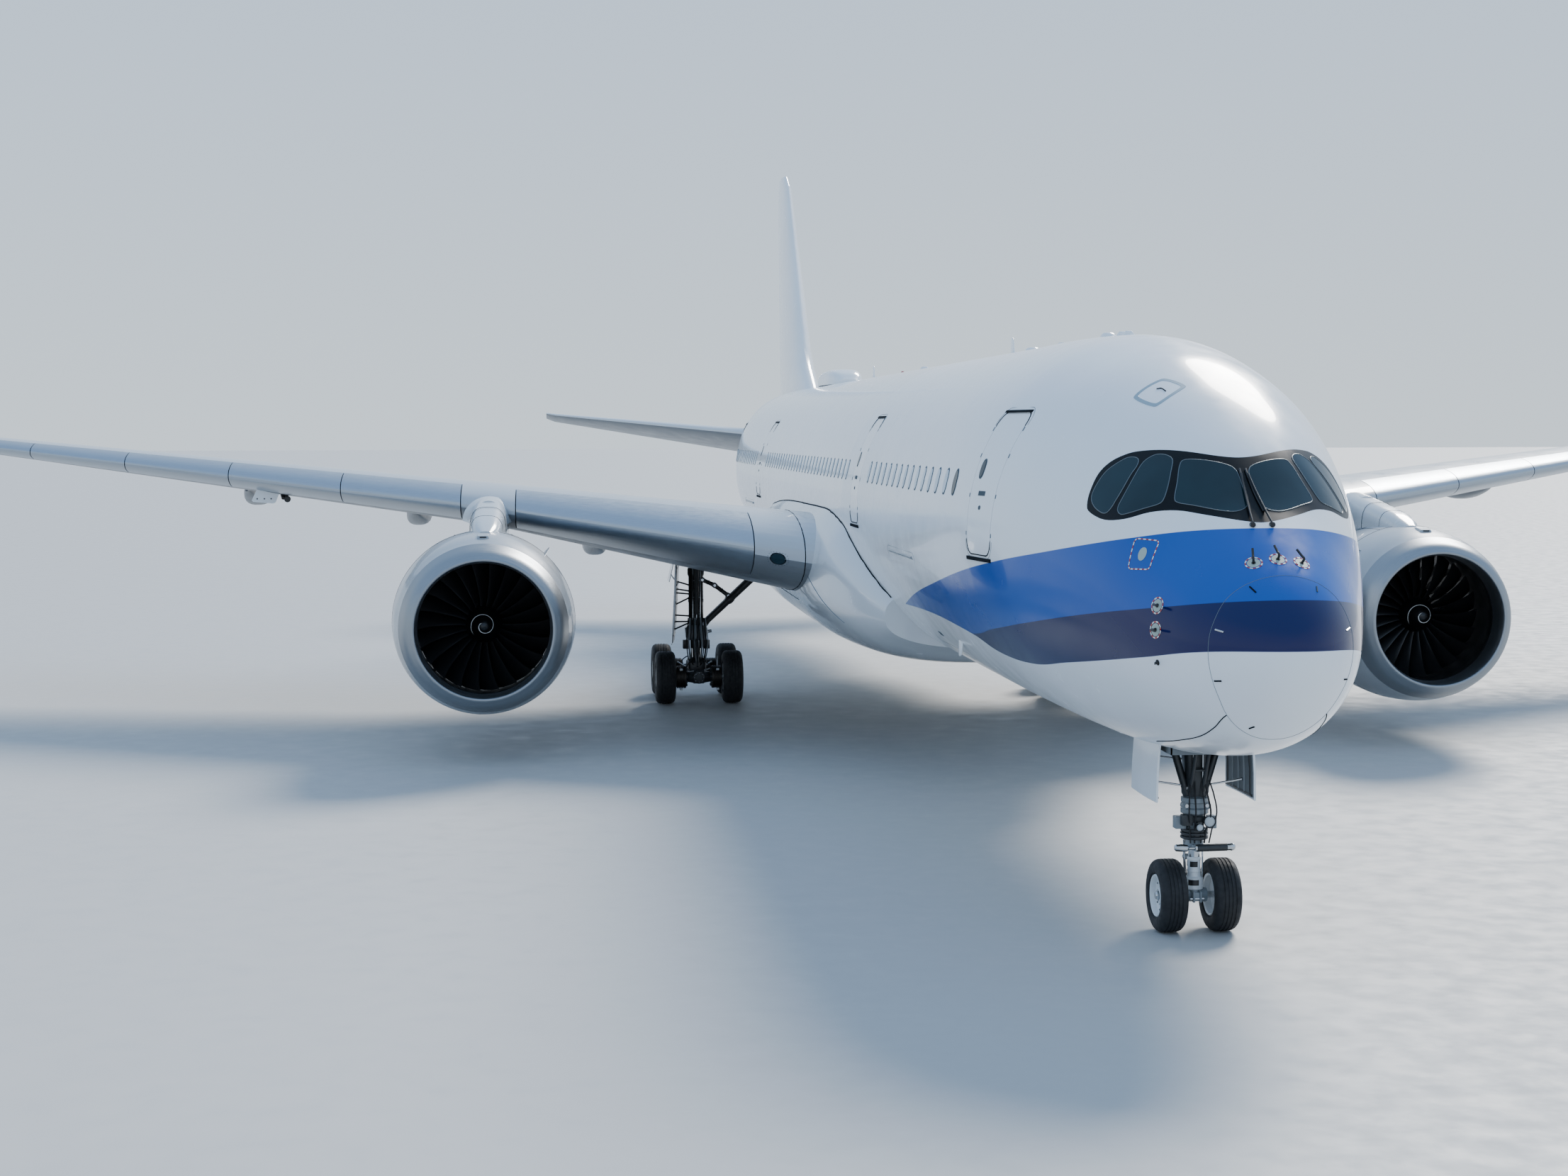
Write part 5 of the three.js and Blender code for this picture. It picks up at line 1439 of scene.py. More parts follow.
def arc(radius, start, end, steps=24):
    points = []
    for i in range(steps + 1):
        angle = math.radians(start + (end - start) * i / steps)
        points.append((radius * math.cos(angle), radius * math.sin(angle)))
    return points


def hinged_surface(whole, hinge, radius_at, up, down, reach):
    """A control surface with a round nose on its hinge line, and the cut that clears it."""
    height = 1.2
    up += COVE_SLACK
    down += COVE_SLACK

    def moving(distance):
        r = radius_at(distance) * 0.985
        return [(reach, height), (0, height), *arc(r, 90, 270), (0, -height), (reach, -height)]

    def cove(distance):
        r = radius_at(distance) + RUNNING
        upper = (-height * math.tan(math.radians(up)), height)
        lower = (-height * math.tan(math.radians(down)), -height)
        return [(reach, height), upper, *arc(r, 90 + up, 270 - down), lower, (reach, -height)]

    surface = largest(common(whole, hinge.space(moving, END_GAP, hinge.length - END_GAP)))
    return surface, hinge.space(cove, -RUNNING, hinge.length + RUNNING)


def linear(ends, length):
    return lambda distance: ends[0] + (ends[1] - ends[0]) * distance / length


def middle_hinge(skins_of, span, fraction):
    """A hinge midway between the skins, and the radius of the surface's nose along it."""
    ends = [skins_of(x, fraction) for x in span]
    hinge = Hinge(*(upper.lerp(lower, 0.5) for upper, lower in ends))
    return hinge, linear([(upper - lower).length * 0.49 for upper, lower in ends], hinge.length)


def nose_region(x0, x1, gap):
    """The space ahead of the line where a slat or droop nose parts from the wing."""
    rings = []
    for x in (x0, x1):
        upper = wing_skins(x, SLAT_UPPER_FRACTION)[0]
        lower = wing_skins(x, SLAT_LOWER_FRACTION)[1]
        along = (upper - lower).normalized()
        top, bottom = upper + along * 0.5, lower - along * 0.5
        shift = Vector((0, gap, 0))
        ahead = [Vector((x, p.y - 3, p.z)) for p in (bottom, top)]
        rings.append([p + shift for p in (top, bottom, *ahead)])
    return loft_mesh(rings)


def track_whole(x, hinge):
    """A canoe-shaped fairing under the wing, and its place along the flap's hinge."""
    share = (x - hinge.start.x) / (hinge.end.x - hinge.start.x)
    centre = hinge.start.lerp(hinge.end, share)
    around = oval(28, TRACK_POWER)
    rings = []
    steps = 30
    for i in range(steps + 1):
        t = i / steps
        station = centre.y - TRACK_FORE + (TRACK_FORE + TRACK_AFT) * t
        fraction = min(fraction_at(x, station), 0.995)
        skin = wing_skins(x, fraction)[1].z
        swell = max(math.sin(math.pi * t**1.25), 0.03) ** 0.6
        depth, half_width = TRACK_DEPTH * swell, TRACK_HALF_WIDTH * swell
        middle, half = skin - (depth - TRACK_SUNK) / 2, (depth + TRACK_SUNK) / 2
        rings.append([Vector((x + half_width * across, station, middle + half * upward))
                      for across, upward in around])
    return loft_mesh(rings), share * hinge.length


def track_pieces(x, hinge):
    """A track fairing, split round the flap's hinge into its fixed and its moving part."""
    whole, distance = track_whole(x, hinge)
    side, reach, height = 0.6, 5, 1.5
    r = TRACK_BEARING_RADIUS

    def moving(_):
        return [(reach, height), (0, height), *arc(r - 0.006, 90, 270), (0, -height),
                (reach, -height)]

    def fixed(_):
        low = (-height * math.tan(math.radians(FLAP_TRAVEL + 4)), -height)
        return [(reach, height), (-RUNNING, height), *arc(r + RUNNING, 93, 270 - FLAP_TRAVEL - 3),
                low, (reach, -height)]

    span = (distance - side, distance + side)
    return (largest(cut(whole, hinge.space(fixed, *span))),
            largest(common(whole, hinge.space(moving, *span))))


def build_wing():
    whole = loft_mesh([wing_ring(row) for row in smooth_rows(WING, 2, 6)])
    flaps = [flap_parts(whole, index) for index in range(len(FLAPS))]
    cuts = [flap_cut for _, flap_cut, _ in flaps]
    hinge, radius_at = middle_hinge(wing_skins, AILERON_SPAN, AILERON_FRACTION)
    aileron, aileron_cut = hinged_surface(whole, hinge, radius_at, AILERON_TRAVEL, AILERON_TRAVEL, 2)
    cuts.append(aileron_cut)
    nose_parts = []
    for name, span, seams in (("droop_nose", DROOP_NOSE, []), ("slats", SLATS, SLAT_SEAMS)):
        part = largest(common(whole, nose_region(*span, 0)))
        for x in seams:
            part = cut(part, prism(rectangle(0, 60, -3, 20), "x", x - SEAM_GAP / 2, x + SEAM_GAP / 2))
        nose_parts.append((name, part))
        cuts.append(nose_region(span[0] - SEAM_GAP, span[1] + SEAM_GAP, NOSE_GAP))
    wing = largest(cut(whole, *cuts))
    for side, suffix in SIDES:
        skins = [Skin(on_side(side, whole))]
        wing_mesh = on_side(side, wing)
        for v in wing_mesh.vertices:
            v.co.x = min(max(v.co.x, -HALF_SPAN), HALF_SPAN)
        piece(f"wing_{suffix}_skin", wing_mesh, "wing", replaces=[f"wing_{suffix}"],
              skins=skins, under="wing_shaded_under")
        for name, part in nose_parts:
            piece(f"{name}_{suffix}_skin", on_side(side, part), "metal",
                  replaces=[f"{name}_{suffix}"], skins=skins)
        for (name, *_), (flap, _, _) in zip(FLAPS, flaps):
            piece(f"{name}_{suffix}_skin", on_side(side, flap), "wing", body=flap_body(name, suffix),
                  replaces=[f"{name}_{suffix}"], skins=skins, under="wing_shaded_under")
        piece(f"aileron_{suffix}_skin", on_side(side, aileron), "wing", body=f"{suffix}_aileron",
              replaces=[f"aileron_{suffix}"], skins=skins, under="wing_shaded_under")
        number = 0
        for (name, *_), (_, _, tracks) in zip(FLAPS, flaps):
            for fixed, moving in tracks:
                number += 1
                track = f"track_fairing_{number}_{suffix}"
                # The track fairings are wholly in the darker grey of painted shade.
                piece(track + "_fore", on_side(side, fixed), "wing_shaded_under")
                piece(track + "_aft", on_side(side, moving), "wing_shaded_under",
                      body=flap_body(name, suffix))


def flap_body(name, suffix):
    return f"{suffix}_{name.removeprefix('flap_')}_flap"


def flap_parts(whole, index):
    """A port flap, the cut that clears it, and its track fairings' fixed and moving parts."""
    _, x0, station0, x1, station1, drop = FLAPS[index]
    ends = []
    heights = []
    for x, station in ((x0, station0), (x1, station1)):
        upper, lower = wing_skins(x, fraction_at(x, station))
        ends.append(Vector((x, station, lower.z - drop)))
        heights.append(upper.z - ends[-1].z - SHROUD)
    hinge = Hinge(*ends)
    radius_at = linear(heights, hinge.length)
    reach, height, foot = 4, 1.6, -0.1

    def moving(distance):
        r = radius_at(distance) - 0.004
        return [(reach, height), (0, height), *arc(r, 90, 180), (-r, foot), (reach, foot)]

    def cove(distance):
        r = radius_at(distance) + RUNNING
        start = 90 + math.degrees(math.asin(RUNNING / r))
        return [(reach, height), (-RUNNING, height), *arc(r, start, 180), (-r, foot), (reach, foot)]

    flap = largest(common(whole, hinge.space(moving, END_GAP, hinge.length - END_GAP)))
    tracks = [track_pieces(x, hinge) for owner, x in TRACK_FAIRINGS if owner == index]
    return flap, hinge.space(cove, -RUNNING, hinge.length + RUNNING), tracks


# Small parts on the nose and the crown.

# Edge of the radome, as half of its front view. Columns: X, Z.
RADOME_EDGE = [(0, 5.354), (0.41, 5.27), (0.72, 5.05), (0.9, 4.7), (0.94, 4.38), (0.89, 4.08),
               (0.79, 3.83), (0.65, 3.58), (0.47, 3.4), (0.25, 3.28), (0, 3.24)]
# Lightning strips on the radome. Columns: X and Z of both ends, material.
RADOME_STRIPS = [
    (-0.442, 5.22, -0.393, 5.152, "seam"),
    (0.414, 5.214, 0.396, 5.152, "gasket"),
    (-0.869, 4.682, -0.791, 4.659, "steel"),
    (-0.86, 4.029, -0.792, 4.037, "seam"),
    (-0.361, 3.404, -0.311, 3.435, "seam"),
    (0.869, 4.682, 0.791, 4.659, "steel"),
    (0.86, 4.029, 0.792, 4.037, "seam"),
]
# Seam along the lower side of the nose. Columns: station, Z.
LOWER_SEAM = [(0.774, 3.577), (1.129, 3.369), (1.665, 3.182), (2.538, 3.012), (3.413, 2.881)]
# Corner places on the roof, and air data probes and plates. Columns: X, station, Z.
ROOF_HATCH = [(-0.98, 4.24, 7.64), (-0.5, 4.41, 7.91), (-0.26, 4.06, 7.79), (-0.78, 3.77, 7.5)]
FRONT_PROBES = [(-0.3, 0.853, 5.496), (0.016, 0.853, 5.541), (0.327, 0.857, 5.49)]
SIDE_PROBES = [(-1.346, 1.543, 4.915), (-1.379, 1.501, 4.604)]
VANE = (-1.349, 1.489, 4.182)
STATIC_PANEL = (-1.412, 2.1, 5.559)
# Radii of a probe's plate and of the dashes round it, and the length of a dash round a panel.
PLATE_RADIUS = 0.084
DASH_RADIUS = 0.106
DASH_LENGTH = 0.045
# Share of a side at which the roof hatch's corners start to turn.
HATCH_CORNER = 0.17
# Aerials on the crown. Columns: station, X, length, height, half width.
CROWN_AERIALS = [
    (8.1, 0.0, 0.2, 0.07, 0.1),
    (8.5, 0.0, 0.2, 0.07, 0.1),
    (9.3, 0.0, 0.4, 0.08, 0.14),
    (12.6, 0.0, 0.3, 0.07, 0.12),
    (15.0, 0.0, 0.5, 0.08, 0.16),
    (16.9, 0.0, 0.36, 0.34, 0.03),
    (27.4, 0.0, 0.3, 0.09, 0.12),
    (36.0, 0.0, 0.36, 0.36, 0.03),
]
# Aerials and drains under the belly. Columns: station, X, length, depth, half width.
BELLY_AERIALS = [
    (8.2, 0.0, 0.36, 0.28, 0.03),
    (10.59, -2.2, 0.34, 0.24, 0.03),
    (14.8, 0.0, 0.4, 0.3, 0.03),
    (46.0, 0.0, 0.36, 0.26, 0.03),
]
# Aerials thinner than this are blades, the others low domes.
BLADE_AERIAL = 0.1
# An aerial's rings. Columns: share of its height, share of its length.
AERIAL_RINGS = [(-0.15, 1.0), (0.0, 1.0), (0.6, 0.8), (0.92, 0.62), (1.0, 0.35)]
BEACON_STATION = 31.0
ROOT_LIGHT_X = 4.2
# Place of the root light's middle round the wing's nose, in steps of nose_of_wing.
ROOT_LIGHT_LEVEL = 10.4
REFUEL_PANEL = (-16.3, 31.25, 5.74)
# Port wingtip light. Columns: X, station, Z of its ends.
TIP_LIGHT = [(31.2, 41.28, 8.08), (31.7, 42.23, 8.58)]


def onto_skin(q, proud=0.0):
    """The skin point in line with a point, seen from the fuselage's middle."""
    half_width, middle, half_height = section_at(q.y)
    size = math.hypot(q.x / half_width, (q.z - middle) / half_height)
    p = Vector((q.x / size, q.y, middle + (q.z - middle) / size))
    return p + skin_normal(p) * proud


def patch_at(spot, proud):
    """A function that turns lengths across and up the skin from a spot into skin points."""
    centre = onto_skin(Vector(spot))
    normal = skin_normal(centre)
    across = Vector((0, 0, 1)).cross(normal).normalized()
    up = normal.cross(across)
    return lambda u, v: onto_skin(centre + across * u + up * v, proud)


def decal(build, spot, outline, key, proud):
    """A thin patch on the skin. Its outline runs across and up the skin from its spot."""
    at = patch_at(spot, proud)
    points = [at(u * share, v * share) for share in (1.0, 0.5) for u, v in outline] + [at(0, 0)]
    build.add(points, patch_faces(len(outline)), key)


def patch_faces(count):
    """The faces between two rings of points and the point in their middle."""
    faces = []
    for i in range(count):
        j = (i + 1) % count
        faces += [[i, j, count + j, count + i], [count + i, count + j, 2 * count]]
    return faces


def circle(radius_u, radius_v=None, sides=32):
    radius_v = radius_v or radius_u
    return [(radius_u * across, radius_v * upward) for upward, across in oval(sides)]


def dashed(build, spot, path, width, proud):
    """A closed line of red and white dashes on the skin."""
    at = patch_at(spot, proud)
    spots = [Vector(p) for p in path]
    for i, a in enumerate(spots):
        b = spots[(i + 1) % len(spots)]
        along = (b - a).normalized()
        side = Vector((-along.y, along.x)) * width / 2
        corners = [at(*p) for p in (a - side, b - side, b + side, a + side)]
        build.add(corners, [[0, 1, 2, 3]], ("red", "mark")[i % 2])


def build_nose_trim():
    trim = Build()
    add_radome_lines(trim)
    add_roof_hatch(trim)
    for spot in FRONT_PROBES + SIDE_PROBES:
        add_probe(trim, spot)
    centre = onto_skin(Vector(VANE))
    normal = skin_normal(centre)
    decal(trim, VANE, circle(0.04), "black", 0.004)
    trim.tube([centre, centre + normal * 0.05], [0.03, 0.012], "black", sides=16)
    tip = centre + normal * 0.05 + Vector((-0.03, -0.12, 0))
    trim.tube([centre + normal * 0.045, tip], 0.008, "black", sides=8)
    panel = rounded(-0.2, 0.2, -0.21, 0.21, 0.05, 3)
    edge = []
    for (u, v), (next_u, next_v) in zip(panel, panel[1:] + panel[:1]):
        steps = max(1, round(math.hypot(next_u - u, next_v - v) / DASH_LENGTH))
        edge += [(u + (next_u - u) * k / steps, v + (next_v - v) * k / steps) for k in range(steps)]
    dashed(trim, STATIC_PANEL, edge, 0.018, 0.003)
    decal(trim, STATIC_PANEL, circle(0.07, 0.095), "plate", 0.003)
    piece("nose_probes_and_seams", trim)


def add_radome_lines(trim):
    edge = closed_curve(RADOME_EDGE + [(-x, z) for x, z in reversed(RADOME_EDGE[1:-1])], 5)
    trim.tube([front_point(p.x, p.y) for p in edge], 0.0035, "panel_line", sides=6, closed=True)
    for x0, z0, x1, z1, key in RADOME_STRIPS:
        path = [front_point(x0 + (x1 - x0) * t, z0 + (z1 - z0) * t, 0.003) for t in (0, 0.5, 1)]
        trim.tube(path, 0.011, key, sides=6)
    for side, _ in SIDES:
        path = [side_point(side, p.x, p.y) for p in open_curve(LOWER_SEAM)]
        trim.tube(path, 0.008, "seam", sides=6)


def add_roof_hatch(trim):
    corners = [onto_skin(Vector(c)) for c in ROOF_HATCH]
    middle = onto_skin(sum(corners, Vector((0, 0, 0))) / 4)
    normal = skin_normal(middle)
    across = Vector((0, 0, 1)).cross(normal).normalized()
    flat = [Vector(((c - middle).dot(across), (c - middle).dot(normal.cross(across))))
            for c in corners]
    turns = [c.lerp(other, HATCH_CORNER) for i, c in enumerate(flat)
             for other in (flat[i - 1], flat[(i + 1) % 4])]
    outline = closed_curve(turns, 6)
    rings = []
    for share, proud in ((1.08, 0.0), (1.07, 0.003), (0.88, 0.003), (0.87, 0.0)):
        at = patch_at(middle, proud)
        rings.append([at(p.x * share, p.y * share) for p in outline])
    trim.loft(rings, "hatch", caps=False)
    at = patch_at(middle, 0.006)
    handle = [at(0.12 * t, 0.05 - 0.1 * t * t) for t in (-0.4, 0.2, 0.9)]
    trim.tube(open_curve(handle, 5), 0.008, "seam", sides=6)


def add_probe(trim, spot):
    decal(trim, spot, circle(PLATE_RADIUS), "plate", 0.003)
    dashed(trim, spot, circle(DASH_RADIUS, sides=16), 0.02, 0.004)
    centre = onto_skin(Vector(spot))
    normal = skin_normal(centre)
    up = normal.cross(Vector((0, 0, 1)).cross(normal).normalized())
    heading = Vector((0, -1, 0))
    if spot in FRONT_PROBES:
        heading = (up * 0.85 + Vector((-0.15, 0, 0.25))).normalized()
    out = centre + normal * 0.07
    trim.tube([centre, centre + normal * 0.012], [0.03, 0.026], "black", sides=16)
    path = open_curve([centre, out, out + heading * 0.06, out + heading * 0.16], 4)
    trim.tube(path, 0.017, "black", sides=8)


def build_aerials():
    aerials = Build()
    for rows, top in ((CROWN_AERIALS, 1), (BELLY_AERIALS, -1)):
        for station, x, length, tall, half_width in rows:
            rings = []
            for share, shrink in AERIAL_RINGS:
                sweep = 0.22 * share if half_width < BLADE_AERIAL else 0
                wide = shrink if half_width > BLADE_AERIAL else 1 - 0.5 * max(share, 0)
                ring = []
                for u, v in circle(1.0, sides=20):
                    y = station + length * (0.5 + 0.5 * u * shrink + sweep)
                    half, middle, reach = section_at(y)
                    level = reach * math.sqrt(1 - (x / half) ** 2)
                    ring.append(Vector((x + half_width * wide * v, y,
                                        middle + top * (level + tall * share))))
                rings.append(ring)
            aerials.loft(rings, "white")
    piece("aerials", aerials)


def build_lights():
    lights = Build()
    stand = upright(0, BEACON_STATION, crown_at(BEACON_STATION) - 0.01)
    lights.lathe([(0, -0.03), (0.09, -0.03), (0.09, 0.02), (0.06, 0.03), (0, 0.03)], "white",
                 stand, 24)
    lights.lathe([(0, 0.02), (0.05, 0.02), (0.05, 0.05), (0.03, 0.075), (0, 0.08)], "red",
                 stand, 24)
    start, end = (Vector(p) for p in TIP_LIGHT)
    for side, colour in ((PORT, "red"), (STARBOARD, "green")):
        tip = [start.lerp(end, t) for t in (0, 0.4, 0.8, 1.0)]
        tip = [Vector((side * p.x, p.y, p.z)) for p in tip]
        lights.tube(open_curve(tip, 4), [0.03] * 12 + [0.02], colour, sides=10)
    piece("beacons_and_wingtip_lights", lights)


def nose_of_wing(x, steps=16, reach=0.035):
    """Points round the wing's nose from its lower to its upper side."""
    low = [wing_skins(x, reach * (1 - i / steps) ** 2)[1] for i in range(steps)]
    high = [wing_skins(x, reach * (i / steps) ** 2)[0] for i in range(steps + 1)]
    return low + high


def build_wing_root_light(side, suffix):
    """A landing light in the wing's nose, beside the fairing."""
    lamp = Build()

    def at(u, v, proud):
        x = ROOT_LIGHT_X + u
        line = nose_of_wing(x)
        where = ROOT_LIGHT_LEVEL + v
        k = int(min(max(where, 0), len(line) - 2))
        along = (line[k + 1] - line[k]).normalized()
        p = line[k].lerp(line[k + 1], where - k) + Vector((0, -along.z, along.y)) * proud
        return Vector((side * p.x, p.y, p.z))

    for size, proud, key in ((1.0, 0.004, "seam"), (0.86, 0.008, "dark_pane")):
        points = [at(0.17 * size * share * u, 4.0 * size * share * v, proud)
                  for share in (1.0, 0.5) for u, v in circle(1.0, sides=36)]
        lamp.add(points + [at(0, 0, proud)], patch_faces(36), key)
    for u, v in circle(1.0, sides=22):
        spot = at(0.22 * u, 4.9 * v, 0.002)
        lamp.lathe([(0, -0.006), (0.008, -0.006), (0.008, 0.002), (0, 0.004)], "gasket",
                   Matrix.Translation(spot), sides=8)
    piece(f"landing_light_{suffix}", lamp)


def build_refuel_panel():
    """The open refuelling panel under the starboard wing's leading edge."""
    panel = Build()
    x, station, z = REFUEL_PANEL
    cover = [(-0.3, 0.0), (0.3, 0.0), (0.16, -0.34), (0.1, -0.37), (-0.4, -0.33), (-0.44, -0.29)]
    panel.loft([[Vector((x + dx, station + thick, z + dz)) for dx, dz in cover]
                for thick in (0.0, 0.03)], "white")
    for dx in (-0.3, -0.12, 0.05):
        panel.lathe([(0, -0.006), (0.02, -0.006), (0.02, 0), (0, 0)], "gear_dark",
                    Matrix.Translation((x + dx, station, z - 0.25)), 12)
    for dx in (0.34, 0.42):
        path = [(x + dx, station + 0.1, z + 0.02), (x + dx, station + 0.06, z - 0.16),
                (x + dx + 0.02, station - 0.02, z - 0.24)]
        panel.tube(path, [0.06, 0.06, 0.05], "black", sides=16)
    panel.lathe([(0, -0.04), (0.075, -0.03), (0.085, 0.0), (0.075, 0.03), (0, 0.04)], "black",
                Matrix.Translation((x + 0.46, station - 0.02, z - 0.26)), 24)
    lining = [wing_skins(u, f)[1] for u, f in rectangle(16.0, 16.6, 0.11, 0.16)]
    panel.loft([[Vector((-p.x, p.y, p.z + drop)) for p in lining] for drop in (0.01, -0.004)], "bay")
    piece("refuel_panel_right", panel)


# Engines.

def engine_place(side):
    return (Matrix.Translation((side * ENGINE_X, INTAKE_STATION, ENGINE_Z))
            @ Matrix.Rotation(math.radians(-side * TOE_IN), 4, "Z"))


def fine_profile(profile, steps=8):
    return [(p.x, p.y) for p in open_curve([Vector(q) for q in profile], steps)]


def blade_rings(turn):
    rings = []
    sections = open_curve([Vector((r, c, a)) for r, c, a, _, _ in BLADE_SECTIONS], 4)
    extras = open_curve([Vector((t, lean, 0)) for _, _, _, t, lean in BLADE_SECTIONS], 4)
    for (radius, chord, twist), (thickness, lean, _) in zip(sections, extras):
        angle = math.radians(twist)
        ring = []
        for across, upward in oval(16):
            u = -chord / 2 * upward
            v = thickness / 2 * across + BLADE_BOW * (1 - (2 * u / chord) ** 2)
            axial = u * math.cos(angle) - v * math.sin(angle)
            around = (u * math.sin(angle) + v * math.cos(angle) + lean) / radius + turn
            ring.append(Vector((radius * math.sin(around), BLADE_MIDDLE + axial,
                                radius * math.cos(around))))
        rings.append(ring)
    return rings


def build_engine(side, suffix):
    place = engine_place(side)
    lip = Build().lathe(fine_profile(LIP_PROFILE) + [LIP_BACK], "lip", place, ENGINE_SIDES,
                        closed=True)
    piece(f"intake_lip_{suffix}_skin", lip, replaces=[f"intake_lip_{suffix}"])
    cowl = Build()
    for profile, key in ((fine_profile(COWL_PROFILE), "cowl"), (fine_profile(COWL_INSIDE), "duct"),
                         (COWL_EDGE, "cowl")):
        cowl.lathe(profile, key, place, ENGINE_SIDES)
    mesh = cowl.make()
    drop_caps(mesh)
    piece(f"nacelle_{suffix}_skin", mesh, replaces=[f"nacelle_{suffix}"])
    build_cowl_trim(side, suffix, place)
    build_fan(suffix, place)
    core = Build()
    core.lathe([(0, 2.47), (0.42, 2.47), *fine_profile(CORE_PROFILE)[8:]], "nozzle", place, 96)
    core.lathe(PLUG_PROFILE, "nozzle", place, 64)
    # The vanes take the near-black of painted shade too.
    vane = [[Vector((x, y, z)) for x, y in VANE_SECTION] for z in VANE_RADII]
    for i in range(VANE_COUNT):
        angle = math.tau * (i + 0.5) / VANE_COUNT
        core.loft(vane, "duct", place @ Matrix.Rotation(angle, 4, "Y"))
    piece(f"engine_core_{suffix}_skin", core, replaces=[f"engine_core_{suffix}"])
    build_pylon(side, suffix)


def build_fan(suffix, place):
    fan = Build()
    for i in range(BLADE_COUNT):
        # The blades' near-black colour is painted shade.
        fan.loft(blade_rings(math.tau * i / BLADE_COUNT), "blade", place)
    back = SPINNER_PROFILE[-1][1]
    fan.lathe(fine_profile(SPINNER_PROFILE) + [(0, back)], "spinner", place, 64)
    spiral = []
    widths = []
    for i in range(SPIRAL_STEPS):
        t = i / (SPIRAL_STEPS - 1)
        radius = 0.04 + 0.3 * t
        along = lookup(SPINNER_PROFILE, 0, radius) + 0.002
        angle = -3.5 * math.pi * t + 0.9
        spiral.append(place @ Vector((radius * math.sin(angle), along, radius * math.cos(angle))))
        widths.append(0.004 + 0.009 * math.sin(math.pi * min(1, (i + 8) / 97)))
    fan.tube(spiral, widths, "mark", sides=8)
    fan.lathe([(0, 2.1), (0.15, 2.1), (0.15, 2.44), (0, 2.44)], "gear_dark", place, 24)
    piece(f"fan_{suffix}_blades", fan, body=f"{suffix}_fan", replaces=[f"fan_{suffix}"])


def lookup(profile, column, value):
    """The other column of a profile of two, where the given column has a value."""
    other = 1 - column
    for a, b in zip(profile, profile[1:]):
        if a[column] <= value <= b[column]:
            share = (value - a[column]) / (b[column] - a[column])
            return a[other] + (b[other] - a[other]) * share
    return profile[-1][other]


def drop_caps(mesh):
    """Takes the big end caps off a mesh of several open lathes."""
    work = bmesh.new()
    work.from_mesh(mesh)
    bmesh.ops.delete(work, geom=[f for f in work.faces if len(f.verts) > 8], context="FACES")
    work.to_mesh(mesh)
    work.free()


def cowl_radius(y):
    return lookup(fine_profile(COWL_PROFILE), 1, y)


def cowl_point(place, angle, y, proud=0.0):
    radius = cowl_radius(y) + proud
    return place @ Vector((radius * math.sin(angle), y, radius * math.cos(angle)))


def build_cowl_trim(side, suffix, place):
    trim = Build()
    for y in COWL_SEAMS:
        seam = [cowl_point(place, math.tau * i / 128, y, -0.003) for i in range(128)]
        trim.tube(seam, 0.008, "seam", sides=6, closed=True)
    for angle in (math.pi, 0.32, -0.32):
        path = [cowl_point(place, angle, COWL_SEAMS[0] + 3.5 * i / 24, -0.002) for i in range(25)]
        trim.tube(path, 0.007, "seam", sides=6)
    scoop = []
    for along, wide, high in SCOOP:
        base = cowl_radius(along) - 0.02
        scoop.append([place @ Vector((x * wide, along, base + (0.02 + high) * h))
                      for x, h in ((-1, 0), (-0.8, 1), (0.8, 1), (1, 0))])
    trim.loft(scoop, "cowl")
    base = cowl_radius(1.02)
    trim.loft([[place @ Vector((x, y, base + z)) for z, x in rectangle(0.008, 0.036, -0.07, 0.07)]
               for y in (0.975, 1.01)], "black")
    lean = Matrix.Rotation(math.radians(STRAKE_LEAN * side), 4, "Y")
    rings = []
    for y, tall in STRAKE:
        section = ((-0.02, -0.03), (0.02, -0.03), (0.006, tall), (-0.006, tall))
        rings.append([place @ (lean @ Vector((x, y, cowl_radius(y) + rise)))
                      for x, rise in section])
    trim.loft(rings, "cowl")
    piece(f"cowl_trim_{suffix}", trim)


# Pylon. Columns: station, half width, foot height, top height.
PYLON = [
    (22.95, 0.16, 4.6, 4.99),
    (23.25, 0.29, 4.4, 5.11),
    (23.7, 0.36, 4.2, 5.25),
    (25.2, 0.42, 4.1, 5.47),
    (26.1, 0.43, 3.8, 5.6),
    (26.5, 0.43, 3.6, 5.62),
    (28.2, 0.42, 3.65, 5.62),
    (29.0, 0.4, 4.08, 5.6),
    (30.3, 0.32, 4.55, 5.5),
    (31.4, 0.22, 4.8, 5.38),
    (32.1, 0.12, 4.95, 5.3),
]
PYLON_POWER = 3.2
# Seams over the pylon. Columns: station, half width, top height.
PYLON_SEAMS = [(24.0, 0.37, 5.29), (25.0, 0.418, 5.45)]


def build_pylon(side, suffix):
    middle_x = side * ENGINE_X
    around = oval(48, PYLON_POWER)
    rings = []
    for station, half_width, foot, top in PYLON:
        middle, half = (top + foot) / 2, (top - foot) / 2
        rings.append([Vector((middle_x + half_width * across, station, middle + half * upward))
                      for across, upward in around])
    pylon = Build().loft(rings, "pylon")
    flare = []
    for i in range(13):
        t = i / 12
        wide, low = 0.42 + 0.22 * t**2, 5.0 + 0.08 * t
        flare.append([Vector((middle_x + wide * math.cos(math.pi * k / 20), 25.75 + 0.85 * t,
                              low + 0.58 * math.sin(math.pi * k / 20))) for k in range(21)])
    pylon.loft(flare, "pylon")
    for station, half_width, top in PYLON_SEAMS:
        edge = []
        for k in range(21):
            angle = math.pi * k / 20 - math.pi / 2
            across, upward = math.sin(angle), math.cos(angle)
            size = (abs(across) ** PYLON_POWER + abs(upward) ** PYLON_POWER) ** (-1 / PYLON_POWER)
            edge.append(Vector((middle_x + half_width * size * across, station,
                                4.78 + (top - 4.775) * size * upward)))
        pylon.tube(edge, 0.005, "seam", sides=6)
    piece(f"pylon_{suffix}_skin", pylon, replaces=[f"pylon_{suffix}"], angle=40)


# Fin and tailplanes.

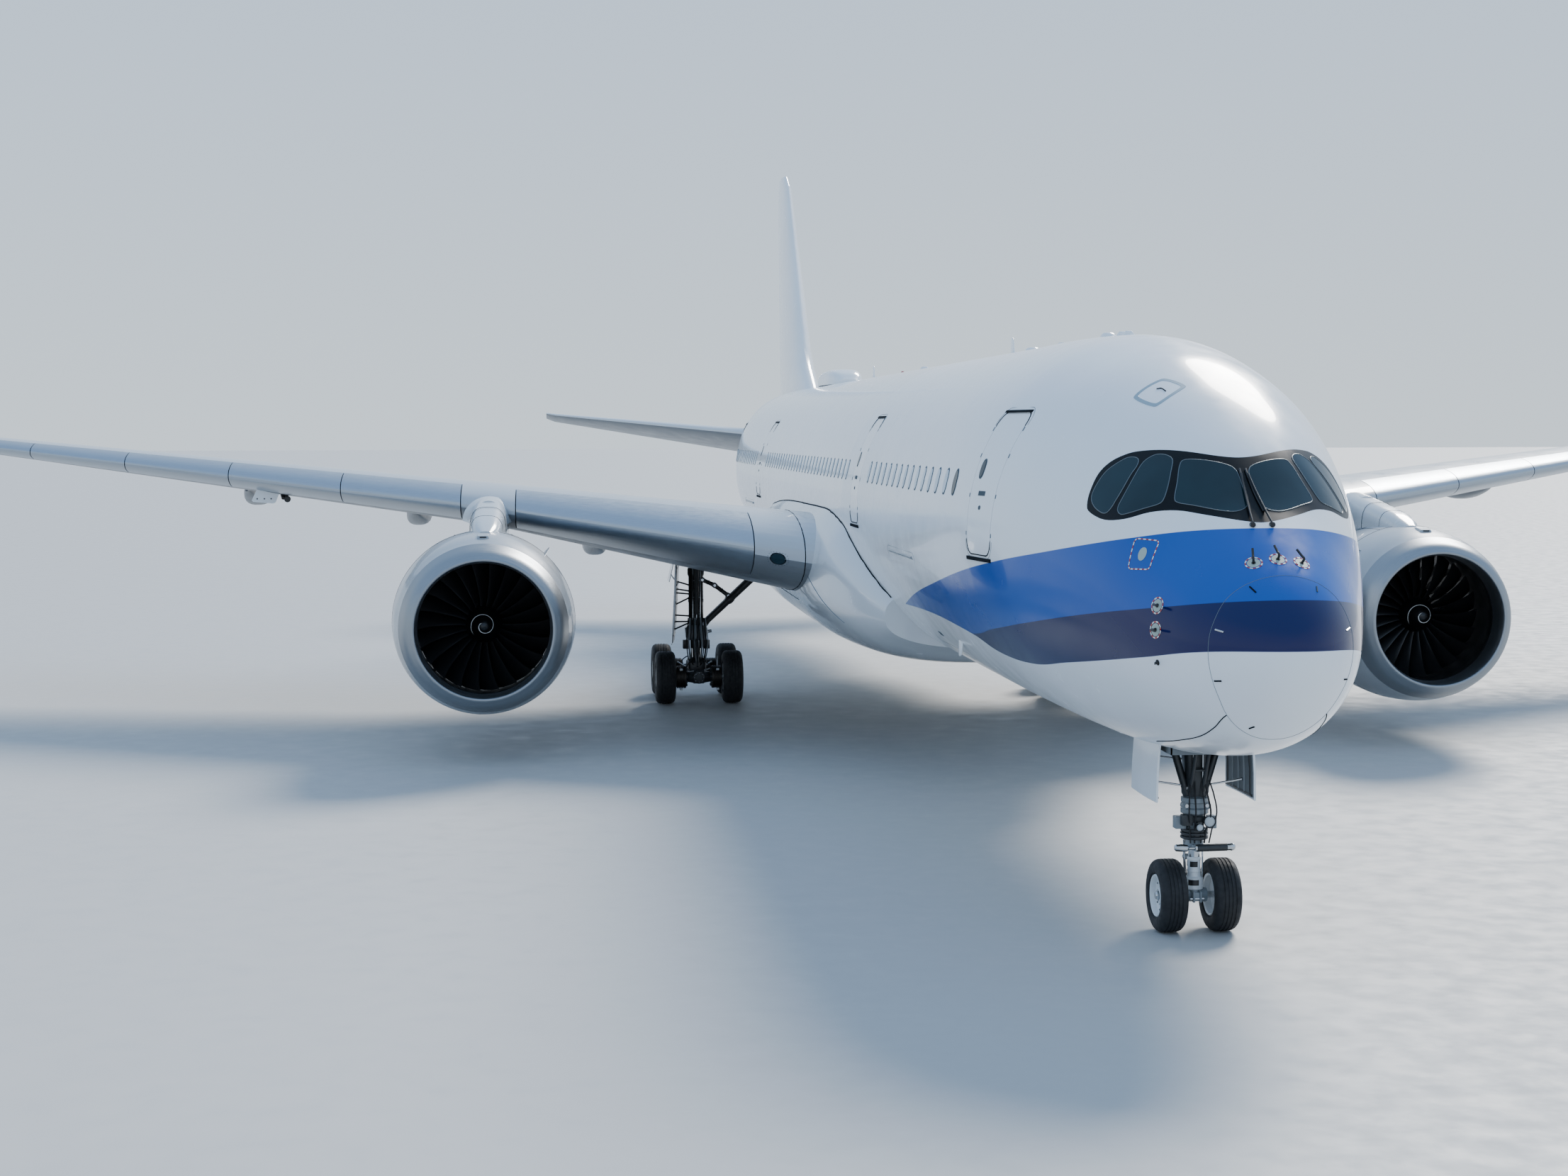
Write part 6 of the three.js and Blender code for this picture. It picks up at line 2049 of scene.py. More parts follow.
def build_fin():
    whole = loft_mesh([fin_ring(row) for row in FIN])
    skins = [Skin(whole)]
    hinge = Hinge(*(Vector((0, station, z)) for station, z in RUDDER_HINGE))
    radii = []
    for station, z in RUDDER_HINGE:
        nose, tail = (skins_at(FIN, fin_ring, z, end)[0].y for end in (0, 1))
        fraction = (station - nose) / (tail - nose)
        radii.append(abs(skins_at(FIN, fin_ring, z, fraction)[0].x) * 0.98)
    rudder, rudder_cut = hinged_surface(whole, hinge, linear(radii, hinge.length), RUDDER_TRAVEL,
                                        RUDDER_TRAVEL, 4)
    piece("fin_skin", largest(cut(whole, rudder_cut)), "white", replaces=["fin"],
          skins=skins)
    piece("rudder_skin", rudder, "white", body="rudder_surface", replaces=["rudder"],
          skins=skins)


def build_tailplanes():
    whole = loft_mesh([tailplane_ring(row) for row in TAILPLANE])
    hinge, radius_at = middle_hinge(
        lambda x, fraction: skins_at(TAILPLANE, tailplane_ring, x, fraction),
        ELEVATOR_SPAN, ELEVATOR_FRACTION)
    elevator, elevator_cut = hinged_surface(whole, hinge, radius_at, ELEVATOR_UP, ELEVATOR_DOWN, 3)
    fixed = largest(cut(whole, elevator_cut))
    for side, suffix in SIDES:
        skins = [Skin(on_side(side, whole))]
        piece(f"tailplane_{suffix}_skin", on_side(side, fixed), "fairing",
              replaces=[f"tailplane_{suffix}"], skins=skins, under="wing_shaded_under")
        piece(f"elevator_{suffix}_skin", on_side(side, elevator), "wing",
              body=f"{suffix}_elevator", replaces=[f"elevator_{suffix}"],
              skins=skins, under="wing_shaded_under")


# Landing gear.

def upright(x, station, z=0.0):
    """Stands a lathe's length along Z."""
    return Matrix.Translation((x, station, z)) @ Matrix.Rotation(math.pi / 2, 4, "X")


def sideways(x, station, z, side=1):
    """Lays a lathe's length along X, outward for a side."""
    return Matrix.Translation((x, station, z)) @ Matrix.Rotation(-side * math.pi / 2, 4, "Z")


def strut(build, start, end, rows, key, sides=20):
    """A round strut. Columns of rows: share of the length, radius."""
    start, end = Vector(start), Vector(end)
    path = [start.lerp(end, share) for share, _ in rows]
    build.tube(path, [radius for _, radius in rows], key, sides=sides)


def rod(end, eye, shaft, *shares):
    """A strut's rows with an eye near each end. Shares are where eye, shaft, shaft and eye start."""
    return list(zip((0, *shares, 1), (end, eye, shaft, shaft, eye, end)))


def block(build, at, rows, corner, key):
    """A block with rounded corners. Columns of rows: height, half width, half length."""
    outline = rounded(-1, 1, -1, 1, corner, 4)
    build.loft([[at(half_x * u, half_y * v, z) for u, v in outline] for z, half_x, half_y in rows],
               key)


def fork(build, point, axis, radius, width, key):
    """A round lug with its pin, the pin along an axis."""
    point, axis = Vector(point), Vector(axis).normalized()
    for length, thick, part, sides in ((0.5, 1, key, 24), (0.64, 0.45, "steel", 16)):
        reach = axis * width * length
        build.tube([point - reach, point + reach], radius * thick, part, sides=sides)


def link_arm(build, start, end, wide_start, wide_end, thickness, key):
    """A flat arm between two pins, with an opening down its middle."""
    start, end = Vector(start), Vector(end)
    along = (end - start).normalized()
    across = Vector((1, 0, 0))
    up = along.cross(across).normalized()
    for side in (1, -1):
        rings = []
        for share, wide in ((0, wide_start), (0.5, (wide_start + wide_end) / 2), (1, wide_end)):
            middle = start.lerp(end, share) + across * side * wide * 0.78
            half = wide * 0.22
            rings.append([middle + across * half * u + up * thickness / 2 * v
                          for u, v in ((-1, -1), (1, -1), (1, 1), (-1, 1))])
        build.loft(rings, key)
    for share, wide in ((0.02, wide_start), (0.98, wide_end)):
        middle = start.lerp(end, share)
        build.tube([middle - across * wide, middle + across * wide], thickness * 0.75, key, sides=16)


def on_ring(place, radius, along, angle):
    spot = Vector((radius * math.sin(angle), along, radius * math.cos(angle)))
    return place @ Matrix.Translation(spot)


def bolts(build, place, ring_radius, along, count, size, key, height=0.012):
    top = height * 1.4
    profile = [(0, 0), (size, 0), (size, height), (size * 0.6, top), (0, top)]
    for i in range(count):
        build.lathe(profile, key, on_ring(place, ring_radius, along, math.tau * i / count), sides=6)


def tyre_profile(radius, half, rim):
    """A closed tyre section from rim to rim. Columns: radius, length."""
    low = [(rim + (radius - rim) * u, -half * v) for u, v in TYRE_WALL]
    tread = []
    depth = radius * 0.018
    for groove in TYRE_GROOVES:
        for offset, sunk in ((-0.055, 0), (-0.045, 1), (0.045, 1), (0.055, 0)):
            along = half * (groove + offset)
            tread.append((radius * (1 - 0.01 * (along / half) ** 2) - depth * sunk, along))
    high = [(r, -along) for r, along in reversed(low)]
    return low + tread + high


def wheel(build, spot, side, tyre, bolt_count):
    """A tyre with its hub. Side is the outboard direction along X."""
    _, half, rim = tyre
    place = sideways(*spot, side)
    build.lathe(tyre_profile(*tyre), "tyre", place, 96, closed=True)
    for section in (HUB_OUTSIDE, HUB_INSIDE):
        build.lathe([(rim * u, half * v) for u, v in section], "hub", place, 64)
    bolts(build, place, rim * 0.62, half * 0.36, bolt_count, rim * 0.045, "steel")
    size = rim * 0.055
    for i in range(bolt_count):
        hole = on_ring(place, rim * 0.8, half * 0.43, math.tau * (i + 0.5) / bolt_count)
        build.lathe([(0, 0), (size, 0), (size, 0.006), (0, 0.008)], "black", hole, sides=12)


def gear_lamp(build, spot, radius):
    place = Matrix.Translation(spot)
    case = [(0, 0.1), (radius * 0.5, 0.09), (radius * 0.95, 0.02), (radius * 1.12, -0.03),
            (radius * 1.12, -0.045), (radius, -0.045), (radius * 0.96, -0.03)]
    build.lathe(case, "black", place, 32)
    build.lathe([(radius * 0.97, -0.03), (radius * 0.6, -0.042), (0, -0.048)], "lamp", place, 32)


def nose_at(x, y, z):
    """A point from the foot of the nose leg. Y runs aft."""
    return NOSE_GEAR + Vector((x, y, z))


def build_nose_leg():
    at = nose_at
    leg = Build()
    block(leg, at, [(3.12, 0.21, 0.17), (2.75, 0.2, 0.16), (2.4, 0.165, 0.15),
                    (2.05, 0.125, 0.14), (1.93, 0.12, 0.135)], 0.55, "gear_dark")
    leg.lathe([(0, 1.19), (0.12, 1.19), (0.14, 1.21), (0.14, 1.26), (0.128, 1.28), (0.128, 1.52),
               (0.138, 1.54), (0.138, 1.68), (0.17, 1.7), (0.2, 1.72), (0.2, 1.78), (0.165, 1.8),
               (0.165, 1.86), (0.195, 1.88), (0.195, 1.94), (0.13, 1.97), (0, 1.97)], "gear",
              upright(*NOSE_GEAR), 40)
    strut(leg, at(-0.5, 0, 3.05), at(0.5, 0, 3.05), rod(0.09, 0.1, 0.075, 0.1, 0.12, 0.88, 0.9),
          "gear_dark", 24)
    for side, _ in SIDES:
        strut(leg, at(side * 0.43, 0, 3.02), at(side * 0.1, -0.02, 1.92),
              rod(0.05, 0.07, 0.055, 0.08, 0.1, 0.85, 0.9), "gear_dark")
        leg.box(at(side * 0.44 - 0.06, -0.1, 3.0), at(side * 0.44 + 0.06, 0.1, 3.34), "gear_dark",
                bevel=0.015)
        fork(leg, at(side * 0.15, -0.05, 1.83), (0, 1, 0), 0.06, 0.12, "gear")
        fork(leg, at(side * 0.13, -0.02, 2.08), (0, 1, 0), 0.045, 0.1, "gear_dark")
        strut(leg, at(side * 0.1, -0.02, 2.1), at(side * 0.7, -0.05, 2.2),
              rod(0.02, 0.026, 0.015, 0.06, 0.08, 0.92, 0.95), "steel", 12)
        strut(leg, at(side * 0.12, 0.25, 2.45), at(side * 0.66, 0.5, 2.5),
              rod(0.016, 0.022, 0.013, 0.06, 0.08, 0.92, 0.95), "steel", 12)
        strut(leg, at(side * 0.09, -0.06, 2.0), at(side * 0.1, -0.66, 3.2),
              rod(0.03, 0.045, 0.032, 0.05, 0.08, 0.92, 0.95), "gear_dark", 14)
    for share in (0.3, 0.62):
        y, z = -0.06 - 0.6 * share, 2.0 + 1.2 * share
        leg.tube([at(-0.095, y, z), at(0.095, y, z)], 0.02, "gear_dark", sides=10)
    leg.box(at(-0.14, -0.72, 3.1), at(0.14, -0.58, 3.34), "gear_dark", bevel=0.015)
    gear_lamp(leg, at(0.14, -0.26, 1.63), 0.078)
    gear_lamp(leg, at(0.0, -0.25, 1.545), 0.052)
    for low, high, key, bevel in (((-0.1, -0.2, 1.6), (0.2, -0.13, 1.68), "gear_dark", 0.01),
                                  ((-0.24, -0.22, 1.56), (-0.08, -0.1, 1.72), "gear_dark", 0.012),
                                  ((0.17, -0.14, 1.5), (0.29, 0.02, 1.68), "gear", 0.012),
                                  ((-0.31, -0.12, 1.5), (-0.15, 0.04, 1.68), "gear", 0.012)):
        leg.box(at(*low), at(*high), key, bevel=bevel)
    add_steering_cylinder(leg, at)
    for index, (x, sag) in enumerate(((-0.1, 0.05), (-0.04, 0.08), (0.05, 0.06), (0.1, 0.1),
                                      (0.17, 0.04))):
        path = [at(x, -0.13, 2.2), at(x * 1.3, -0.2, 2.0), at(x * 1.5, -0.2 - sag, 1.75),
                at(x * 1.2, -0.18, 1.5), at(x, -0.16, 1.3)]
        leg.tube(open_curve(path, 5), 0.011 + 0.002 * (index % 2), "hose", sides=8)
    for x in (-0.07, 0.07):
        leg.tube([at(x, -0.16, 3.0), at(x, -0.16, 2.2)], 0.012, "steel", sides=8)
    piece("nose_gear_leg_detail", leg, replaces=["nose_gear_leg"])


def add_steering_cylinder(leg, at):
    strut(leg, at(-0.34, -0.18, 1.245), at(-0.14, -0.2, 1.236),
          [(0, 0.03), (0.1, 0.05), (0.5, 0.056), (0.9, 0.05), (1, 0.03)], "steel", 24)
    strut(leg, at(-0.2, -0.2, 1.235), at(0.54, -0.2, 1.245),
          [(0, 0.02), (0.02, 0.032), (0.07, 0.034), (0.09, 0.018), (0.2, 0.018), (0.21, 0.05),
           (0.9, 0.05), (0.92, 0.056), (0.97, 0.05), (1, 0.03)], "steel", 24)
    strut(leg, at(-0.02, -0.2, 1.236), at(0.42, -0.2, 1.243), [(0, 0.053), (1, 0.053)],
          "gear_dark", 24)
    for x in (-0.05, 0.3):
        leg.box(at(x - 0.03, -0.2, 1.2), at(x + 0.03, -0.09, 1.28), "gear", bevel=0.01)


def build_nose_steering():
    at = nose_at
    stand = upright(*NOSE_GEAR)
    steered = Build()
    steered.lathe([(0.152, 1.345), (0.185, 1.345), (0.2, 1.355), (0.2, 1.385), (0.165, 1.39),
                   (0.165, 1.41), (0.2, 1.415), (0.2, 1.44), (0.165, 1.445), (0.165, 1.455),
                   (0.195, 1.46), (0.195, 1.49), (0.152, 1.495)], "gear_dark", stand, 48,
                  closed=True)
    steered.lathe([(0, 0.5), (0.085, 0.5), (0.095, 0.53), (0.095, 0.6), (0.13, 0.62),
                   (0.132, 0.78), (0.1, 0.8), (0.094, 0.86), (0.1, 0.87), (0.1, 0.885),
                   (0.092, 0.9), (0.092, 1.03), (0.1, 1.04), (0.1, 1.06), (0.088, 1.08),
                   (0, 1.08)], "hub", stand, 40)
    steered.lathe([(0, 1.08), (0.082, 1.08), (0.082, 1.19), (0, 1.19)], "steel", stand, 40)
    turns = (-0.58, -0.29, 0, 0.29, 0.58)
    for z, radius in ((0.94, 0.093), (0.68, 0.131)):
        section = [(u, radius) for u in turns] + [(u, radius + 0.006) for u in reversed(turns)]
        strap = [[Vector((r * math.sin(u), y, -r * math.cos(u))) for u, r in section]
                 for y in (z, z + 0.08)]
        for angle in (0.7, 2.85):
            steered.loft(strap, "black", stand @ Matrix.Rotation(angle, 4, "Y"))
    strut(steered, at(-0.18, 0, NOSE_AXLE), at(0.18, 0, NOSE_AXLE),
          rod(0.1, 0.105, 0.1, 0.03, 0.3, 0.7, 0.97), "gear", 32)
    knee = at(0, 0.36, 1.01)
    link_arm(steered, at(0, 0.13, 0.7), knee, 0.105, 0.05, 0.045, "gear_dark")
    link_arm(steered, knee, at(0, 0.2, 1.4), 0.05, 0.105, 0.045, "gear_dark")
    fork(steered, knee, (1, 0, 0), 0.045, 0.1, "gear")
    fork(steered, at(0, 0.14, 0.7), (1, 0, 0), 0.04, 0.22, "gear")
    for side, _ in SIDES:
        x = side * 0.05
        steered.box(at(x - 0.014, -0.215, 0.45), at(x + 0.014, -0.08, 0.61), "gear", bevel=0.008)
        steered.tube([at(side * 0.125, 0.03, 0.62), at(side * 0.13, 0.02, 0.9),
                      at(side * 0.14, 0.05, 1.36)], 0.013, "steel", sides=8)
    steered.box(at(-0.06, -0.19, 0.47), at(0.06, -0.1, 0.59), "gear", bevel=0.01)
    steered.tube([at(-0.1, -0.175, 0.5), at(0.1, -0.175, 0.5)], 0.019, "steel", sides=16)
    piece("nose_gear_steering_detail", steered, body="nose_steering",
          replaces=["nose_gear_steering"])


def build_nose_wheels():
    wheels = Build()
    for side, _ in SIDES:
        spot = nose_at(side * NOSE_WHEEL_X, 0, NOSE_AXLE)
        wheel(wheels, spot, side, NOSE_TYRE, 10)
        wheels.lathe([(0, 0.11), (0.06, 0.11), (0.06, 0.155), (0.045, 0.175), (0, 0.18)], "steel",
                     sideways(*spot, side), 24)
    wheels.tube([nose_at(x, 0, NOSE_AXLE) for x in (-0.38, 0.38)], 0.048, "steel", sides=20)
    piece("nose_wheels_detail", wheels, body="nose_axle", replaces=["nose_wheels"])


def build_nose_door(side, suffix):
    def across(rows, y, bow=0.0):
        return [Vector((side * (x + bow * (3 - z)), y, z)) for x, z in rows]

    door = Build()
    panel = [(0.662, 2.98), (0.692, 2.7), (0.714, 2.35), (0.722, 1.97), (0.706, 1.955),
             (0.692, 1.97), (0.686, 2.35), (0.664, 2.7), (0.634, 2.98)]
    door.loft([across(panel, 3.76 + 1.33 * i / 8, 0.02 * math.sin(math.pi * i / 8))
               for i in range(9)], "white")
    for i in range(5):
        door.tube(across([(0.63, 2.9), (0.675, 2.4), (0.682, 2.02)], 3.9 + 1.05 * i / 4), 0.016,
                  "gear" if i in (1, 2, 3) else "gear_dark", sides=6)
    for x, z in ((0.636, 2.86), (0.682, 2.02)):
        door.tube([(side * x, y, z) for y in (3.82, 5.03)], 0.02, "gear_dark", sides=6)
    liner = [(0.644, 2.92), (0.688, 2.35), (0.69, 2.0), (0.684, 2.0), (0.68, 2.35), (0.638, 2.92)]
    door.loft([across(liner, y) for y in (3.8, 5.05)], "bay")
    for y in (3.95, 4.9):
        fork(door, (side * 0.62, y, 2.96), (0, 1, 0), 0.035, 0.12, "gear")
    piece(f"nose_gear_door_{suffix}_detail", door, replaces=[f"nose_gear_door_{suffix}"])


def build_nose_bay():
    """The lining of the nose gear's bay, with its frames and pipes."""
    bay = Build()
    (x0, y0, _), (x1, y1, roof) = NOSE_BAY
    foot, thick, inset = 2.66, 0.03, 0.01
    left, right, front, back, top = x0 + inset, x1 - inset, y0 + inset, y1 - inset, roof - inset
    for low, high in (((left, front, foot), (x0 + thick, back, top)),
                      ((x1 - thick, front, foot), (right, back, top)),
                      ((left, front, foot), (right, y0 + thick, top)),
                      ((left, y1 - thick, foot), (right, back, top)),
                      ((left, front, roof - thick), (right, back, top))):
        bay.box(low, high, "bay", bevel=0)
    for i in range(7):
        y = y0 + 0.15 + (y1 - y0 - 0.3) * i / 6
        for x in (0.535, -0.535):
            bay.box((x - 0.02, y - 0.015, foot + 0.05), (x + 0.02, y + 0.015, roof - thick), "bay",
                    bevel=0.004)
    for x, z in ((-0.5, 3.22), (-0.46, 3.24), (0.5, 3.2), (0.44, 3.26), (0.4, 3.27)):
        bay.tube([(x, y0 + 0.04, z), (x, y1 - 0.04, z)], 0.014, "steel", sides=8)
    piece("nose_bay_lining", bay)


def build_main_gear(side, suffix):
    base = Vector((side * MAIN_GEAR_X, MAIN_GEAR_STATION, 0))

    def at(x, y, z):
        """A point from the leg's foot. X runs outboard."""
        return base + Vector((side * x, y, z))

    leg = Build()
    add_main_leg(leg, at, upright(*base))
    add_side_braces(leg, at)
    add_leg_pipes(leg, at, side)
    add_leg_door(leg, at)
    knee = at(0, 0.52, 1.42)
    link_arm(leg, at(0, 0.2, 1.78), knee, 0.16, 0.08, 0.06, "gear_dark")
    link_arm(leg, knee, at(0, 0.17, 1.05), 0.08, 0.16, 0.06, "gear_dark")
    fork(leg, knee, (1, 0, 0), 0.06, 0.16, "gear_dark")
    block(leg, at, [(0.834, 0.16, 0.22), (0.9, 0.17, 0.24), (1.05, 0.17, 0.2), (1.13, 0.15, 0.16)],
          0.3, "gear_dark")
    strut(leg, at(0.0, -0.24, 1.62), at(0.0, -0.6, 0.93),
          [(0, 0.03), (0.06, 0.045), (0.1, 0.032), (0.5, 0.032), (0.52, 0.045), (0.94, 0.045),
           (1, 0.03)], "gear_dark", 16)
    piece(f"main_gear_leg_{suffix}_detail", leg, replaces=[f"main_gear_leg_{suffix}"])
    build_bogie(side, suffix, at)
    for y, end in ((-BOGIE_HALF_BASE, "front"), (BOGIE_HALF_BASE, "rear")):
        wheels = Build()
        for out in (-1, 1):
            spot = at(out * MAIN_WHEEL_X, y, MAIN_AXLE)
            wheel(wheels, spot, out * side, MAIN_TYRE, 12)
            wheels.lathe([(0, 0.14), (0.085, 0.14), (0.085, 0.19), (0.065, 0.22), (0, 0.225)],
                         "steel", sideways(*spot, out * side), 24)
        wheels.tube([at(x, y, MAIN_AXLE) for x in (-0.87, 0.87)], 0.068, "steel", sides=20)
        piece(f"main_wheels_{suffix}_{end}_detail", wheels, body=f"{suffix}_{end}_axle",
              replaces=[f"main_wheels_{suffix}_{end}"])


def add_main_leg(leg, at, stand):
    # The main leg's cylinder takes the dark brown-grey of painted shade.
    leg.lathe([(0, 1.8), (0.2, 1.8), (0.215, 1.83), (0.215, 1.95), (0.2, 1.97), (0.2, 2.6),
               (0.21, 2.62), (0.21, 2.68), (0.2, 2.7), (0.2, 3.3), (0.225, 3.36), (0.225, 3.5),
               (0.2, 3.56), (0.2, 4.4), (0, 4.4)], "leg", stand, 48)
    leg.lathe([(0, 1.1), (0.148, 1.1), (0.148, 1.62), (0, 1.62)], "steel", stand, 40)
    leg.lathe([(0, 1.6), (0.17, 1.6), (0.19, 1.62), (0.19, 1.68), (0.175, 1.7), (0.175, 1.76),
               (0.2, 1.78), (0.2, 1.81), (0, 1.81)], "gear_dark", stand, 40)
    block(leg, at, [(1.6, 0.22, 0.2), (1.66, 0.28, 0.24), (1.92, 0.3, 0.24), (2.0, 0.22, 0.21)],
          0.35, "gear")
    strut(leg, at(-0.2, 0, 1.8), at(-0.42, 0, 1.83),
          [(0, 0.06), (0.5, 0.07), (0.6, 0.045), (1, 0.04)], "steel", 20)
    strut(leg, at(0, -0.6, 3.95), at(0, 0.5, 3.95),
          [(0, 0.12), (0.05, 0.14), (0.25, 0.14), (0.3, 0.17), (0.7, 0.17), (0.75, 0.14),
           (1, 0.13)], "leg", 32)


def add_side_braces(leg, at):
    """The two-bar side brace, its folding lock link, and the retraction and drag struts."""
    for y in (-0.09, 0.07):
        strut(leg, at(-0.2, y, 2.02), at(-1.6, y - 0.02, 3.33),
              [(0, 0.06), (0.04, 0.1), (0.08, 0.082), (0.45, 0.088), (0.48, 0.115),
               (0.53, 0.115), (0.56, 0.096), (0.93, 0.1), (0.96, 0.12), (1, 0.09)], "leg", 20)
    for spot, radius, width in (((-0.2, 0, 2.03), 0.11, 0.32), ((-0.89, -0.01, 2.715), 0.08, 0.26),
                                ((-1.58, -0.02, 3.31), 0.09, 0.28)):
        fork(leg, at(*spot), (0, 1, 0), radius, width, "gear_dark")
    fold = [at(-0.17, -0.02, 3.21), at(-0.5, -0.02, 3.06), at(-0.87, -0.02, 2.78)]
    for a, b in zip(fold, fold[1:]):
        strut(leg, a, b, [(0, 0.045), (0.08, 0.075), (0.14, 0.06), (0.46, 0.056), (0.5, 0.075),
                          (0.54, 0.056), (0.86, 0.06), (0.92, 0.075), (1, 0.045)], "leg", 14)
    for p in fold:
        fork(leg, p, (0, 1, 0), 0.075, 0.2, "gear_dark")
    strut(leg, at(0.0, -0.5, 3.95), at(0.0, -0.15, 2.25),
          [(0, 0.06), (0.05, 0.085), (0.1, 0.058), (0.88, 0.058), (0.93, 0.08), (1, 0.06)],
          "leg", 20)
    strut(leg, at(0.1, 0.46, 3.9), at(0.05, 0.18, 2.4),
          [(0, 0.05), (0.05, 0.065), (0.1, 0.045), (0.55, 0.045), (0.56, 0.06), (0.95, 0.06),
           (1, 0.04)], "gear_dark", 20)


def add_leg_pipes(leg, at, side):
    """Valve boxes, hoses and pipes on the front of the main leg."""
    for x in (-0.27, 0.27):
        leg.box(at(x - 0.09 * side, -0.16, 1.36), at(x + 0.09 * side, 0.06, 1.6), "black",
                bevel=0.015)
    for index, x in enumerate((-0.24, -0.2, -0.15, -0.11, -0.06, -0.02, 0.04, 0.08, 0.13, 0.17,
                               0.22)):
        bow = 0.03 + 0.03 * (index % 3)
        path = [at(x, -0.22, 2.2), at(x * 1.1, -0.27, 1.9), at(x * 1.25, -0.27 - bow, 1.6),
                at(x * 1.15, -0.25 - bow, 1.3), at(x * 0.9, -0.2, 0.98)]
        leg.tube(open_curve(path, 6), 0.022 if index % 2 else 0.015,
                 "hose" if index % 3 else "gear", sides=8)
    for x in (-0.1, 0.0, 0.1):
        leg.tube([at(x, -0.21, 3.9), at(x, -0.215, 2.15)], 0.014, "steel", sides=8)
    for z in (2.3, 2.75, 3.2, 3.65):
        leg.tube([at(0.15 * math.cos(a), -0.218 * math.sin(a), z)
                  for a in (0.3, 0.9, 1.57, 2.24, 2.84)], 0.012, "gear", sides=6)


def add_leg_door(leg, at):
    """The door fixed to the main leg, with its lining, ribs and rods."""
    rings = []
    for y, edge in ((-0.56, 0.012), (-0.5, 0.0), (-0.05, 0.0), (0.4, 0.0), (0.46, 0.012)):
        slant = LEG_DOOR_SLANT * (y - LEG_DOOR_FRONT)
        rings.append([at(x - slant, y, z) for x, z in (
            (0.54 + edge, 3.86), (0.565, 3.0), (0.605, 2.2), (0.68, 1.5 + edge),
            (0.7 - edge, 1.5 + edge), (0.655, 2.2), (0.615, 3.0), (0.59 - edge, 3.86))])
    leg.loft(rings, "white")
    # The door's lining and ribs take the dark brown-grey of painted shade.
    rings = []
    for y in (-0.555, 0.42):
        slant = LEG_DOOR_SLANT * (y - LEG_DOOR_FRONT)
        rings.append([at(x - slant, y, z) for x, z in (
            (0.528, 3.8), (0.553, 3.0), (0.594, 2.2), (0.66, 1.56), (0.672, 1.56), (0.607, 2.2),
            (0.567, 3.0), (0.542, 3.8))])
    leg.loft(rings, "leg")
    upper = [(0.62, 3.72), (0.74, 3.2), (0.76, 3.2), (0.64, 3.74)]
    leg.loft([[at(x, y, z) for x, z in upper] for y in (-0.75, 0.1)], "white")
    for z in (1.75, 2.2, 2.65, 3.1, 3.55):
        x = 0.54 + 0.12 * max(0, (3.2 - z) / 1.7)
        leg.tube([at(x, -0.5, z), at(x - 0.1, 0.4, z)], 0.024, "leg", sides=6)
    for low, y, x, high in ((3.06, 0.1, 0.525, 3.17), (2.91, -0.05, 0.525, 2.97),
                            (2.84, -0.2, 0.585, 2.88), (2.74, -0.1, 0.585, 2.54),
                            (2.23, 0.05, 0.585, 2.26), (2.1, -0.15, 0.585, 2.1),
                            (2.07, -0.1, 0.625, 1.87)):
        strut(leg, at(0.17, y, low), at(x, y, high),
              rod(0.02, 0.035, 0.022, 0.06, 0.1, 0.9, 0.94), "leg", 12)
    strut(leg, at(0.56, -0.3, 3.2), at(0.7, -0.3, 3.4), [(0, 0.018), (1, 0.018)], "steel", 10)


def build_bogie(side, suffix, at):
    bogie = Build()
    beam = []
    for y, half_x, low, high in ((-1.02, 0.12, 0.585, 0.815), (-0.75, 0.13, 0.572, 0.828),
                                 (0.75, 0.13, 0.572, 0.828), (1.02, 0.12, 0.585, 0.815)):
        middle, half = (low + high) / 2, (high - low) / 2
        beam.append([at(half_x * u, y, middle + half * v)
                     for u, v in rounded(-1, 1, -1, 1, 0.3, 4)])
    bogie.loft(beam, "gear_dark")
    block(bogie, at, [(0.55, 0.2, 0.3), (0.62, 0.25, 0.36), (1.0, 0.26, 0.34), (1.12, 0.2, 0.24)],
          0.3, "gear_dark")
    for end in (-1, 1):
        add_bogie_end(bogie, at, side, end)
    fork(bogie, at(0, 0, MAIN_AXLE), (1, 0, 0), 0.12, 0.34, "gear_dark")
    piece(f"bogie_beam_{suffix}_detail", bogie, replaces=[f"bogie_beam_{suffix}"])


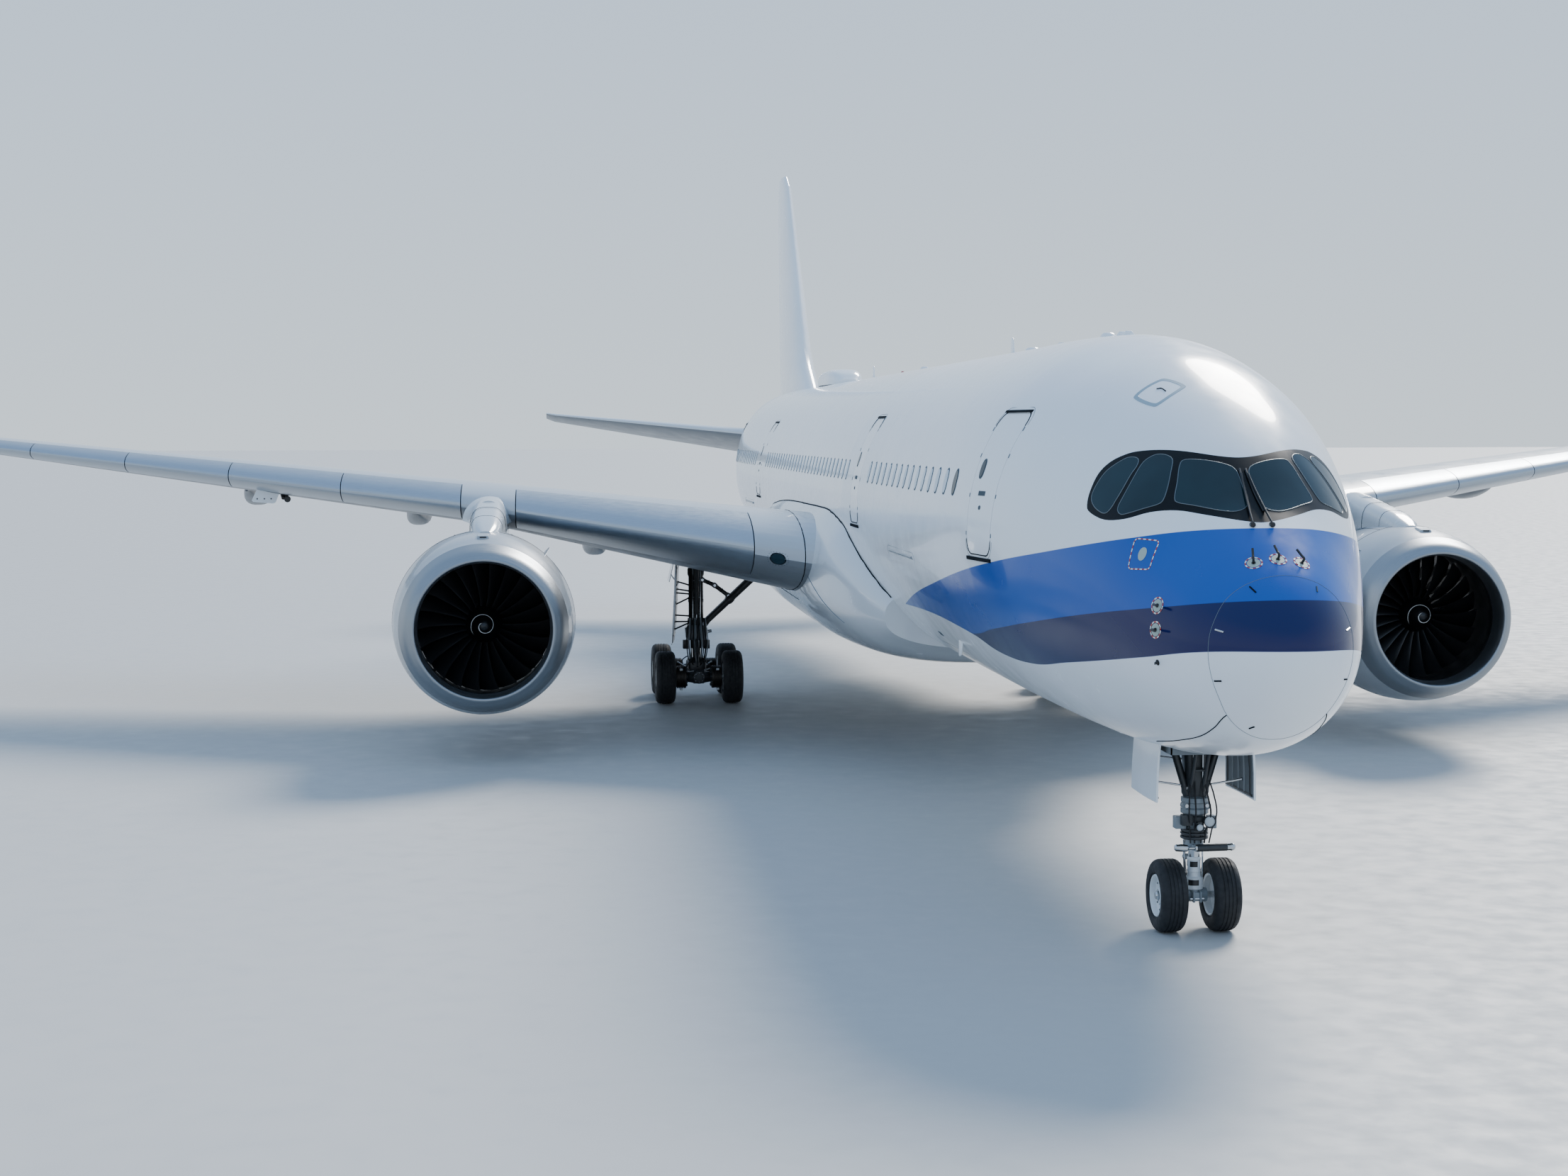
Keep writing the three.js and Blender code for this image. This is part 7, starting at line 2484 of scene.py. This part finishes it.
def add_bogie_end(bogie, at, side, end):
    """Axle tube, cap, brakes, brake rods and hoses at one end of the bogie. End is 1 aft."""
    y = end * BOGIE_HALF_BASE
    strut(bogie, at(-0.6, y, MAIN_AXLE), at(0.6, y, MAIN_AXLE),
          [(0, 0.12), (0.25, 0.12), (0.27, 0.14), (0.37, 0.16), (0.39, 0.18), (0.61, 0.18),
           (0.63, 0.16), (0.73, 0.14), (0.75, 0.12), (1, 0.12)], "gear_dark", 32)
    turn = Matrix.Rotation(0 if end > 0 else math.pi, 4, "Z")
    cap = Matrix.Translation(at(0, y, MAIN_AXLE)) @ turn
    bogie.lathe([(0.17, 0.0), (0.17, 0.16), (0.15, 0.19), (0.1, 0.2), (0.09, 0.215), (0, 0.22)],
                "gear_dark", cap, 40)
    bolts(bogie, cap, 0.12, 0.195, 8, 0.014, "steel")
    stack = [(0.1, -0.13), (0.29, -0.13), (0.3, -0.11)]
    for i in range(5):
        along = -0.1 + 0.045 * i
        stack += [(0.3, along), (0.3, along + 0.026), (0.27, along + 0.028), (0.27, along + 0.042)]
    stack += [(0.28, 0.125), (0.1, 0.125)]
    for out in (-1, 1):
        x = out * BRAKE_X
        place = sideways(*at(x, y, MAIN_AXLE), out * side)
        bogie.lathe(stack, "brake", place, 48)
        bolts(bogie, place @ Matrix.Rotation(math.pi, 4, "Z"), 0.22, 0.13, 9, 0.035, "gear_dark",
              0.03)
        for z in (0.42, 1.0):
            fork(bogie, at(x * 1.02, y + 0.34 * end, z * 0.9 + 0.03), (1, 0, 0), 0.03, 0.07, "hub")
    for x in (-BRAKE_X, BRAKE_X):
        for z in (0.47, 0.93):
            strut(bogie, at(x, y - 0.28 * end, z), at(x * 0.4, y * 0.3, z * 0.5 + 0.33),
                  [(0, 0.018), (0.05, 0.03), (0.08, 0.017), (0.92, 0.017), (1, 0.024)], "hub", 10)
    for x in (-0.3, 0.3):
        path = [at(x * 0.3, y * 0.3, 0.93), at(x * 0.6, y * 0.6, 1.08), at(x, y * 0.9, 0.98),
                at(x * 1.2, y, 0.9)]
        bogie.tube(open_curve(path, 6), 0.015, "hose", sides=8)


# Camera, light and floor.

def build_stage():
    bpy.ops.mesh.primitive_grid_add(size=FLOOR_SIZE, x_subdivisions=8, y_subdivisions=8,
                                    location=(0, 0, -0.001))
    floor = bpy.context.object
    floor.name = "floor"
    floor.data.materials.append(MATERIALS["floor"])
    camera = bpy.data.objects.new("camera", bpy.data.cameras.new("camera"))
    bpy.context.scene.collection.objects.link(camera)
    camera.data.lens = CAMERA_LENS
    camera.data.sensor_width = CAMERA_SENSOR
    camera.data.sensor_fit = "HORIZONTAL"
    camera.data.clip_start = 0.1
    camera.data.clip_end = 2000
    camera.location = TO_ROW @ Vector(CAMERA_PLACE)
    cos_pitch = math.cos(CAMERA_PITCH)
    forward = Vector((math.sin(CAMERA_YAW) * cos_pitch, math.cos(CAMERA_YAW) * cos_pitch,
                      math.sin(CAMERA_PITCH)))
    camera.rotation_mode = "QUATERNION"
    camera.rotation_quaternion = (Quaternion(forward, -CAMERA_ROLL)
                                  @ forward.to_track_quat("-Z", "Y"))
    bpy.context.scene.camera = camera
    sun = bpy.data.objects.new("sun", bpy.data.lights.new("sun", "SUN"))
    bpy.context.scene.collection.objects.link(sun)
    sun.data.energy = SUN_STRENGTH
    sun.data.angle = SUN_ANGLE
    sun.data.color = SUN_COLOR
    sun.rotation_mode = "QUATERNION"
    sun.rotation_quaternion = Vector(SUN_DIRECTION).to_track_quat("-Z", "Y")
    world = bpy.data.worlds.new("studio")
    bpy.context.scene.world = world
    world.use_nodes = True
    tree = world.node_tree
    background = tree.nodes["Background"]
    coordinates = tree.nodes.new("ShaderNodeTexCoord")
    split = tree.nodes.new("ShaderNodeSeparateXYZ")
    ramp = tree.nodes.new("ShaderNodeValToRGB")
    for element, (position, color) in zip(ramp.color_ramp.elements, SKY):
        element.position = position
        element.color = color
    tree.links.new(coordinates.outputs["Generated"], split.inputs[0])
    tree.links.new(split.outputs["Z"], ramp.inputs[0])
    tree.links.new(ramp.outputs[0], background.inputs["Color"])
    background.inputs["Strength"].default_value = SKY_STRENGTH


build_stage()
build_fuselage()
build_cockpit()
build_cabin_windows()
build_belly_fairing()
build_aerial_fairing()
build_wing()
for light_side, light_suffix in SIDES:
    build_wing_root_light(light_side, light_suffix)
build_refuel_panel()
build_nose_trim()
build_aerials()
build_lights()
for engine_side, engine_suffix in SIDES:
    build_engine(engine_side, engine_suffix)
build_fin()
build_tailplanes()
build_nose_leg()
build_nose_steering()
build_nose_wheels()
for door_side, door_suffix in SIDES:
    build_nose_door(door_side, door_suffix)
build_nose_bay()
for gear_side, gear_suffix in SIDES:
    build_main_gear(gear_side, gear_suffix)
